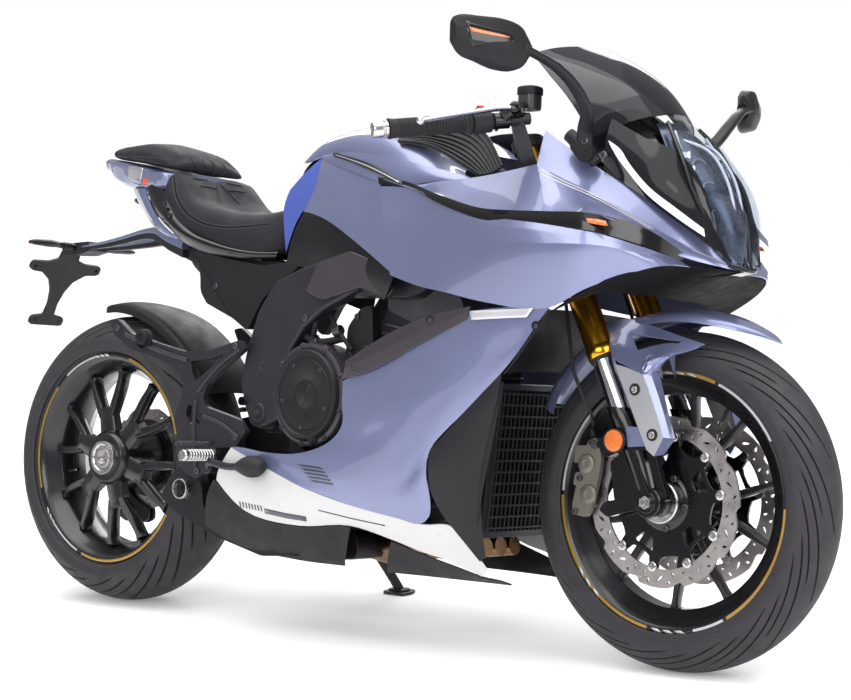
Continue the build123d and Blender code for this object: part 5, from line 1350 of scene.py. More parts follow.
# ---- lower side fairing
LOW_TOP = net(
    [(343, 381, -226), (352, 376, -228), (372, 366, -232), (405, 348, -240), (440, 330, -247), (470, 312, -252), (510, 307, -257), (549, 306, -262)],
    [(342, 400, -225), (354, 396, -228), (374, 388, -233), (406, 372, -241), (442, 352, -248), (474, 333, -253), (508, 325, -256), (537, 323, -258)],
    [(342, 424, -224), (355, 421, -228), (376, 414, -234), (404, 402, -241), (437, 385, -247), (472, 362, -250), (500, 352, -250), (519, 350, -252)],
    [(330, 441, -220), (352, 440, -226), (374, 434, -231), (398, 426, -238), (426, 414, -242), (452, 398, -245), (478, 384, -245), (501, 373, -245)],
    [(300, 453, -217), (336, 458, -222), (366, 456, -228), (390, 452, -233), (412, 444, -236), (432, 434, -238), (448, 424, -238), (464, 412, -238)],
    [(262, 452, -212), (316, 474, -218), (352, 480, -222), (378, 482, -225), (398, 480, -228), (410, 473, -230), (420, 464, -232), (430, 450, -232)],
    [(238, 447, -208), (290, 476, -214), (336, 490, -217), (366, 500, -217), (392, 508, -217), (408, 506, -222), (418, 496, -226), (426, 474, -228)],
    [(231, 447, -206), (270, 476, -212), (314, 492, -214), (356, 507, -210), (396, 518, -206), (420, 524, -202), (430, 512, -210), (428, 486, -222)],
)


def lower():
    return [(patch(LOW_TOP, 5, 5), 0)]


sides(lower, "fairing_lower", "paint_lilac", ["paint"], {"right": "lower_fairing_right", "left": "lower_fairing_left"}, solid=3.2, core=(200, 0, 400), bevel=0.9, seg=2, limit=22)
LOW_FLANK = net(
    [(428, 486, -221.5), (430, 506, -212), (434, 520, -202), (452, 527, -193)],
    [(440, 500, -214), (446, 516, -204), (452, 530, -194), (464, 540, -184)],
    [(462, 528, -193), (466, 536, -186), (470, 546, -178), (476, 554, -168)],
)
WHITE = net(
    [(231, 447, -206), (262, 466, -212), (312, 491.5, -214), (356, 507, -210), (396, 518, -206), (424, 525, -201), (452, 527, -193), (470, 548, -172), (487, 569, -150)],
    [(224, 458, -203), (256, 484, -211), (306, 505, -210), (352, 516, -204), (394, 527, -196), (424, 534, -189), (448, 539, -181), (466, 555, -164), (486, 572, -146)],
    [(218, 470, -199), (250, 500, -205), (302, 518, -203), (350, 524, -195), (392, 535, -185), (424, 545, -176), (446, 550, -170), (464, 562, -157), (484, 575, -142)],
    [(216, 480, -197), (245, 511, -196), (300, 526, -192), (350, 526, -188), (392, 540, -176), (424, 553, -166), (446, 560, -160), (464, 568, -151), (482, 577, -138)],
)
sides(lambda: [(patch(WHITE, 5, 5), 0)], "belly_white", "paint_lilac", ["paint_white"], solid=3.0, core=(100, 0, 320), bevel=0.8, seg=2, limit=24)
# tongue of the lilac panel in front of the white one, down to its point
TONGUE = net(
    [(501, 373, -245.5), (498, 396, -240), (492, 420, -232), (486, 446, -224), (482, 470, -214), (481, 500, -200), (482, 530, -180), (486, 558, -158)],
    [(464, 412, -238.5), (462, 430, -236), (460, 448, -232), (459, 466, -226), (462, 486, -216), (466, 510, -202), (472, 534, -184), (482, 560, -160)],
    [(430, 450, -232.5), (428, 464, -231), (428, 476, -228), (430, 490, -222), (436, 504, -212), (446, 520, -200), (462, 540, -184), (480, 562, -162)],
)
sides(lambda: [(patch(TONGUE, 5, 5), 0)], "fairing_tongue", "plastic_black", ["plastic_fine"], solid=3.0, core=(200, 0, 400), bevel=0.8, seg=2, limit=24)

# black belly under the white, round to the middle
BELLY = net(
    [(213, 480, -194), (246, 512, -194), (300, 527, -190), (350, 527, -186), (392, 541, -174), (424, 554, -164), (464, 569, -149), (486, 578, -136)],
    [(206, 500, -188), (240, 530, -180), (299, 546, -166), (345, 556, -155), (388, 560, -150), (426, 566, -142), (464, 574, -136), (500, 580, -124)],
    [(205, 525, -176), (236, 544, -158), (298, 560, -140), (345, 566, -130), (388, 571, -125), (428, 575, -118), (466, 579, -112), (512, 584, -100)],
)


def belly():
    A = cut_patch(BELLY, 5, 5, cuts=[(0, 2, 3, 4)])
    return [(A, 0)]


sides(belly, "belly_black", "plastic_black", ["plastic"], solid=3.0, core=(60, 0, 300), bevel=0.8, seg=2, limit=24)

# flat decal through seen points; not called
def decal(polys, y):
    out = []
    for poly in polys:
        pts_ = [px(u, v, y(u, v) if callable(y) else y) for u, v in poly]
        out.append((pts_, [tuple(range(len(pts_)))]))
    return join(*out)


# black band with a fine light line on the tank's ridge, and the silver band at the hem
TANK_LINE = net([(334, 153.5, -116), (352, 158, -140), (372, 165, -160), (402, 181.5, -181)], [(334, 157, -119), (352, 163.5, -143), (372, 172, -164), (403, 186.5, -185)])
sides(lambda: [(patch([[tuple(np.array(q) + np.array([0, -2.2, 1.5])) for q in r_] for r_ in TANK_LINE], 3, 7), 0)], "tank_band", "plastic_gloss", ["gloss_black"], solid=1.0, core=(60, 0, 850))
TL2 = net([(336, 155.8, -118), (352, 160.6, -142), (371, 167.8, -162), (400, 183, -183)], [(336, 156.7, -119), (352, 161.8, -143), (371, 169.2, -163), (400, 184.2, -184)])
sides(lambda: [(patch([[tuple(np.array(q) + np.array([0, -4.2, 2.6])) for q in r_] for r_ in TL2], 2, 7), 0)], "tank_line", "plastic_gloss", ["paint_silver"], solid=0.6, core=(60, 0, 850))
HEM = net([(470, 311, -253.6), (490, 310, -256), (512, 309, -258), (534, 308, -262)], [(472, 320, -255), (491, 319, -257), (511, 318, -259), (527, 317.5, -261)])
sides(lambda: [(patch([[tuple(np.array(q) + np.array([0, -2.0, 0])) for q in r_] for r_ in HEM], 3, 5), 0)], "hem_band", "paint_lilac", ["rim_silver"], solid=1.0, core=(300, 0, 500))

# ---- dark strap from the lower fairing up to the upper one, with its screw
STRAP = net(
    [(345, 361, -236), (372, 343, -241), (420, 319, -248), (470, 306, -254)],
    [(344, 369, -239), (370, 355, -244), (421, 331, -250), (468, 311, -256)],
    [(342, 379, -236), (366, 372, -241), (420, 344, -248), (466, 320, -254)],
)
sides(lambda: [(patch(STRAP, 5, 7, bu=(1,)), 0)], "strap", "engine_grey", ["bronze_grey"], solid=4.0, core=(240, -100, 480), bevel=1.2, seg=2, limit=16)


def strap_screw():
    c = px(355, 367, -240)
    return [(lathe([(-2, 9), (1.0, 9), (1.6, 8.2), (0.6, 7.6), (-1.5, 7.2), (-1.5, .1)], c, (0, -1, 0.1), 32), 1), (bolt((c[0], c[1] - .2, c[2]), (0, -1, 0), 5.4, 2.2), 0)]


sides(strap_screw, "strap_screw", "steel_dark", ["steel_dark", "bronze_grey"], bevel=0.3)

# ------------------------------------------- marks and small parts on the lower fairing
from mathutils.bvhtree import BVHTree as Tree


def laid(ob, rows, lift=0.4, k=4):
    """Thin sheet laid on the seen side of a piece through rows of (u, v)."""
    bpy.context.view_layer.update()
    t = Tree.FromObject(ob, bpy.context.evaluated_depsgraph_get())
    R = [smooth_line([(u, v, 0.0) for u, v in row], k, breaks=tuple(range(1, len(row) - 1))) for row in rows]
    out = []
    for i in range(len(R) - 1):
        for r_ in range(k):
            f = r_ / k
            out.append([(a[0] * (1 - f) + b[0] * f, a[1] * (1 - f) + b[1] * f) for a, b in zip(R[i], R[i + 1])])
    out.append([(a[0], a[1]) for a in R[-1]])
    o = Vector(world([EYE])[0])
    P, n, m = [], len(out), len(out[0])
    for row in out:
        for u, v in row:
            d = Vector(TURN @ ray(u, v)).normalized()
            h, nn, i, dist = t.ray_cast(o, d)
            if h is None:
                return None
            if nn.dot(d) > 0:
                nn = -nn
            h = h + nn * (lift / 1000.0)
            P.append(tuple((np.array(h) * 1000.0 - SHIFT) @ TURN))
    return P, cross_grid(n, m)


low_r, white_r = ALL["fairing_lower_right"], ALL["belly_white_right"]
marks = {"right": Piece(), "left": Piece()}


def mark(ob, rows, m):
    g_ = laid(ob, rows)
    if g_ is not None:
        marks["right"].add(g_, m)
        marks["left"].add(mirror(g_), m)


# plain slanted bars, growing towards the front
for k in range(5):
    v0, v1 = 464 + 3.9 * k, 466.4 + 3.9 * k
    u0, u1 = 297 + 3.2 * k, 322 + 2.6 * k
    mark(low_r, [[(u0, v0), ((u0 + u1) / 2, v0 + 1.6), (u1, v0 + 3.4)], [(u0 + 1.6, v1), ((u0 + u1) / 2 + 1.2, v1 + 1.6), (u1 + 1.4, v1 + 3.4)]], 0)
# hatch strip and black bar on the white panel
for k in range(9):
    a = 236 + 3.0 * k
    mark(white_r, [[(a, 500.6 + .62 * k), (a + 1.4, 501 + .62 * k)], [(a + 1.2, 506.2 + .62 * k), (a + 2.6, 506.6 + .62 * k)]], 0)
mark(white_r, [[(264, 508.2), (285, 513), (306, 516.4)], [(265, 513.4), (286, 518.2), (307, 521.6)]], 0)
mark(white_r, [[(318, 509.5), (350, 517.5), (385, 525)], [(318, 510.7), (350, 518.7), (385, 526.2)]], 0)
for side in ("right", "left"):
    if marks[side].v:
        marks[side].make("fairing_marks_" + side, "chassis", "paint_lilac", ["stripe_dark"], solid=0.2, core=(200, 0, 400), angle=60)
# dimples with their screws
c1, c2 = px(417, 508, -209), px(254, 431, -208)
for s, side in ((-1, "right"), (1, "left")):
    p = Piece()
    for c in (px(417, 507, -210), px(430, 320, -250), px(536, 326, -259)):
        q = (c[0], s * (abs(c[1]) + 1.0), c[2])
        p.add(lathe([(-3, 8.5), (0.6, 8.5), (1.2, 7.8), (0.2, 6.6), (-1.2, 6.0), (-1.2, .1)], q, (0.05, s, -0.1), 28), 0)
        p.add(bolt((q[0], q[1] - s * .8, q[2]), (0.05, s, -0.1), 4.4, 2), 1)
    p.make("fairing_screws_" + side, "chassis", "steel_dark", ["plastic", "steel_dark"], bevel=0.3)

# ==================================================== frame, engine, rear end
def xz(L, y):
    """Outline seen from the side through photo points on plane y."""
    out = []
    for u, v in L:
        a = px(u, v, y)
        out.append((a[0], a[2]))
    return out


def two(outline, y0, y1, r=0.0, holes=()):
    """The same plate on the right and on the left."""
    return join(plate(outline, -y0, -y1, holes, r), plate(outline, y0, y1, holes, r))


CAST = [(300, 268), (330, 258), (352, 261), (366, 272), (362, 288), (345, 298), (322, 311), (303, 329), (291, 350), (286, 376), (286, 402), (281, 419), (263, 429), (250, 426),
        (243, 402), (240, 380), (246, 350), (258, 310), (275, 281)]
cast = rounded(xz(CAST, -168), 10)
cx0 = sum(a for a, b in cast) / len(cast)
for s, side in ((-1, "right"), (1, "left")):
    y1 = 170 if s < 0 else 178.5
    y0 = 132 if s < 0 else 158
    p = Piece()
    p.add(plate(cast, s * y0, s * y1), 0)
    # outline of an inner face, worked out but not added to the piece
    inner = [(cx0 + (a - cx0) * 0.80 - 6, 560 + (b - 560) * 0.86) for a, b in cast]
    p.make("casting_" + side, "chassis", "frame_black", ["frame_paint"], "frame_" + side, bevel=9.0, seg=4, limit=32)
    p = Piece()
    pv = px(257, 413, -172)
    p.add(lathe([(y1 - 4, 21), (y1 + 1, 21), (y1 + 3, 19), (y1 + 3, 14), (y1 + 1, 13), (y1 + 1, 9), (y1 + 4, 8), (y1 + 4, 4), (y1 + 2, .1)], (pv[0], 0, pv[2]), (0, s, 0), 32), 0)
    b1 = px(307, 319, -168)
    p.add(bolt((b1[0] - 3, s * (y1 - 1), b1[2] + 2), (0, s, 0), 7, 4), 1)
    b2 = px(352, 276, -168)
    p.add(bolt((b2[0] - 3, s * (y1 - 1), b2[2]), (0, s, 0), 7, 4), 1)
    b3 = px(262, 366, -172)
    p.add(lathe([(y1 - 3, 9), (y1 + .8, 9), (y1 + 1.4, 7.6), (y1 + .2, 6), (y1 + .2, .1)], (b3[0], 0, b3[2]), (0, s, 0), 24), 0)
    p.make("casting_bolts_" + side, "chassis", "steel_dark", ["frame_paint", "steel_dark"], bevel=0.5)
    # beam forward to the steering head
    p = Piece()
    secs = []
    for x, ya, yb, za, zb in ((372, 38, 62, 842, 762), (300, 62, 100, 812, 726), (220, 92, 138, 742, 656), (120, 112, 150, 730, 655), (20, 126, y1 - 6, 722, 656)):
        secs.append([(x, s * ya, za), (x + 4, s * (ya + yb) / 2, za + 3), (x, s * yb, za - 4), (x - 8, s * (yb + 3), (za + zb) / 2), (x - 14, s * yb, zb + 4), (x - 12, s * (ya + yb) / 2, zb), (x - 10, s * ya, zb + 3)])
    p.add(loft(secs, k=4), 0)
    p.make("beam_" + side, "chassis", "frame_black", ["frame_paint"], bevel=2.5, seg=3, limit=28)
    # panel over the front of the casting
    p = Piece()
    pan = xz([(318, 263), (350, 251), (378, 262), (394, 290), (388, 298), (362, 287), (340, 294), (322, 300), (306, 291)], -180)
    p.add(plate(pan, s * 171, s * 182, r=8), 0)
    p.make("panel_beam_" + side, "chassis", "engine_grey", ["bronze_grey"], bevel=3.5, seg=3, limit=30)

# ---- engine: crankcase, cylinders, head, sump
p = Piece()
p.add(plate([(-122, 430), (-104, 498), (60, 516), (150, 520), (250, 470), (300, 400), (280, 300), (240, 262), (-85, 256), (-122, 300)], -124, 124, r=18), 0)
p.add(plate([(60, 506), (110, 640), (200, 640), (282, 590), (262, 470), (150, 440)], -112, 112, r=14), 0)
p.add(plate([(112, 634), (120, 690), (270, 690), (300, 640), (285, 585), (200, 600)], -116, 116, r=12), 1)
p.add(plate([(-60, 260), (-40, 228), (170, 228), (210, 262)], -84, 84, r=10), 0)
for k in range(6):
    z = 520 + 17 * k
    p.add(plate([(70 + 7 * k, z), (74 + 7 * k, z + 5), (276 - 2 * k, z - 30 + 5), (274 - 2 * k, z - 30)], -116, 116), 1)
for k in range(7):
    x = -40 + 30 * k
    p.add(plate([(x, 224), (x + 8, 224), (x + 8, 262), (x, 262)], -92, 92), 0)
p.make("engine_block", "chassis", "engine_grey", ["engine_paint", "steel_dark"], "engine", bevel=3.5, seg=2, limit=32)

YAW = math.radians(10)
for s, side in ((-1, "right"), (1, "left")):
    c = np.array(px(303.7, 394.5, -192))
    c[1] = s * 190.0
    ax = (-math.sin(YAW) * 0.5, s * math.cos(YAW), 0)
    p = Piece()
    p.add(lathe([(-66, 100), (-30, 101), (-14, 101), (-9, 99), (-7, 95), (-7, 90)], c, ax, 72), 1)
    p.add(lathe([(-20, 89), (-2, 88.5), (2, 85), (2.6, 80), (0.5, 77.5), (-1.5, 76), (-1.5, 70), (0.6, 68), (1.2, 60), (-0.5, 34), (-2.5, 31), (-2.5, 26), (-1, 24), (-0.5, .1)], c, ax, 72), 0)
    a_, b_, c_ = frame_of(ax)
    for k in range(9):
        t = math.radians(40 * k + 12)
        q = c + a_ * 95.5 * math.cos(t) + b_ * 95.5 * math.sin(t) - c_ * 8
        p.add(lathe([(-8, 7.5), (-1, 7.5), (0, 6.5), (0, .1)], q, ax, 16), 1)
        p.add(bolt(q, c_, 4.6, 4), 2)
    for k in range(5):
        t = math.radians(72 * k + 30)
        q = c + a_ * 64 * math.cos(t) + b_ * 64 * math.sin(t) + c_ * 0.4
        p.add(bolt(q, c_, 3.4, 2.2), 2)
    # filler plug low on the cover
    q = c + np.array([22, 0, -84]) - c_ * 4
    p.add(lathe([(-16, 13), (3, 13), (5, 11.5), (5, 9), (8, 8.5), (8, 3), (9, .1)], q, ax, 6), 0)
    p.make("clutch_cover_" + side, "chassis", "cover_black", ["cover_paint" if "cover_paint" in MATS else "engine_paint", "bronze_grey", "steel_dark"], "engine_covers" if s < 0 else (), bevel=0.9, seg=2, limit=40)
    # smaller covers, sender, hoses and clips between the casting and the fairing
    p = Piece()
    p.add(lathe([(-40, 46), (-4, 46), (0, 42), (1.5, 36), (-1, 33), (-1, .1)], (120, s * 150, 400), (0, s, 0), 48), 0)
    p.add(plate([(-100, 300), (-100, 380), (-40, 350), (70, 330), (150, 350), (160, 290), (60, 262), (-70, 262)], s * 122, s * 150, r=18), 0)
    p.add(plate([(30, 520), (34, 600), (70, 640), (96, 640), (100, 560), (80, 512)], s * 116, s * 140, r=12), 0)
    p.make("engine_sides_" + side, "chassis", "engine_grey", ["engine_paint"], bevel=4.0, seg=3, limit=32)
    p = Piece()
    for a, b, c3, rad in ((px(300, 330, -140), px(318, 342, -150), px(344, 338, -140), 7.5), (px(296, 352, -140), px(316, 362, -158), px(340, 352, -150), 5.5), (px(330, 312, -130), px(338, 330, -150), px(352, 350, -150), 4.5),
                          (px(310, 300, -130), px(316, 318, -150), px(312, 340, -140), 6.0)):
        pts_ = [(q[0], s * abs(q[1]), q[2]) for q in (a, b, c3)]
        p.add(sweep(pts_, rad, 14, 8), 0)
    for (u, v) in ((316, 343), (338, 331)):
        q = px(u, v, -152)
        p.add(lathe([(-9, 9.5), (-8, 10.5), (8, 10.5), (9, 9.5)], (q[0], s * abs(q[1]), q[2]), (1, 0, .3), 20), 1)
    p.make("engine_hoses_" + side, "chassis", "grip_black", ["rubber", "steel_dark"], bevel=0.6)
    p = Piece()
    for q in ((-60, 152, 300), (20, 152, 282), (110, 152, 300), (140, 152, 330), (60, 141, 620), (44, 141, 545), (84, 141, 560)):
        p.add(bolt((q[0], s * (q[1] - 2), q[2]), (0, s, 0), 6, 5), 0)
    p.make("engine_bolts_" + side, "chassis", "steel_dark", ["steel_dark"], bevel=0.4)

# ---- radiator with its core and guard
def lerp(a, b, t):
    return tuple(x + (y - x) * t for x, y in zip(a, b))


p = Piece()
LO, HI = (352, 222), (378, 496)      # x, z of the foot and the top of the core
W = 146
dx, dz = HI[0] - LO[0], HI[1] - LO[1]
ln = math.hypot(dx, dz)
ud, nd = np.array([dx, 0, dz]) / ln, np.array([dz, 0, -dx]) / ln
o = np.array([LO[0], 0, LO[1]])
# core block and fins take the near-black material: black core with painted shade between the fins
p.add(slab([(-W + 20, 0), (W - 20, 0), (W - 6, ln), (-W + 6, ln)], o + nd * 0, (0, 1, 0), ud, nd, 3, 20), 1)
for k in range(28):
    h = 6 + k * (ln - 12) / 28
    p.add(slab([(-W + 22, h), (W - 22, h), (W - 22, h + 3.2), (-W + 22, h + 3.2)], o, (0, 1, 0), ud, nd, 1.2, 22.5), 1)
p.add(slab([(-W, 0), (-W + 24, 0), (-W + 24, ln), (-W, ln)], o, (0, 1, 0), ud, nd, -3, 26), 0)
p.add(slab([(W - 24, 0), (W, 0), (W, ln), (W - 24, ln)], o, (0, 1, 0), ud, nd, -3, 26), 0)
p.add(slab([(-W + 8, -4), (W - 8, -4), (W - 8, 8), (-W + 8, 8)], o, (0, 1, 0), ud, nd, -2, 25), 0)
p.add(slab([(-W + 8, ln - 8), (W - 8, ln - 8), (W - 8, ln + 3), (-W + 8, ln + 3)], o, (0, 1, 0), ud, nd, -2, 25), 0)
p.make("radiator_core", "chassis", "radiator_black", ["plastic_fine", "painted_shade_black"], "radiator", bevel=1.2, seg=2, limit=40)
p = Piece()
for k in range(13):
    h = 14 + k * (ln - 28) / 12
    p.add(slab([(-W + 12, h - 1.8), (W - 12, h - 1.8), (W - 12, h + 1.8), (-W + 12, h + 1.8)], o, (0, 1, 0), ud, nd, 24.5, 28), 0)
for k in range(21):
    y = -W + 14 + k * (2 * W - 28) / 20
    p.add(slab([(y - 1.6, 8), (y + 1.6, 8), (y + 1.6, ln - 8), (y - 1.6, ln - 8)], o, (0, 1, 0), ud, nd, 25, 27.6), 0)
p.make("radiator_guard", "chassis", "radiator_black", ["plastic"], bevel=0.5, seg=1, limit=40)

# inner duct walls beside the radiator
sides(lambda: [(patch([[(486, -240, 500), (420, -214, 500), (384, -152, 496)], [(462, -232, 400), (410, -208, 400), (372, -150, 400)], [(420, -206, 290), (392, -190, 290), (362, -148, 290)], [(390, -176, 214), (376, -166, 214), (352, -140, 222)]], 5, 5), 0)],
      "duct_wall", "plastic_black", ["plastic"], solid=2.5, core=(500, 0, 350), bevel=0.6)
sides(lambda: [(patch([[px(549, 308, -256), (534, -205, 622), (490, -125, 632), (486, 0, 636)], [px(520, 352, -248), (490, -195, 560), (466, -115, 580), (462, 0, 590)], [px(503, 374, -240), (446, -185, 515), (424, -122, 520), (414, 0, 525)]], 5, 5), 0)],
      "duct_top", "plastic_black", ["plastic"], solid=2.5, core=(480, 0, 300), bevel=0.6)

# ---- exhaust: header pipes, collector and the silencer under the engine
p = Piece()
for y in (-66, -22, 22, 66):
    p.add(sweep([(300, y, 190), (250, y, 184), (190, y, 182), (120, y * .8, 180), (64, y * .55, 180)], 18.6, 24, 5), 0)
    p.add(lathe([(-4, 19), (-4, 22.5), (4, 22.5), (4, 19)], (196, y, 182), (1, 0, 0), 32), 1)
p.add(sweep([(74, 0, 180), (30, 0, 180), (-20, 0, 182)], [46, 40, 34], 32, 4), 0)
p.make("header_pipes", "chassis", "pipe_bronze", ["exhaust_bronze", "steel_dark"], "exhaust_pipes", bevel=0.5)
p = Piece()
p.add(plate([(55, 205), (58, 152), (20, 148), (-240, 162), (-340, 182), (-380, 215), (-382, 296), (-300, 308), (-210, 298), (-160, 208)], -114, 90, r=22), 0)
p.make("silencer", "chassis", "muffler_black", ["plastic_fine"], "muffler", bevel=9, seg=4, limit=32)
mc = xz([(161, 497), (170, 476), (179, 467), (194, 466), (202, 484), (204, 507), (228, 530), (262, 545), (300, 556), (262, 556), (215, 536), (176, 512)], -150)
p = Piece()
p.add(plate(rounded(mc, 8), -124, -152), 0)
p.make("silencer_cover", "chassis", "muffler_black", ["plastic"], bevel=4.0, seg=3, limit=30)
oc = px(179, 488.5, -176)
p = Piece()
p.add(lathe([(128, 20), (150, 21), (175.4, 21), (176.4, 20.2), (176.4, 18.4), (174, 17.8), (150, 17.4), (146, 15)], (oc[0], 0, oc[2]), (0, -1, 0), 56), 0)
p.add(lathe([(174, 17.9), (146, 17.3), (132, 15), (131, .1)], (oc[0], 0, oc[2]), (0, -1, 0), 56), 1)
p.add(lathe([(140, 21), (140, 24), (146, 24.6), (147, 23.4), (147, 21)], (oc[0], 0, oc[2]), (0, -1, 0), 56), 2)
p.make("outlet", "chassis", "steel", ["steel", "exhaust_bronze", "plastic"], bevel=0.5, limit=45)

# ---- side covers under the seat
sc = xz([(193, 249), (197, 262), (200, 274), (200, 291), (206, 303), (232, 318), (247, 331), (256, 312), (263, 298), (288, 276), (300, 266), (288, 262), (262, 266), (230, 259)], -126)
for s, side in ((-1, "right"), (1, "left")):
    p = Piece()
    p.add(plate(rounded(sc, 10), s * 106, s * 126), 0)
    bb = px(216, 286, -126)
    p.make("side_cover_" + side, "chassis", "plastic_black", ["plastic"], "side_covers" if s < 0 else (), bevel=5.0, seg=3, limit=30)
    p = Piece()
    p.add(bolt((bb[0], s * 125.6, bb[2]), (0, s, 0), 6, 3), 0)
    p.add(plate(rounded([(a * .9 + bb[0] * .1, b * .9 + bb[2] * .1 - 4) for a, b in sc[:6]], 4), s * 125, s * 127.4), 1)
    p.make("side_cover_bolt_" + side, "chassis", "steel_dark", ["steel_dark", "plastic_fine"], bevel=0.8)

# ---- footrest hangers
HNG = [(112, 321), (120, 319), (134, 334), (158, 342.5), (186, 351.5), (210, 351), (242, 340), (247, 349), (228, 366), (210, 384), (205, 397), (208, 407), (240, 419), (248, 431), (238, 447), (216, 448),
       (206, 462), (207, 473), (197, 479), (185, 471), (180, 441), (176, 420), (183, 399), (186, 381), (177, 369), (158, 358), (134, 350), (117, 336)]
WIN = [[(193, 361), (212, 359), (226, 355), (206, 374), (197, 381), (194, 372)], [(190, 405), (197, 405), (204, 414), (202, 424), (192, 424), (188, 414)]]
hg = rounded(xz(HNG, -186), 7)
hw = [rounded(xz(w_, -186), 5) for w_ in WIN]
for s, side in ((-1, "right"), (1, "left")):
    y0 = 178.2 if s < 0 else 179.2
    p = Piece()
    p.add(plate(hg, s * y0, s * (y0 + 14), hw), 0)
    p.make("hanger_" + side, "chassis", "frame_black", ["frame_paint"], "footrest_" + side, bevel=3.2, seg=3, limit=35, weld=0.001)
    p = Piece()
    # ribs along the hanger's arms, pillion lug and its rubber, rider's peg
    for L in ([(126, 334), (158, 350), (188, 360)], [(240, 349), (214, 371), (198, 392)], [(196, 400), (194, 430), (196, 470)], [(204, 416), (226, 427), (238, 438)]):
        pts_ = [px(u, v, -192) for u, v in L]
        p.add(sweep([(q[0], s * (y0 + 14), q[2]) for q in pts_], 4.5, 10, 5), 0)
    q = px(141, 337, -205)
    p.add(lathe([(y0 + 8, 16), (y0 + 12, 17), (y0 + 26, 17), (y0 + 30, 15), (y0 + 30, 9), (y0 + 27, 8), (y0 + 27, .1)], (q[0], 0, q[2]), (0, s, 0), 32), 1)
    p.add(lathe([(y0 + 12, 19), (y0 + 16, 20), (y0 + 20, 20), (y0 + 24, 19)], (q[0], 0, q[2] - 4), (0, s, 0), 32), 0)
    for (u, v) in ((118, 328), (236, 346), (236, 437), (197, 471)):
        b = px(u, v, -192)
        p.add(bolt((b[0], s * (y0 + 13.6), b[2]), (0, s, 0), 6.5, 4), 2)
    h = [(y0 + 12, 14)]
    for k in range(9):
        a = y0 + 26 + k * 7.6
        h += [(a, 12.2), (a + 1.4, 10.6), (a + 4.6, 10.6), (a + 6.0, 12.2)]
    h += [(y0 + 100, 12), (y0 + 103, 10), (y0 + 103, .1)]
    p.add(lathe(h, (-264, 0, 340), (0, s, 0), 24), 3)
    p.add(lathe([(160, 8.8), (y0 + 2, 8.8)], (-205, 0, 450), (0, s, 0), 20), 0)
    p.make("hanger_parts_" + side, "chassis", "frame_black", ["frame_paint", "plastic", "steel_dark", "steel"], bevel=0.8, limit=40)
    # pedal or gear lever with its toe piece
    p = Piece()
    yy = y0 + 36
    a0, a1, a2 = px(206, 463, -yy), px(226, 466.5, -yy - 8), px(240, 467, -yy - 14)
    P3 = [(-276, s * (y0 + 16), 316), (a0[0], s * (yy - 6), a0[2]), (a1[0], s * (yy + 4), a1[2]), (a2[0], s * (yy + 10), a2[2])]
    p.add(sweep(P3, [8, 7, 6.2, 6.2], 16, 6, section=[(1.2 * math.cos(t), .8 * math.sin(t)) for t in np.linspace(0, 2 * math.pi, 14, endpoint=False)]), 0)
    t0, t1 = px(236, 466.5, -yy - 12), px(261, 467, -yy - 22)
    p.add(sweep([(t0[0], s * (yy + 8), t0[2]), (t1[0] - 4, s * (yy + 16), t1[2]), (t1[0], s * (yy + 17), t1[2])], [9.5, 11.5, 8], 18, 4), 1)
    p.add(lathe([(y0 + 14, 13), (y0 + 22, 13), (y0 + 24, 11), (y0 + 24, .1)], (-276, 0, 314), (0, s, 0), 24), 0)
    p.make("foot_lever_" + side, "chassis", "frame_black", ["frame_paint", "rubber"], "foot_levers" if s < 0 else (), bevel=0.8)
    # return spring and its bright clip
    a, b = px(183, 443, -188), px(213, 444, -188)
    hel = []
    for k in range(90):
        t = k / 89
        hel.append((a[0] + (b[0] - a[0]) * t, s * (y0 + 20 + 5 * math.cos(k * .95)), a[2] + (b[2] - a[2]) * t + 5 * math.sin(k * .95)))
    p = Piece()
    p.add(sweep(hel, 1.3, 6, 1), 0)
    q = px(182, 455, -190)
    p.add(plate(rounded([(q[0] - 5, q[2] - 12), (q[0] + 4, q[2] - 12), (q[0] + 9, q[2] + 11), (q[0], q[2] + 12)], 3), s * (y0 + 13.6), s * (y0 + 17)), 1)
    p.make("lever_spring_" + side, "chassis", "steel", ["steel_dark", "steel"], bevel=0.4)

# ---- rear hugger over the wheel
rows = []
for a, hw_, rc_, re_ in ((26, 80, 345, 322), (34, 84, 348, 322), (48, 86, 349, 322), (62, 86, 349, 321), (76, 82, 348, 320), (88, 72, 346, 320), (97, 54, 343, 322), (101, 30, 340, 328)):
    t = math.radians(a)
    rows.append([(RX + r_ * math.cos(t), hw_ * w_, RZ + r_ * math.sin(t)) for w_, r_ in ((-1, re_), (-.94, (re_ + rc_) / 2 + 3), (-.76, rc_ - 5), (-.3, rc_), (.3, rc_), (.76, rc_ - 5), (.94, (re_ + rc_) / 2 + 3), (1, re_))])
p = Piece()
p.add(patch(rows, 6, 4, bv=(2, 5)), 0)
p.make("hugger", "chassis", "plastic_black", ["plastic"], "rear_hugger", solid=3.0, core=(RX, 0, RZ), bevel=1.0, seg=2, limit=22)

# ---- swingarm on the left of the wheel
ARM = [(-132, 466), (-200, 468), (-330, 438), (-520, 404), (-640, 392), (-700, 386), (-768, 360), (-784, 315), (-768, 272), (-715, 248), (-660, 260), (-600, 296), (-330, 330), (-220, 354), (-132, 382)]
win1 = rounded([(-260, 420), (-440, 396), (-420, 350), (-270, 362)], 14)
win2 = rounded([(-470, 392), (-590, 376), (-600, 320), (-460, 344)], 14)
p = Piece()
p.add(plate(rounded(ARM, 22), 102, 144), 0)
p.add(lathe([(62, 40), (62, 64), (68, 67), (146, 67), (148, 64), (148, 28)], (RX, 0, RZ), (0, 1, 0), 56), 0)
p.add(plate(rounded([(-205, 388), (-205, 462), (-134, 462), (-134, 388)], 12), -112, 118), 0)
p.make("swingarm_body", "chassis", "frame_black", ["frame_paint"], "swingarm", bevel=7, seg=3, limit=32)
p = Piece()
for w_ in (win1, win2):
    p.add(plate(w_, 143.5, 145.4), 1)
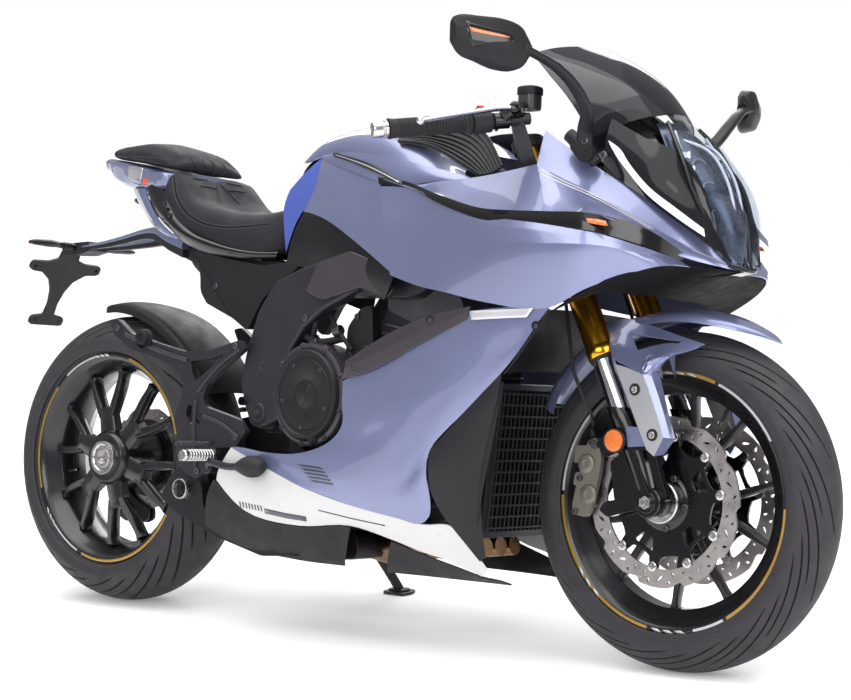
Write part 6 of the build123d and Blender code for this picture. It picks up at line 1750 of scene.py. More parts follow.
p.add(lathe([(-171, 15.9), (176, 15.9)], (-168, 0, 427), (0, 1, 0), 32), 2)
p.add(sweep([(-240, 147, 440), (-420, 147, 410), (-600, 147, 392)], 5, 12, 4), 0)
p.make("swingarm_details", "chassis", "frame_black", ["frame_paint", "plastic_fine", "steel_dark"], bevel=0.8)
# torque arm on the inside, carrying the caliper
CALR = [(-816, 236), (-806, 196), (-776, 172), (-716, 168), (-694, 178), (-696, 204), (-726, 214), (-756, 236), (-784, 268)]
p = Piece()
p.add(plate(rounded(CALR, 9), 36.5, 44), 0)
p.add(plate(rounded(CALR, 9), 53.5, 61), 0)
p.add(plate(rounded([(-812, 222), (-790, 182), (-764, 172), (-760, 184), (-786, 208), (-798, 240)], 4), 40, 58), 0)
for q in ((-792, 214), (-752, 186)):
    p.add(lathe([(22, .1), (22, 13), (26, 15), (38, 15)], (q[0], 0, q[1]), (0, 1, 0), 24), 1)
p.add(plate(rounded([(-724, 208), (-700, 204), (-684, 262), (-700, 266)], 6), 53.5, 60), 0)
p.make("caliper_rear", "chassis", "caliper_black", ["engine_paint", "caliper_grey"], "rear_caliper", bevel=2.2, seg=2, limit=32)

# ---- shock absorber
a, b = np.array([-190, 20, 480.0]), np.array([-230, 20, 630.0])
d = (b - a) / np.linalg.norm(b - a)
L = float(np.linalg.norm(b - a))
p = Piece()
p.add(lathe([(0, 8), (0, 27), (8, 27), (10, 14), (L - 50, 14), (L - 50, 22), (L - 8, 22), (L - 8, 27.5), (L, 27.5), (L, 8)], a, d, 36), 0)
u_, v_, w_ = frame_of(d)
hel = [tuple(a + d * (10 + (L - 22) * k / 139) + (u_ * math.cos(k * .38) + v_ * math.sin(k * .38)) * 22.5) for k in range(140)]
p.add(sweep(hel, 4.6, 10, 1), 1)
p.make("shock", "chassis", "steel_dark", ["steel_dark", "red"], "rear_shock", bevel=0.6, limit=45)

# ---- chain links
run_r, front_r = 93.0, 40.0
FS = (-60.0, 440.0)
dx_, dz_ = FS[0] - RX, FS[1] - RZ
phi, off = math.atan2(dz_, dx_), math.asin((run_r - front_r) / math.hypot(dx_, dz_))
path = []
for sgn in (1, -1):
    a = phi + sgn * (math.pi / 2 - off)
    n_ = (math.cos(a), math.sin(a))
    P0 = (RX + n_[0] * run_r, RZ + n_[1] * run_r)
    P1 = (FS[0] + n_[0] * front_r, FS[1] + n_[1] * front_r)
    k_ = (-124 - P0[0]) / (P1[0] - P0[0])
    P1 = (-124, P0[1] + k_ * (P1[1] - P0[1]))
    if sgn > 0:
        top, atop = [P1, P0], a
    else:
        low, alow = [P0, P1], a
arc = [(RX + run_r * math.cos(atop + (2 * math.pi - (atop - alow)) * t / 60), RZ + run_r * math.sin(atop + (2 * math.pi - (atop - alow)) * t / 60)) for t in range(1, 60)]
poly = [top[0], top[1]] + arc + [low[0], low[1]]
cum = [0.0]
for q0, q1 in zip(poly[:-1], poly[1:]):
    cum.append(cum[-1] + math.hypot(q1[0] - q0[0], q1[1] - q0[1]))


def on_chain(s_):
    i = max(0, min(len(poly) - 2, int(np.searchsorted(cum, s_)) - 1))
    t = (s_ - cum[i]) / (cum[i + 1] - cum[i])
    return (poly[i][0] + (poly[i + 1][0] - poly[i][0]) * t, poly[i][1] + (poly[i + 1][1] - poly[i][1]) * t)


p = Piece()
pitch = 15.875
nl = int(cum[-1] / pitch)
for k in range(nl - 1):
    A, B = on_chain(4 + k * pitch), on_chain(4 + (k + 1) * pitch)
    dx1, dz1 = B[0] - A[0], B[1] - A[1]
    l1 = math.hypot(dx1, dz1)
    tx, tz = dx1 / l1, dz1 / l1
    out = []
    for cxx, r_, c0 in ((0, 6.2, 180), (l1 / 2, 4.4, None), (l1, 6.2, 0), (l1 / 2, -4.4, None)):
        if c0 is None:
            out.append((cxx, r_))
        elif c0 == 180:
            out += [(6.2 * math.cos(math.radians(g)), 6.2 * math.sin(math.radians(g))) for g in (-110, -145, 180, 145, 110)]
        else:
            out += [(l1 + 6.2 * math.cos(math.radians(g)), 6.2 * math.sin(math.radians(g))) for g in (70, 35, 0, -35, -70)]
    ol = [(A[0] + tx * g - tz * h, A[1] + tz * g + tx * h) for g, h in out]
    w0, w1 = ((148.3, 149.8), (156.2, 157.7)) if k % 2 else ((150.0, 151.5), (154.5, 156.0))
    for y0, y1 in (w0, w1):
        p.add(plate(ol, y0, y1), 0)
    p.add(lathe([(148.2, .1), (148.2, 3), (151, 3), (151, 4.8), (155, 4.8), (155, 3), (157.9, 3), (157.9, .1)], (A[0], 0, A[1]), (0, 1, 0), 8), 1)
p.make("chain_links", "chassis", "steel_dark", ["chain_metal", "steel_dark"], "chain", angle=30)

# ---- side stand
pv, ft = np.array([-272.0, 165.0, 268.0]), np.array([-165.0, 288.0, 45.078])
gr = np.array([0, -SL, CL])
p = Piece()
top_ = ft + gr * 9
kn = pv + (top_ - pv) * 0.12
p.add(sweep([pv + np.array([-2, -2, 4]), kn, pv + (top_ - pv) * 0.55 + np.array([6, 4, 0]), top_], [13, 11.5, 10.5, 10], 20, 6), 0)
p.add(lathe([(-9, .1), (-9, 21), (-7, 22), (7, 22), (9, 21), (9, .1)], pv, (0, 1, 0), 36), 0)
p.add(nut(pv + np.array([0, 9, 0]), (0, 1, 0), 11, 6), 1)
p.make("stand_leg", "side_stand", "steel_dark", ["frame_paint", "steel_dark"], "side_stand", bevel=1.0)
p = Piece()
u_, v_ = np.array([1.0, 0, 0]), np.array([0, CL, SL])
p.add(slab(rounded([(-34, -20), (28, -24), (36, 0), (28, 22), (-34, 18)], 9), ft, u_, v_, gr, 0, 6.5), 0)
p.add(slab(rounded([(-24, -13), (20, -15), (25, 0), (20, 14), (-24, 12)], 7), ft, u_, v_, gr, 5.5, 11), 0)
p.make("stand_foot", "side_stand", "steel_dark", ["frame_paint"], bevel=1.4, seg=2)

repaint("steering_head", "frame_paint")
repaint("rear_subframe", "frame_paint")
repaint("brake_hoses", "rubber") if "brake_hoses" in NODES else None

# closing panel between the tank and the seat
p = Piece()
p.add(patch([[(-128, -112, 872), (-132, -96, 916), (-126, -62, 946), (-122, 0, 954), (-126, 62, 946), (-132, 96, 916), (-128, 112, 872)],
             [(-148, -106, 858), (-156, -84, 888), (-154, -50, 908), (-152, 0, 914), (-154, 50, 908), (-156, 84, 888), (-148, 106, 858)],
             [(-158, -100, 840), (-172, -78, 856), (-176, -44, 866), (-176, 0, 870), (-176, 44, 866), (-172, 78, 856), (-158, 100, 840)]], 4, 4), 0)
p.make("tank_tail_panel", "chassis", "plastic_black", ["plastic"], solid=2.5, core=(-60, 0, 860), bevel=0.5)

# ============================================================ seats and tail
from mathutils.bvhtree import BVHTree


def ring(half, r=22.0, n=56, shrink=0.0):
    """Even closed ring through a half section (|y|, z), corners rounded."""
    full = list(half) + [(-y, z) for y, z in reversed(half) if y > 0.01]
    cy, cz = 0.0, sum(z for y, z in half) / len(half)
    if shrink:
        w_ = max(y for y, z in half)
        h_ = (max(z for y, z in half) - min(z for y, z in half)) / 2
        full = [(y * (1 - shrink / w_), cz + (z - cz) * (1 - shrink / h_)) for y, z in full]
    out = rounded(full, r, 4)
    out = out + [out[0]]
    run = [0.0]
    for a, b in zip(out[:-1], out[1:]):
        run.append(run[-1] + math.hypot(b[0] - a[0], b[1] - a[1]))
    # start each ring where it crosses the middle on top
    ts = np.linspace(0, run[-1], n, endpoint=False)
    Y, Z = np.interp(ts, run, [q[0] for q in out]), np.interp(ts, run, [q[1] for q in out])
    k = int(np.argmin([abs(y) * 3 - z for y, z in zip(Y, Z)]))
    return [(float(Y[(k + i) % n]), float(Z[(k + i) % n])) for i in range(n)]


def body_of(sections, r=22.0, shrink=0.0, k=5, ends=0.82):
    """Closed form through (x, half section) stations with drawn-in ends."""
    secs = []
    for i, (x, half) in enumerate(sections):
        ringpts = ring(half, r, shrink=shrink)
        secs.append((x, ringpts))
    out = []
    for i, (x, rg) in enumerate(secs):
        zc = sum(z for y, z in rg) / len(rg)
        if i == 0:
            out.append([(x + (4 if secs[0][0] > secs[-1][0] else -4), y * ends, zc + (z - zc) * ends) for y, z in rg])
        out.append([(x - (6 if i == 0 else 0) * (1 if secs[0][0] > secs[-1][0] else -1) + (6 if i == len(secs) - 1 else 0) * (1 if secs[0][0] > secs[-1][0] else -1), y, z) for y, z in rg])
        if i == len(secs) - 1:
            out.append([(x - (4 if secs[0][0] > secs[-1][0] else -4), y * ends, zc + (z - zc) * ends) for y, z in rg])
    return loft(out, k=k)


def cushion(geo, name, mat, replaces, flat_z, cap=6.0, voxel=6.0):
    """Padded piece: swelled by a short cloth run, then smoothed."""
    p = Piece()
    p.add(geo, 0)
    ob = p.make(name, "chassis", "seat_black", [mat], replaces, angle=60)
    sc_ = bpy.context.scene
    md = ob.modifiers.new("remesh", "REMESH")
    md.mode, md.voxel_size, md.use_smooth_shade = "VOXEL", voxel / 1000.0, True
    dg = bpy.context.evaluated_depsgraph_get()
    me = bpy.data.meshes.new_from_object(ob.evaluated_get(dg))
    ob.modifiers.clear()
    me.name = name
    if not me.materials:
        me.materials.append(MATS[mat])
    ob.data = me
    n = len(me.vertices)
    rest = np.empty(n * 3)
    me.vertices.foreach_get("co", rest)
    rest = rest.reshape(-1, 3)
    bike = (rest * 1000.0 - SHIFT) @ TURN
    g = ob.vertex_groups.new(name="base")
    low = [int(i) for i in np.nonzero(bike[:, 2] < np.interp(bike[:, 0], flat_z[0], flat_z[1]))[0]]
    g.add(low, 1.0, "REPLACE")
    cm = ob.modifiers.new("cloth", "CLOTH")
    st = cm.settings
    st.use_pressure, st.uniform_pressure_force = True, 4.0
    st.quality, st.mass = 5, 0.3
    st.tension_stiffness = st.compression_stiffness = 15.0
    st.vertex_group_mass = "base"
    st.effector_weights.gravity = 0.0
    cm.point_cache.frame_start, cm.point_cache.frame_end = 1, 20
    for f in range(1, 21):
        sc_.frame_set(f)
    dg = bpy.context.evaluated_depsgraph_get()
    ev = ob.evaluated_get(dg)
    got = np.empty(n * 3)
    ev.data.vertices.foreach_get("co", got)
    got = got.reshape(-1, 3)
    mv = got - rest
    ln = np.linalg.norm(mv, axis=1, keepdims=True)
    lim = cap / 1000.0
    mv = mv * np.minimum(1.0, lim / np.maximum(ln, 1e-9))
    mv = np.nan_to_num(mv)
    ob.modifiers.clear()
    ob.vertex_groups.clear()
    me.vertices.foreach_set("co", (rest + mv).ravel())
    me.update()
    sc_.frame_set(1)
    md = ob.modifiers.new("relax", "SMOOTH")
    md.factor, md.iterations = 0.5, 3
    md = ob.modifiers.new("sub", "SUBSURF")
    md.levels = md.render_levels = 1
    return ob


def tree(ob):
    dg = bpy.context.evaluated_depsgraph_get()
    return BVHTree.FromObject(ob, dg)


def cast(t, u, v, lift=0.5):
    """Point of a surface seen at (u, v), lifted towards the viewer, in mm on the upright bike."""
    o = Vector(world([EYE])[0])
    d = Vector(TURN @ ray(u, v)).normalized()
    h, nn, i, dist = t.ray_cast(o, d)
    if h is None:
        return None
    if nn.dot(d) > 0:
        nn = -nn
    h = h + nn * (lift / 1000.0)
    return tuple((np.array(h) * 1000.0 - SHIFT) @ TURN)


def cast_line(t, pts, n=40, lift=0.5):
    L = smooth_line([(u, v, 0.0) for u, v in pts], max(2, n // max(1, len(pts) - 1)))
    out = [cast(t, q[0], q[1], lift) for q in L]
    return [q for q in out if q is not None]


def cast_net(t, rows, lift=0.5, k=6):
    """Sheet laid on a surface through rows of (u, v)."""
    R = [smooth_line([(u, v, 0.0) for u, v in row], k) for row in rows]
    m = len(R[0])
    cols = [smooth_line([R[i][j] for i in range(len(R))], k) for j in range(m)]
    pts_, ok = [], True
    n = len(cols[0])
    for i in range(n):
        for j in range(m):
            q = cast(t, cols[j][i][0], cols[j][i][1], lift)
            if q is None:
                ok = False
                q = (0, 0, 0)
            pts_.append(q)
    return (pts_, cross_grid(n, m)) if ok else None


def stitches(line, length=3.4, gap=1.8, r=0.65):
    """Row of thread stitches along a line of points."""
    A = np.array(line)
    if len(A) < 3:
        return ([], [])
    run = np.concatenate([[0], np.cumsum(np.linalg.norm(np.diff(A, axis=0), axis=1))])
    out, s = [], 1.0
    while s + length < run[-1]:
        P_ = [tuple(np.interp(s + length * t_, run, A[:, c]) for c in range(3)) for t_ in (0, .5, 1)]
        out.append(sweep(P_, [r * .6, r, r * .6], 5, 1))
        s += length + gap
    return join(*out) if out else ([], [])


def seam(line, r=1.5):
    return sweep(line, r, 8, 1) if len(line) > 2 else ([], [])


RSEAT = [
    (-170, [(0, 864), (60, 862), (92, 846), (108, 806), (108, 752), (70, 744), (0, 744)]),
    (-200, [(0, 852), (66, 848), (106, 832), (124, 792), (124, 746), (76, 739), (0, 739)]),
    (-250, [(0, 838), (80, 838), (126, 820), (140, 785), (136, 748), (82, 740), (0, 740)]),
    (-340, [(0, 836), (92, 845), (136, 834), (150, 800), (146, 768), (90, 756), (0, 756)]),
    (-430, [(0, 862), (90, 872), (136, 866), (152, 836), (148, 804), (90, 780), (0, 780)]),
    (-474, [(0, 912), (80, 920), (128, 912), (149, 878), (147, 842), (88, 812), (0, 812)]),
    (-500, [(0, 926), (80, 934), (122, 930), (142, 900), (140, 868), (84, 844), (0, 844)]),
]
rider = cushion(body_of(RSEAT, 20, 4.0), "rider_seat_pad", "leather", "rider_seat", ([-500, -440, -340, -230, -160], [846, 796, 768, 750, 752]), cap=5.0)
PSEAT = [
    (-500, [(0, 966), (74, 962), (104, 950), (116, 942), (112, 936), (76, 933), (0, 933)]),
    (-520, [(0, 980), (80, 976), (110, 958), (118, 948), (115, 940), (78, 936), (0, 936)]),
    (-570, [(0, 1003), (82, 996), (112, 974), (117, 962), (112, 952), (76, 945), (0, 945)]),
    (-680, [(0, 1009), (66, 1002), (86, 988), (91, 978), (86, 970), (58, 966), (0, 966)]),
    (-750, [(0, 1005), (46, 1001), (58, 993), (60, 987), (54, 981), (40, 978), (0, 978)]),
    (-776, [(0, 1002), (32, 1000), (42, 996), (44, 991), (40, 988), (28, 986), (0, 986)]),
]
pillion = cushion(body_of(PSEAT, 9, 3.0), "pillion_seat_pad", "leather_soft", "pillion_seat", ([-780, -680, -560, -500], [990, 974, 948, 940]), cap=4.0, voxel=6.0)

bpy.context.view_layer.update()
TR, TP = tree(rider), tree(pillion)
LINE1 = [(175, 166), (176, 178), (179, 196), (190, 213), (205, 222), (222, 225.5), (245, 225), (268, 222.5)]
LINE2 = [(171.5, 170), (172.5, 180), (176, 199), (187.5, 216.5), (203.5, 225), (222, 228.5), (245, 228), (268, 225.5)]
p = Piece()
for L in (LINE1, LINE2):
    q = cast_line(TR, L, 120, 0.4)
    for geo in (stitches(q),):
        if geo[0]:
            p.add(geo, 0)
            p.add(mirror(geo), 0)
# sunken seam between the stitch rows takes the near-black material: painted shade in the seam's crease
q = cast_line(TR, [((a[0] + b[0]) / 2, (a[1] + b[1]) / 2) for a, b in zip(LINE1, LINE2)], 120, -0.4)
if len(q) > 2:
    g_ = seam(q, 1.1)
    p.add(g_, 1)
    p.add(mirror(g_), 1)
for L in ([(128, 155.5), (140, 156.5), (156, 158), (176, 161)],):
    q = cast_line(TP, L, 60, 0.3)
    if len(q) > 2:
        g_ = stitches(q)
        if g_[0]:
            p.add(g_, 0)
            p.add(mirror(g_), 0)
# pulled folds between the two seats
for L, r_ in (([(191, 158), (195, 165), (199, 173)], 1.8), ([(203, 160), (206, 167), (208, 173)], 1.8), ([(196, 173), (205, 175.5), (213, 175)], 2.0),
              ([(194, 178.5), (204, 180), (214, 179)], 2.0), ([(201, 186), (208, 187), (216, 189)], 1.8), ([(214.5, 168), (216.5, 180), (217.5, 190), (220, 201)], 1.7)):
    for tr_ in (TR, TP):
        q = cast_line(tr_, L, 24, -0.2)
        if len(q) > 4 and max(abs(q[i + 1][0] - q[i][0]) for i in range(len(q) - 1)) < 12:
            g_ = seam(q, r_)
            p.add(g_, 2)
            p.add(mirror(g_), 2)
            break
if p.v:
    p.make("seat_stitching", "chassis", "seat_black", ["thread", "painted_shade_black", "leather"], angle=60)

# ---- tail cowl below the pillion seat
TSEC = [
    (-500, [(0, 932), (92, 932), (122, 926), (118, 902), (84, 888), (0, 884)]),
    (-560, [(0, 940), (90, 942), (112, 936), (108, 900), (70, 886), (0, 880)]),
    (-620, [(0, 952), (80, 955), (96, 949), (90, 904), (56, 890), (0, 884)]),
    (-700, [(0, 966), (62, 970), (73, 963), (64, 920), (40, 908), (0, 904)]),
    (-760, [(0, 976), (42, 979), (51, 972), (44, 942), (28, 932), (0, 930)]),
    (-806, [(0, 984), (20, 984), (26, 979), (22, 964), (14, 958), (0, 958)]),
]
p = Piece()
p.add(body_of(TSEC, 4, 0.0, k=5, ends=0.9), 0)
tail = p.make("tail_shell", "chassis", "paint_lilac", ["paint"], "tail_cowl", bevel=1.2, seg=2, limit=30)
bpy.context.view_layer.update()
TT = tree(tail)
p = Piece()
for rows_, m_ in (([[(128.5, 165.5), (136, 166), (143, 166.5)], [(127.5, 172), (135, 174), (142, 175)], [(128, 177.5), (134, 181.5), (140, 184)]], 0),
                  ([[(143.5, 178), (149, 179)], [(141.5, 184), (147.5, 185.5)]], 1),
                  ([[(137.5, 178), (141.5, 178.5)], [(136, 181.5), (140, 183)]], 2)):
    g_ = cast_net(TT, rows_, 0.35)
    if g_ is not None:
        p.add(g_, m_)
        p.add(mirror(g_), m_)
if p.v:
    p.make("tail_bands", "chassis", "paint_lilac", ["paint_silver", "orange_mark", "stripe_grey"], solid=0.25, core=(-640, 0, 900), angle=60)

# seat base: dark rim that runs round under both seats
BO = [(-660, -74, 904), (-624, -85, 866), (-580, -95, 828), (-521, -105, 798), (-466, -110, 784)]
BI = [(-592, -98, 900), (-560, -108, 860), (-522, -118, 826), (-484, -122, 802), (-455, -124, 787)]


def mixp(a, b, t, out=0.0):
    return tuple(a[i] + (b[i] - a[i]) * t + (-out if i == 1 else 0) for i in range(3))


def blade():
    w_ = [[mixp(a, b, t, o_) for a, b in zip(BO, BI)] for t, o_ in ((0, 0), (.12, 3), (.27, 4))]
    l_ = [[mixp(a, b, t, o_) for a, b in zip(BO, BI)] for t, o_ in ((.27, 4), (.6, 9), (.8, 7), (1, 3))]
    edge_ = [[mixp(a, b, t, o_) for a, b in zip(BO, BI)] for t, o_ in ((-.04, -8), (0, 0))]
    return [(patch(w_, 3, 7), 0), (patch(l_, 4, 7, bu=(1,)), 1), (patch(edge_, 2, 7), 0)]


sides(blade, "tail_blade", "paint_lilac", ["paint_white", "paint"], solid=3.0, core=(-500, 0, 820), bevel=0.7, seg=2, limit=24)


def rim_strip():
    a = [(-590, -100, 902), (-558, -110, 862), (-520, -120, 828), (-482, -125, 804), (-440, -128, 778), (-380, -128, 756), (-310, -126, 744), (-250, -120, 738), (-190, -108, 738)]
    b = [(-560, -108, 908), (-528, -120, 872), (-494, -132, 842), (-456, -140, 812), (-410, -143, 790), (-350, -140, 770), (-290, -136, 757), (-235, -126, 750), (-185, -112, 750)]
    c = [(-530, -100, 912), (-500, -112, 884), (-480, -122, 852), (-440, -130, 822), (-396, -130, 798), (-340, -128, 780), (-285, -124, 766), (-230, -116, 758), (-185, -104, 758)]
    return [(patch([a, b, c], 5, 5), 0)]


sides(rim_strip, "seat_base", "plastic_black", ["gloss_black"], solid=3.0, core=(-380, 0, 820), bevel=0.7, seg=2, limit=30)
p = Piece()
for (u, v) in ((164, 204), (169.5, 215), (186, 234)):
    q = px(u, v, -136)
    for s in (-1, 1):
        p.add(bolt((q[0], s * 132, q[2]), (0, s, 0), 4.6, 6), 0)
p.make("seat_base_bolts", "chassis", "steel_dark", ["steel_dark"], bevel=0.3)

# lower panel joining the seat base, subframe and side cover
sides(lambda: [(patch([[(-440, -104, 772), (-360, -108, 752), (-280, -110, 740), (-190, -104, 734), (-120, -112, 722)],
                       [(-436, -108, 742), (-360, -112, 730), (-280, -114, 716), (-200, -112, 700), (-120, -124, 690)],
                       [(-418, -100, 716), (-350, -104, 700), (-280, -106, 690), (-200, -110, 664), (-130, -126, 640)]], 5, 5), 0)],
      "subframe_panel", "plastic_black", ["plastic"], solid=2.6, core=(-300, 0, 730), bevel=0.8, seg=2, limit=26)

# ---- tail lamp under the cowl
p = Piece()
p.add(body_of([(-560, [(0, 872), (50, 872), (56, 860), (48, 844), (0, 840)]), (-640, [(0, 876), (30, 876), (34, 864), (30, 850), (0, 846)]), (-706, [(0, 892), (20, 892), (22, 886), (19, 880), (0, 878)])], 4, k=4, ends=.9), 0)
p.make("tail_lamp_body", "chassis", "plastic_black", ["plastic_fine"], bevel=0.8)
p = Piece()
p.add(body_of([(-640, [(0, 874), (26, 874), (29, 866), (26, 854), (0, 850)]), (-714, [(0, 893), (17, 893), (19, 888), (17, 884), (0, 882)])], 3, k=3, ends=.92), 0)
for k in range(7):
    y = -18 + 6 * k
    p.add(lathe([(-8, 3.4), (0, 3.4), (1.4, 2.4), (1.8, .1)], (-704, y * .8, 888), (-1, 0, .1), 12), 1)
p.make("tail_lamp_lens", "chassis", "lens_red", ["lens_red", "red"], "tail_light", bevel=0.8)

# ---- arms out to the plate bracket
for s, side in ((-1, "right"), (1, "left")):
    p = Piece()
    TOPL = [(-470, 88, 786), (-520, 86, 800), (-575, 72, 818), (-620, 58, 820), (-720, 40, 808), (-800, 30, 798), (-878, 20, 792)]
    secs, low_ = [], []
    for i, (x, y, z) in enumerate(TOPL):
        wd = 17 - i * 1.4
        hh = 38 - i * 4.4
        secs.append([(x, s * (y - wd), z - 3), (x, s * (y - wd * .3), z + 1), (x, s * (y + wd * .8), z - 3), (x, s * (y + wd), z - hh * .5), (x, s * (y + wd * .6), z - hh * .55), (x, s * (y - wd), z - hh * .55)])
        low_.append([(x, s * (y - wd), z - hh * .5), (x, s * (y + wd * .75), z - hh * .5), (x, s * (y + wd * .7), z - hh), (x, s * (y - wd * .8), z - hh)])
    p.add(loft(secs, k=4), 0)
    p.add(loft(low_, k=4), 1)
    p.make("tail_arm_" + side, "chassis", "paint_lilac", ["paint", "plastic"], bevel=1.0, seg=2, limit=30)

# ---- number plate carrier with its lugs and the rear indicators
UPL, LOL = np.array((-958.0, 0, 741.0)), np.array((-1021.0, 0, 620.0))
sl = LOL - UPL
reach = float(np.linalg.norm(sl))
sl = sl / reach
fn = np.array([sl[2], 0, -sl[0]])
HALF = [(0, -52), (24, -52), (28, -22), (52, -14), (98, -12), (103, -4), (102, 8), (92, 12), (64, 14), (34, 34), (20, 60), (13, 92), (15, reach - 16), (44, reach - 11), (49, reach - 4), (48, reach + 8), (42, reach + 11), (0, reach + 11)]
out_ = [(y, d) for y, d in HALF] + [(-y, d) for y, d in reversed(HALF) if y > 0]
holes_ = [[(cy_ + 3.6 * math.cos(t), cd_ + 3.6 * math.sin(t)) for t in np.linspace(0, 2 * math.pi, 16, endpoint=False)] for cy_, cd_ in ((-90, 0), (90, 0), (-34, reach), (34, reach))]
p = Piece()
p.add(slab(rounded(out_, 4), UPL, (0, 1, 0), sl, fn, 0.2, 7.8, holes_), 0)
for rib in ([(0, -46), (0, 60), (0, reach)], [(-20, -20), (-60, -1), (-92, 0)], [(20, -20), (60, -1), (92, 0)]):
    p.add(sweep([tuple(UPL + np.array([0, y, 0]) + sl * d + fn * 7) for y, d in rib], 3.0, 8, 4), 0)
p.add(plate(rounded([(-925, 794), (-850, 796), (-846, 778), (-884, 770), (-942, 772)], 5), -28, 28), 0)
p.add(plate(rounded([(-920, 798), (-862, 800), (-862, 790), (-920, 790)], 3), -18, 18), 0)
for cy_, cd_ in ((-90, 0), (90, 0), (-34, reach), (34, reach)):
    q = UPL + np.array([0, cy_, 0]) + sl * cd_
    p.add(lathe([(7.6, 4.2), (9.0, 4.4), (9.0, 7.6), (7.6, 8)], q, fn, 20), 0)
p.make("plate_carrier", "chassis", "plastic_black", ["plastic"], "plate_bracket", bevel=0.9, seg=2, limit=30, weld=0.001)
for s, side in ((-1, "right"), (1, "left")):
    p = Piece()
    p.add(sweep([(-900, s * 22, 786), (-901, s * 50, 788), (-902, s * 80, 789)], [8, 7.5, 6.5], 18, 5), 0)
    for k in range(3):
        p.add(lathe([(-2, 7), (-2, 8.6), (2, 8.6), (2, 7)], (-901, s * (40 + 9 * k), 787.6), (0, s, 0), 20), 0)
    secs = []
    for y, a, b, h in ((76, 10, 10, 7.5), (90, 14, 13, 9), (120, 13, 12, 8), (146, 9, 9, 6), (156, 5, 5, 3.5)):
        secs.append([(-902 + a * math.cos(t), s * y, 789 + h * (1 if math.sin(t) > 0 else .8) * math.sin(t)) for t in np.linspace(0, 2 * math.pi, 18, endpoint=False)])
    p.add(loft(secs, k=4), 0)
    secs = []
    for y, a, h in ((88, 8, 6), (120, 8, 5.6), (148, 5, 4)):
        secs.append([(-910 - 3 + a * math.cos(t), s * y, 789 + h * math.sin(t)) for t in np.linspace(0, 2 * math.pi, 14, endpoint=False)])
    p.add(loft(secs, k=3), 1)
    p.make("blinker_rear_" + side, "chassis", "plastic_black", ["plastic_fine", "amber"], bevel=0.5)

# =========================================== screen, headlight, mirrors, dash
SCR = [
    [(464, -150, 1092), (484, -112, 1106), (506, -60, 1115), (516, 0, 1118), (506, 60, 1115), (484, 112, 1106), (464, 150, 1092)],
    [(520, -172, 1044), (546, -124, 1066), (566, -66, 1082), (576, 0, 1088), (566, 66, 1082), (546, 124, 1066), (520, 172, 1044)],
    [(563, -178, 1002), (594, -130, 1024), (618, -70, 1042), (630, 0, 1050), (618, 70, 1042), (594, 130, 1024), (563, 178, 1002)],
    [(600, -152, 930), (642, -116, 958), (672, -64, 976), (688, 0, 986), (672, 64, 976), (642, 116, 958), (600, 152, 930)],
]
p = Piece()
p.add(patch(SCR, 6, 6), 0)
screen = p.make("screen", "chassis", "screen_smoke", ["smoke"], "windscreen", solid=2.6, core=(420, 0, 950), bevel=0.8, seg=2, limit=30)
# lower fields of the screen beside the headlight
sides(lambda: [(patch(net([(604, 170, -148), (638, 193, -134), (672, 218, -110), (706, 243, -82), (732, 265, -50)],
                          [(604, 158, -158), (640, 178, -130), (674, 202, -106), (706, 228, -80), (727, 254, -58)],
                          [(606, 140, -160), (642, 158, -122), (676, 180, -92), (703, 206, -78), (721, 240, -66)],
                          [(612, 118, -140), (646, 138, -104), (678, 152, -80), (700, 180, -78), (716, 230, -72)]), 5, 5), 0)],
      "screen_side", "screen_smoke", ["smoke"], solid=2.4, core=(560, 0, 860), bevel=0.6, seg=2, limit=30)
# dark housing seen through the screen
sides(lambda: [(patch([[(520, -4, 960), (560, -4, 1000), (600, -4, 1000), (650, -4, 968), (700, -4, 940)],
                       [(520, -60, 952), (560, -58, 990), (600, -58, 990), (648, -50, 958), (700, -46, 920)],
                       [(540, -112, 918), (570, -110, 950), (606, -104, 946), (652, -88, 916), (706, -76, 870)],
                       [(560, -140, 880), (590, -138, 900), (622, -130, 880), (672, -110, 840), (740, -84, 780)]], 5, 5), 0)],
      "cockpit_hood", "plastic_black", ["gloss_black"], solid=3.0, core=(560, 0, 820), bevel=0.8, seg=2, limit=26)


# white light strip along the edge of the nose
def strip_of(top, low, lift=0.0):
    return patch(net(top, low), 3, 6)


sides(lambda: [(patch(net([(608, 140, -172), (619, 148, -170), (629, 163, -164), (647, 185, -152), (676, 208, -132), (704, 229, -112)],
                          [(609.5, 144, -173), (616, 156, -171), (629.5, 174, -165), (645.5, 193, -154), (674, 216, -134), (705, 237, -112)]), 4, 6), 0)],
      "light_strip", "lens_clear", ["white_led"], solid=2.2, core=(560, 0, 820), bevel=0.5, seg=2)

# ---- headlight
LRX = [[(690, -52, 966), (698, -20, 970), (698, 20, 970), (690, 52, 966)],
       [(718, -72, 930), (742, -28, 938), (742, 28, 938), (718, 72, 930)],
       [(742, -82, 888), (774, -32, 900), (774, 32, 900), (742, 82, 888)],
       [(768, -84, 830), (816, -36, 842), (816, 36, 842), (768, 84, 830)],
       [(792, -64, 770), (838, -28, 776), (838, 28, 776), (792, 64, 770)],
       [(812, -34, 716), (838, -14, 712), (838, 14, 712), (812, 34, 716)]]
p = Piece()
p.add(patch(LRX, 6, 8), 0)
p.make("headlight_lens", "chassis", "lens_clear", ["lens"], "headlight", solid=2.5, core=(640, 0, 840), bevel=0.8, seg=2, limit=30)


def inward(rows_, d, k=0.94):
    return [[(x - d, y * k, z) for x, y, z in row] for row in rows_]


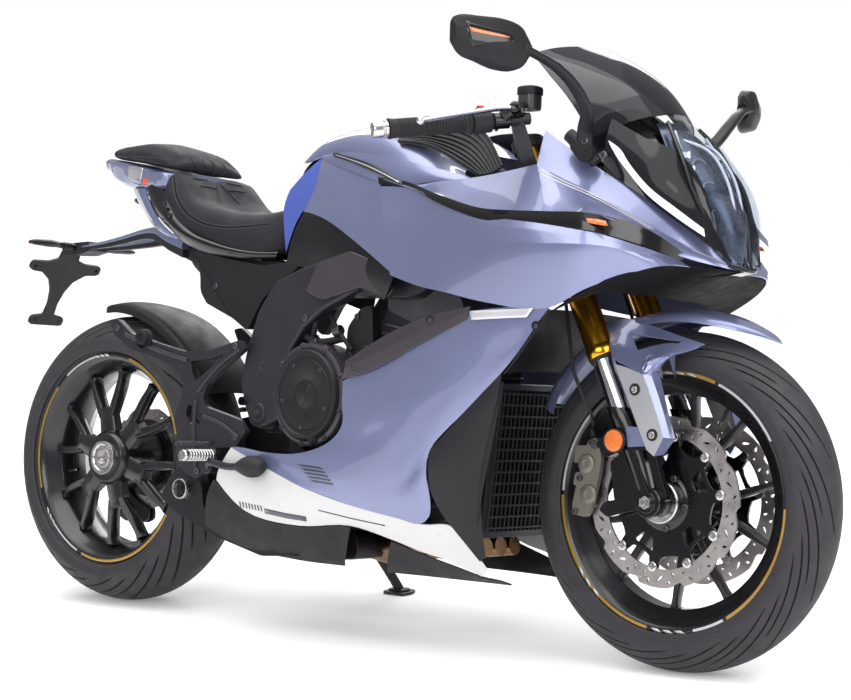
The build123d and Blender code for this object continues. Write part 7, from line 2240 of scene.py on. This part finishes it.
p = Piece()
p.add(patch(inward(LRX, 26, 0.9), 6, 8), 0)
p.make("headlight_shell", "chassis", "plastic_gloss", ["lamp_base"], solid=2.5, core=(600, 0, 840), bevel=0.6)
p = Piece()
for s in (-1, 1):
    for (x, y, z, r_) in ((752, 42, 882, 17), (778, 46, 838, 19), (790, 44, 790, 17), (790, 34, 746, 12)):
        ax = (0.92, s * 0.22, 0.12)
        o_ = (x, s * y, z)
        p.add(lathe([(-22, r_ * .5), (-14, r_ * .8), (-2, r_), (0, r_ + 1.6), (1.5, r_ + 1.6), (1.5, r_ - .6), (-6, r_ * .84), (-10, r_ * .5), (-11, .1)], o_, ax, 20), 0)
        p.add(lathe([(-9, r_ * .62), (-3, r_ * .6), (2, r_ * .42), (4, .1)], o_, ax, 16), 1)
    for k in range(6):
        t = k / 5
        a_ = (736 + 52 * t, s * (66 - 4 * t), 904 - 128 * t)
        p.add(loft([[(a_[0] - 6, a_[1] - s * 5, a_[2] + 6), (a_[0] + 5, a_[1] - s * 9, a_[2] + 7), (a_[0] + 7, a_[1] - s * 8, a_[2] - 6), (a_[0] - 4, a_[1] - s * 3, a_[2] - 7)],
                    [(a_[0] - 6, a_[1] - s * 2, a_[2] + 5), (a_[0] + 3, a_[1] - s * 5, a_[2] + 5), (a_[0] + 4, a_[1] - s * 5, a_[2] - 5), (a_[0] - 4, a_[1], a_[2] - 5)]]), 0)
    p.add(sweep([(712, s * 34, 934), (752, s * 16, 916), (788, s * 14, 868), (806, s * 13, 810), (808, s * 11, 750)], 3.0, 10, 6), 2)
    p.add(sweep([(706, s * 52, 948), (730, s * 68, 906), (756, s * 72, 852), (776, s * 66, 796), (786, s * 52, 742)], 3.2, 10, 6), 2)
p.make("headlight_units", "chassis", "lens_clear", ["reflector_chrome", "lens", "white_led"], bevel=0.4)
# dark frame round the lens
p = Piece()
for s in (-1, 1):
    p.add(sweep([(x + 1, s * abs(y) * 1.0, z) for x, y, z in [r_[0] for r_ in LRX]], [3.5, 4.5, 5, 5, 5, 5], 10, 5), 0)
p.add(sweep([(812, -35, 712), (834, -16, 706), (839, 0, 704), (834, 16, 706), (812, 35, 712)], 5.0, 10, 5), 0)
p.add(plate(rounded([(770, 712), (806, 712), (836, 708), (838, 702), (806, 696), (766, 700)], 4), -18, 18), 0)
p.make("headlight_frame", "chassis", "plastic_gloss", ["gloss_black"], bevel=0.5)

# ---- underside of the nose: black plastic made near-black, painted shade under the nose
CH = [
    [px(552, 312, -256), px(594, 286.5, -254), px(650, 268.5, -198), px(690, 267.5, -99), px(716, 270, -58), px(738, 273, -22)],
    [(638, -184, 655), (660, -166, 660), (696, -140, 670), (735, -82, 684), (764, -44, 692), (784, -18, 698)],
    [(642, -92, 660), (664, -84, 663), (702, -70, 671), (742, -42, 684), (770, -22, 692), (788, -9, 697)],
    [(644, 0, 662), (666, 0, 666), (706, 0, 673), (746, 0, 684), (774, 0, 692), (790, 0, 696)],
]
sides(lambda: [(patch(CH, 6, 5), 0)], "nose_floor", "plastic_black", ["painted_shade_black"], {"right": "nose_underside"}, solid=2.6, core=(690, 0, 800), bevel=0.8, seg=2, limit=26)

# ---- mirrors
STK = [(600, 174, 905), (606, 184, 936), (628, 212, 962), (633, 250, 996), (626, 300, 1028), (612, 350, 1046), (606, 378, 1052)]
GLASS = [(0, 1)]
for s, side in ((-1, "right"), (1, "left")):
    p = Piece()
    secs = []
    for y, x0, x1, z0, z1 in ((364, 594, 616, 1024, 1080), (378, 582, 618, 1014, 1090), (410, 566, 610, 1012, 1098), (450, 556, 592, 1020, 1098), (484, 550, 574, 1028, 1095), (499, 550, 564, 1040, 1088)):
        sq = [(x0, z0 + 8), (x0, z1 - 8), (x0 + 6, z1), (x1 - 10, z1 - 4), (x1, (z0 + z1) / 2 + 8), (x1, (z0 + z1) / 2 - 10), (x1 - 10, z0 + 4), (x0 + 6, z0)]
        q = rounded(sq, 5, 3)
        secs.append([(a, s * y, b) for a, b in q])
    p.add(loft(secs, k=4), 0)
    mir = p.make("mirror_head_" + side, "chassis", "plastic_black", ["plastic"], "mirror_" + side, bevel=2.0, seg=3, limit=28)
    p = Piece()
    sec_ = [(math.copysign(abs(math.cos(t)) ** .8, math.cos(t)), 0.62 * math.copysign(abs(math.sin(t)) ** .8, math.sin(t))) for t in np.linspace(0, 2 * math.pi, 20, endpoint=False)]
    p.add(sweep([(a, s * b, c) for a, b, c in STK], [16, 15, 13, 12.5, 11.5, 10.5, 12], 20, 6, section=sec_), 0)
    p.add(lathe([(-12, .1), (-12, 14), (10, 14), (12, 12), (12, .1)], (604, s * 372, 1052), (0.2, s, 0.1), 28), 0)
    foot_ = [(575, 935), (600, 926), (622, 905), (620, 888), (598, 884), (574, 910)]
    p.add(plate(rounded(foot_, 6), s * 168, s * 184), 0)
    p.add(sweep([(566, s * 176, 936), (590, s * 172, 916), (618, s * 164, 884)], [12, 14, 11], 16, 5), 0)
    for (u, v) in ((585, 141), (603.5, 155)):
        q = px(u, v, -186)
        p.add(bolt((q[0], s * 184, q[2]), (0, s, 0), 6.5, 5), 1)
    p.make("mirror_stalk_" + side, "chassis", "plastic_black", ["plastic_fine", "steel_dark"], bevel=1.0, limit=36)
    # glass set into the rear face
    p = Piece()
    gl = [(378, 1022), (378, 1082), (400, 1092), (448, 1092), (482, 1088), (492, 1078), (490, 1048), (478, 1034), (440, 1024)]
    gx = {y: x for y, x in ((364, 594), (378, 582), (410, 566), (450, 556), (484, 550), (499, 550))}
    ys_, xs_ = [364, 378, 410, 450, 484, 499], [594, 582, 566, 556, 550, 550]
    front = [(float(np.interp(y, ys_, xs_)) - 0.8, s * y, z) for y, z in gl]
    back = [(a + 6, b, c) for a, b, c in front]
    p.add(loft([front, back]), 0)
    p.make("mirror_glass_" + side, "chassis", "lever_silver", ["mirror_glass"], bevel=0.4)
    if s < 0:
        bpy.context.view_layer.update()
        TM = tree(mir)
        amber_ = cast_net(TM, [[(469, 27), (488, 31.5), (509, 36.5)], [(471, 31), (488, 34.5), (509.5, 38)]], 1.2)
        dark_ = cast_net(TM, [[(466, 20.5), (488, 26.5), (513, 33.5)], [(468, 33), (488, 38), (514, 40)], [(473, 47), (488, 43), (513.5, 42)]], 0.3)
    p = Piece()
    if dark_ is not None:
        p.add(dark_ if s < 0 else mirror(dark_), 1)
    if amber_ is not None:
        p.add(amber_ if s < 0 else mirror(amber_), 0)
    if p.v:
        p.make("mirror_blinker_" + side, "chassis", "lens_clear", ["amber", "gloss_black"], solid=0.8, core=(540, s * 430, 1055), angle=50)

# ---- instrument panel
p = Piece()
p.add(loft([[(560, -84, 890), (560, -84, 900), (556, -70, 914), (552, -40, 926), (550, 0, 930), (552, 40, 926), (556, 70, 914), (560, 84, 900), (560, 84, 890)],
            [(640, -80, 892), (640, -80, 904), (636, -60, 930), (634, -36, 940), (634, 0, 944), (634, 36, 940), (636, 60, 930), (640, 80, 904), (640, 80, 892)]], k=2), 0)
p.add(slab(rounded([(-58, 0), (58, 0), (64, 34), (52, 44), (-52, 44), (-64, 34)], 6), (562, 0, 896), (0, 1, 0), (0.25, 0, 0.97), (-0.97, 0, 0.25), 4, 12), 0)
p.add(slab(rounded([(-50, 5), (50, 5), (55, 32), (46, 39), (-46, 39), (-55, 32)], 4), (562, 0, 896), (0, 1, 0), (0.25, 0, 0.97), (-0.97, 0, 0.25), 12, 13), 1)
p.make("dash_unit", "chassis", "plastic_black", ["plastic_fine", "gloss_black"], "dash_panel", bevel=1.6, seg=2, limit=30)

# ---- ribbed covers at the sides of the cockpit
LOW_ = [(398, 142, -158), (430, 147, -164), (462, 166, -172), (480, 176, -178)]
HIGH_ = [(402, 128, -112), (432, 119, -112), (476, 124, -118), (503, 166, -160)]


def ribbed():
    rows_ = [[tuple(np.array(px(*a)) * (1 - t) + np.array(px(*b)) * t - np.array([0, 0, 6 * math.sin(math.pi * t)])) for a, b in zip(LOW_, HIGH_)] for t in (0, .5, 1)]
    return [(patch(rows_, 5, 6), 0)]


def ribs():
    out = []
    for k in range(9):
        t = (k + .5) / 9
        L = [tuple(np.array(px(*a)) * (1 - t) + np.array(px(*b)) * t + np.array([0, 0, 2 - 6 * math.sin(math.pi * t)])) for a, b in zip(LOW_, HIGH_)]
        out.append(sweep(L, 2.4, 8, 6))
    return [(join(*out), 0)]


sides(ribbed, "cockpit_cover", "plastic_black", ["plastic_fine"], solid=2.5, core=(300, 0, 820), bevel=0.5)
sides(ribs, "cockpit_ribs", "plastic_black", ["plastic_fine"], angle=50)
# inner wall of the cockpit, dark
sides(lambda: [(patch([[(306, -120, 880), (400, -150, 872), (500, -160, 872), (560, -160, 880)], [(300, -100, 840), (400, -140, 830), (500, -156, 820), (580, -150, 820)]], 4, 5), 0)],
      "cockpit_wall", "plastic_black", ["plastic"], solid=2.4, core=(430, 0, 850), bevel=0.5)
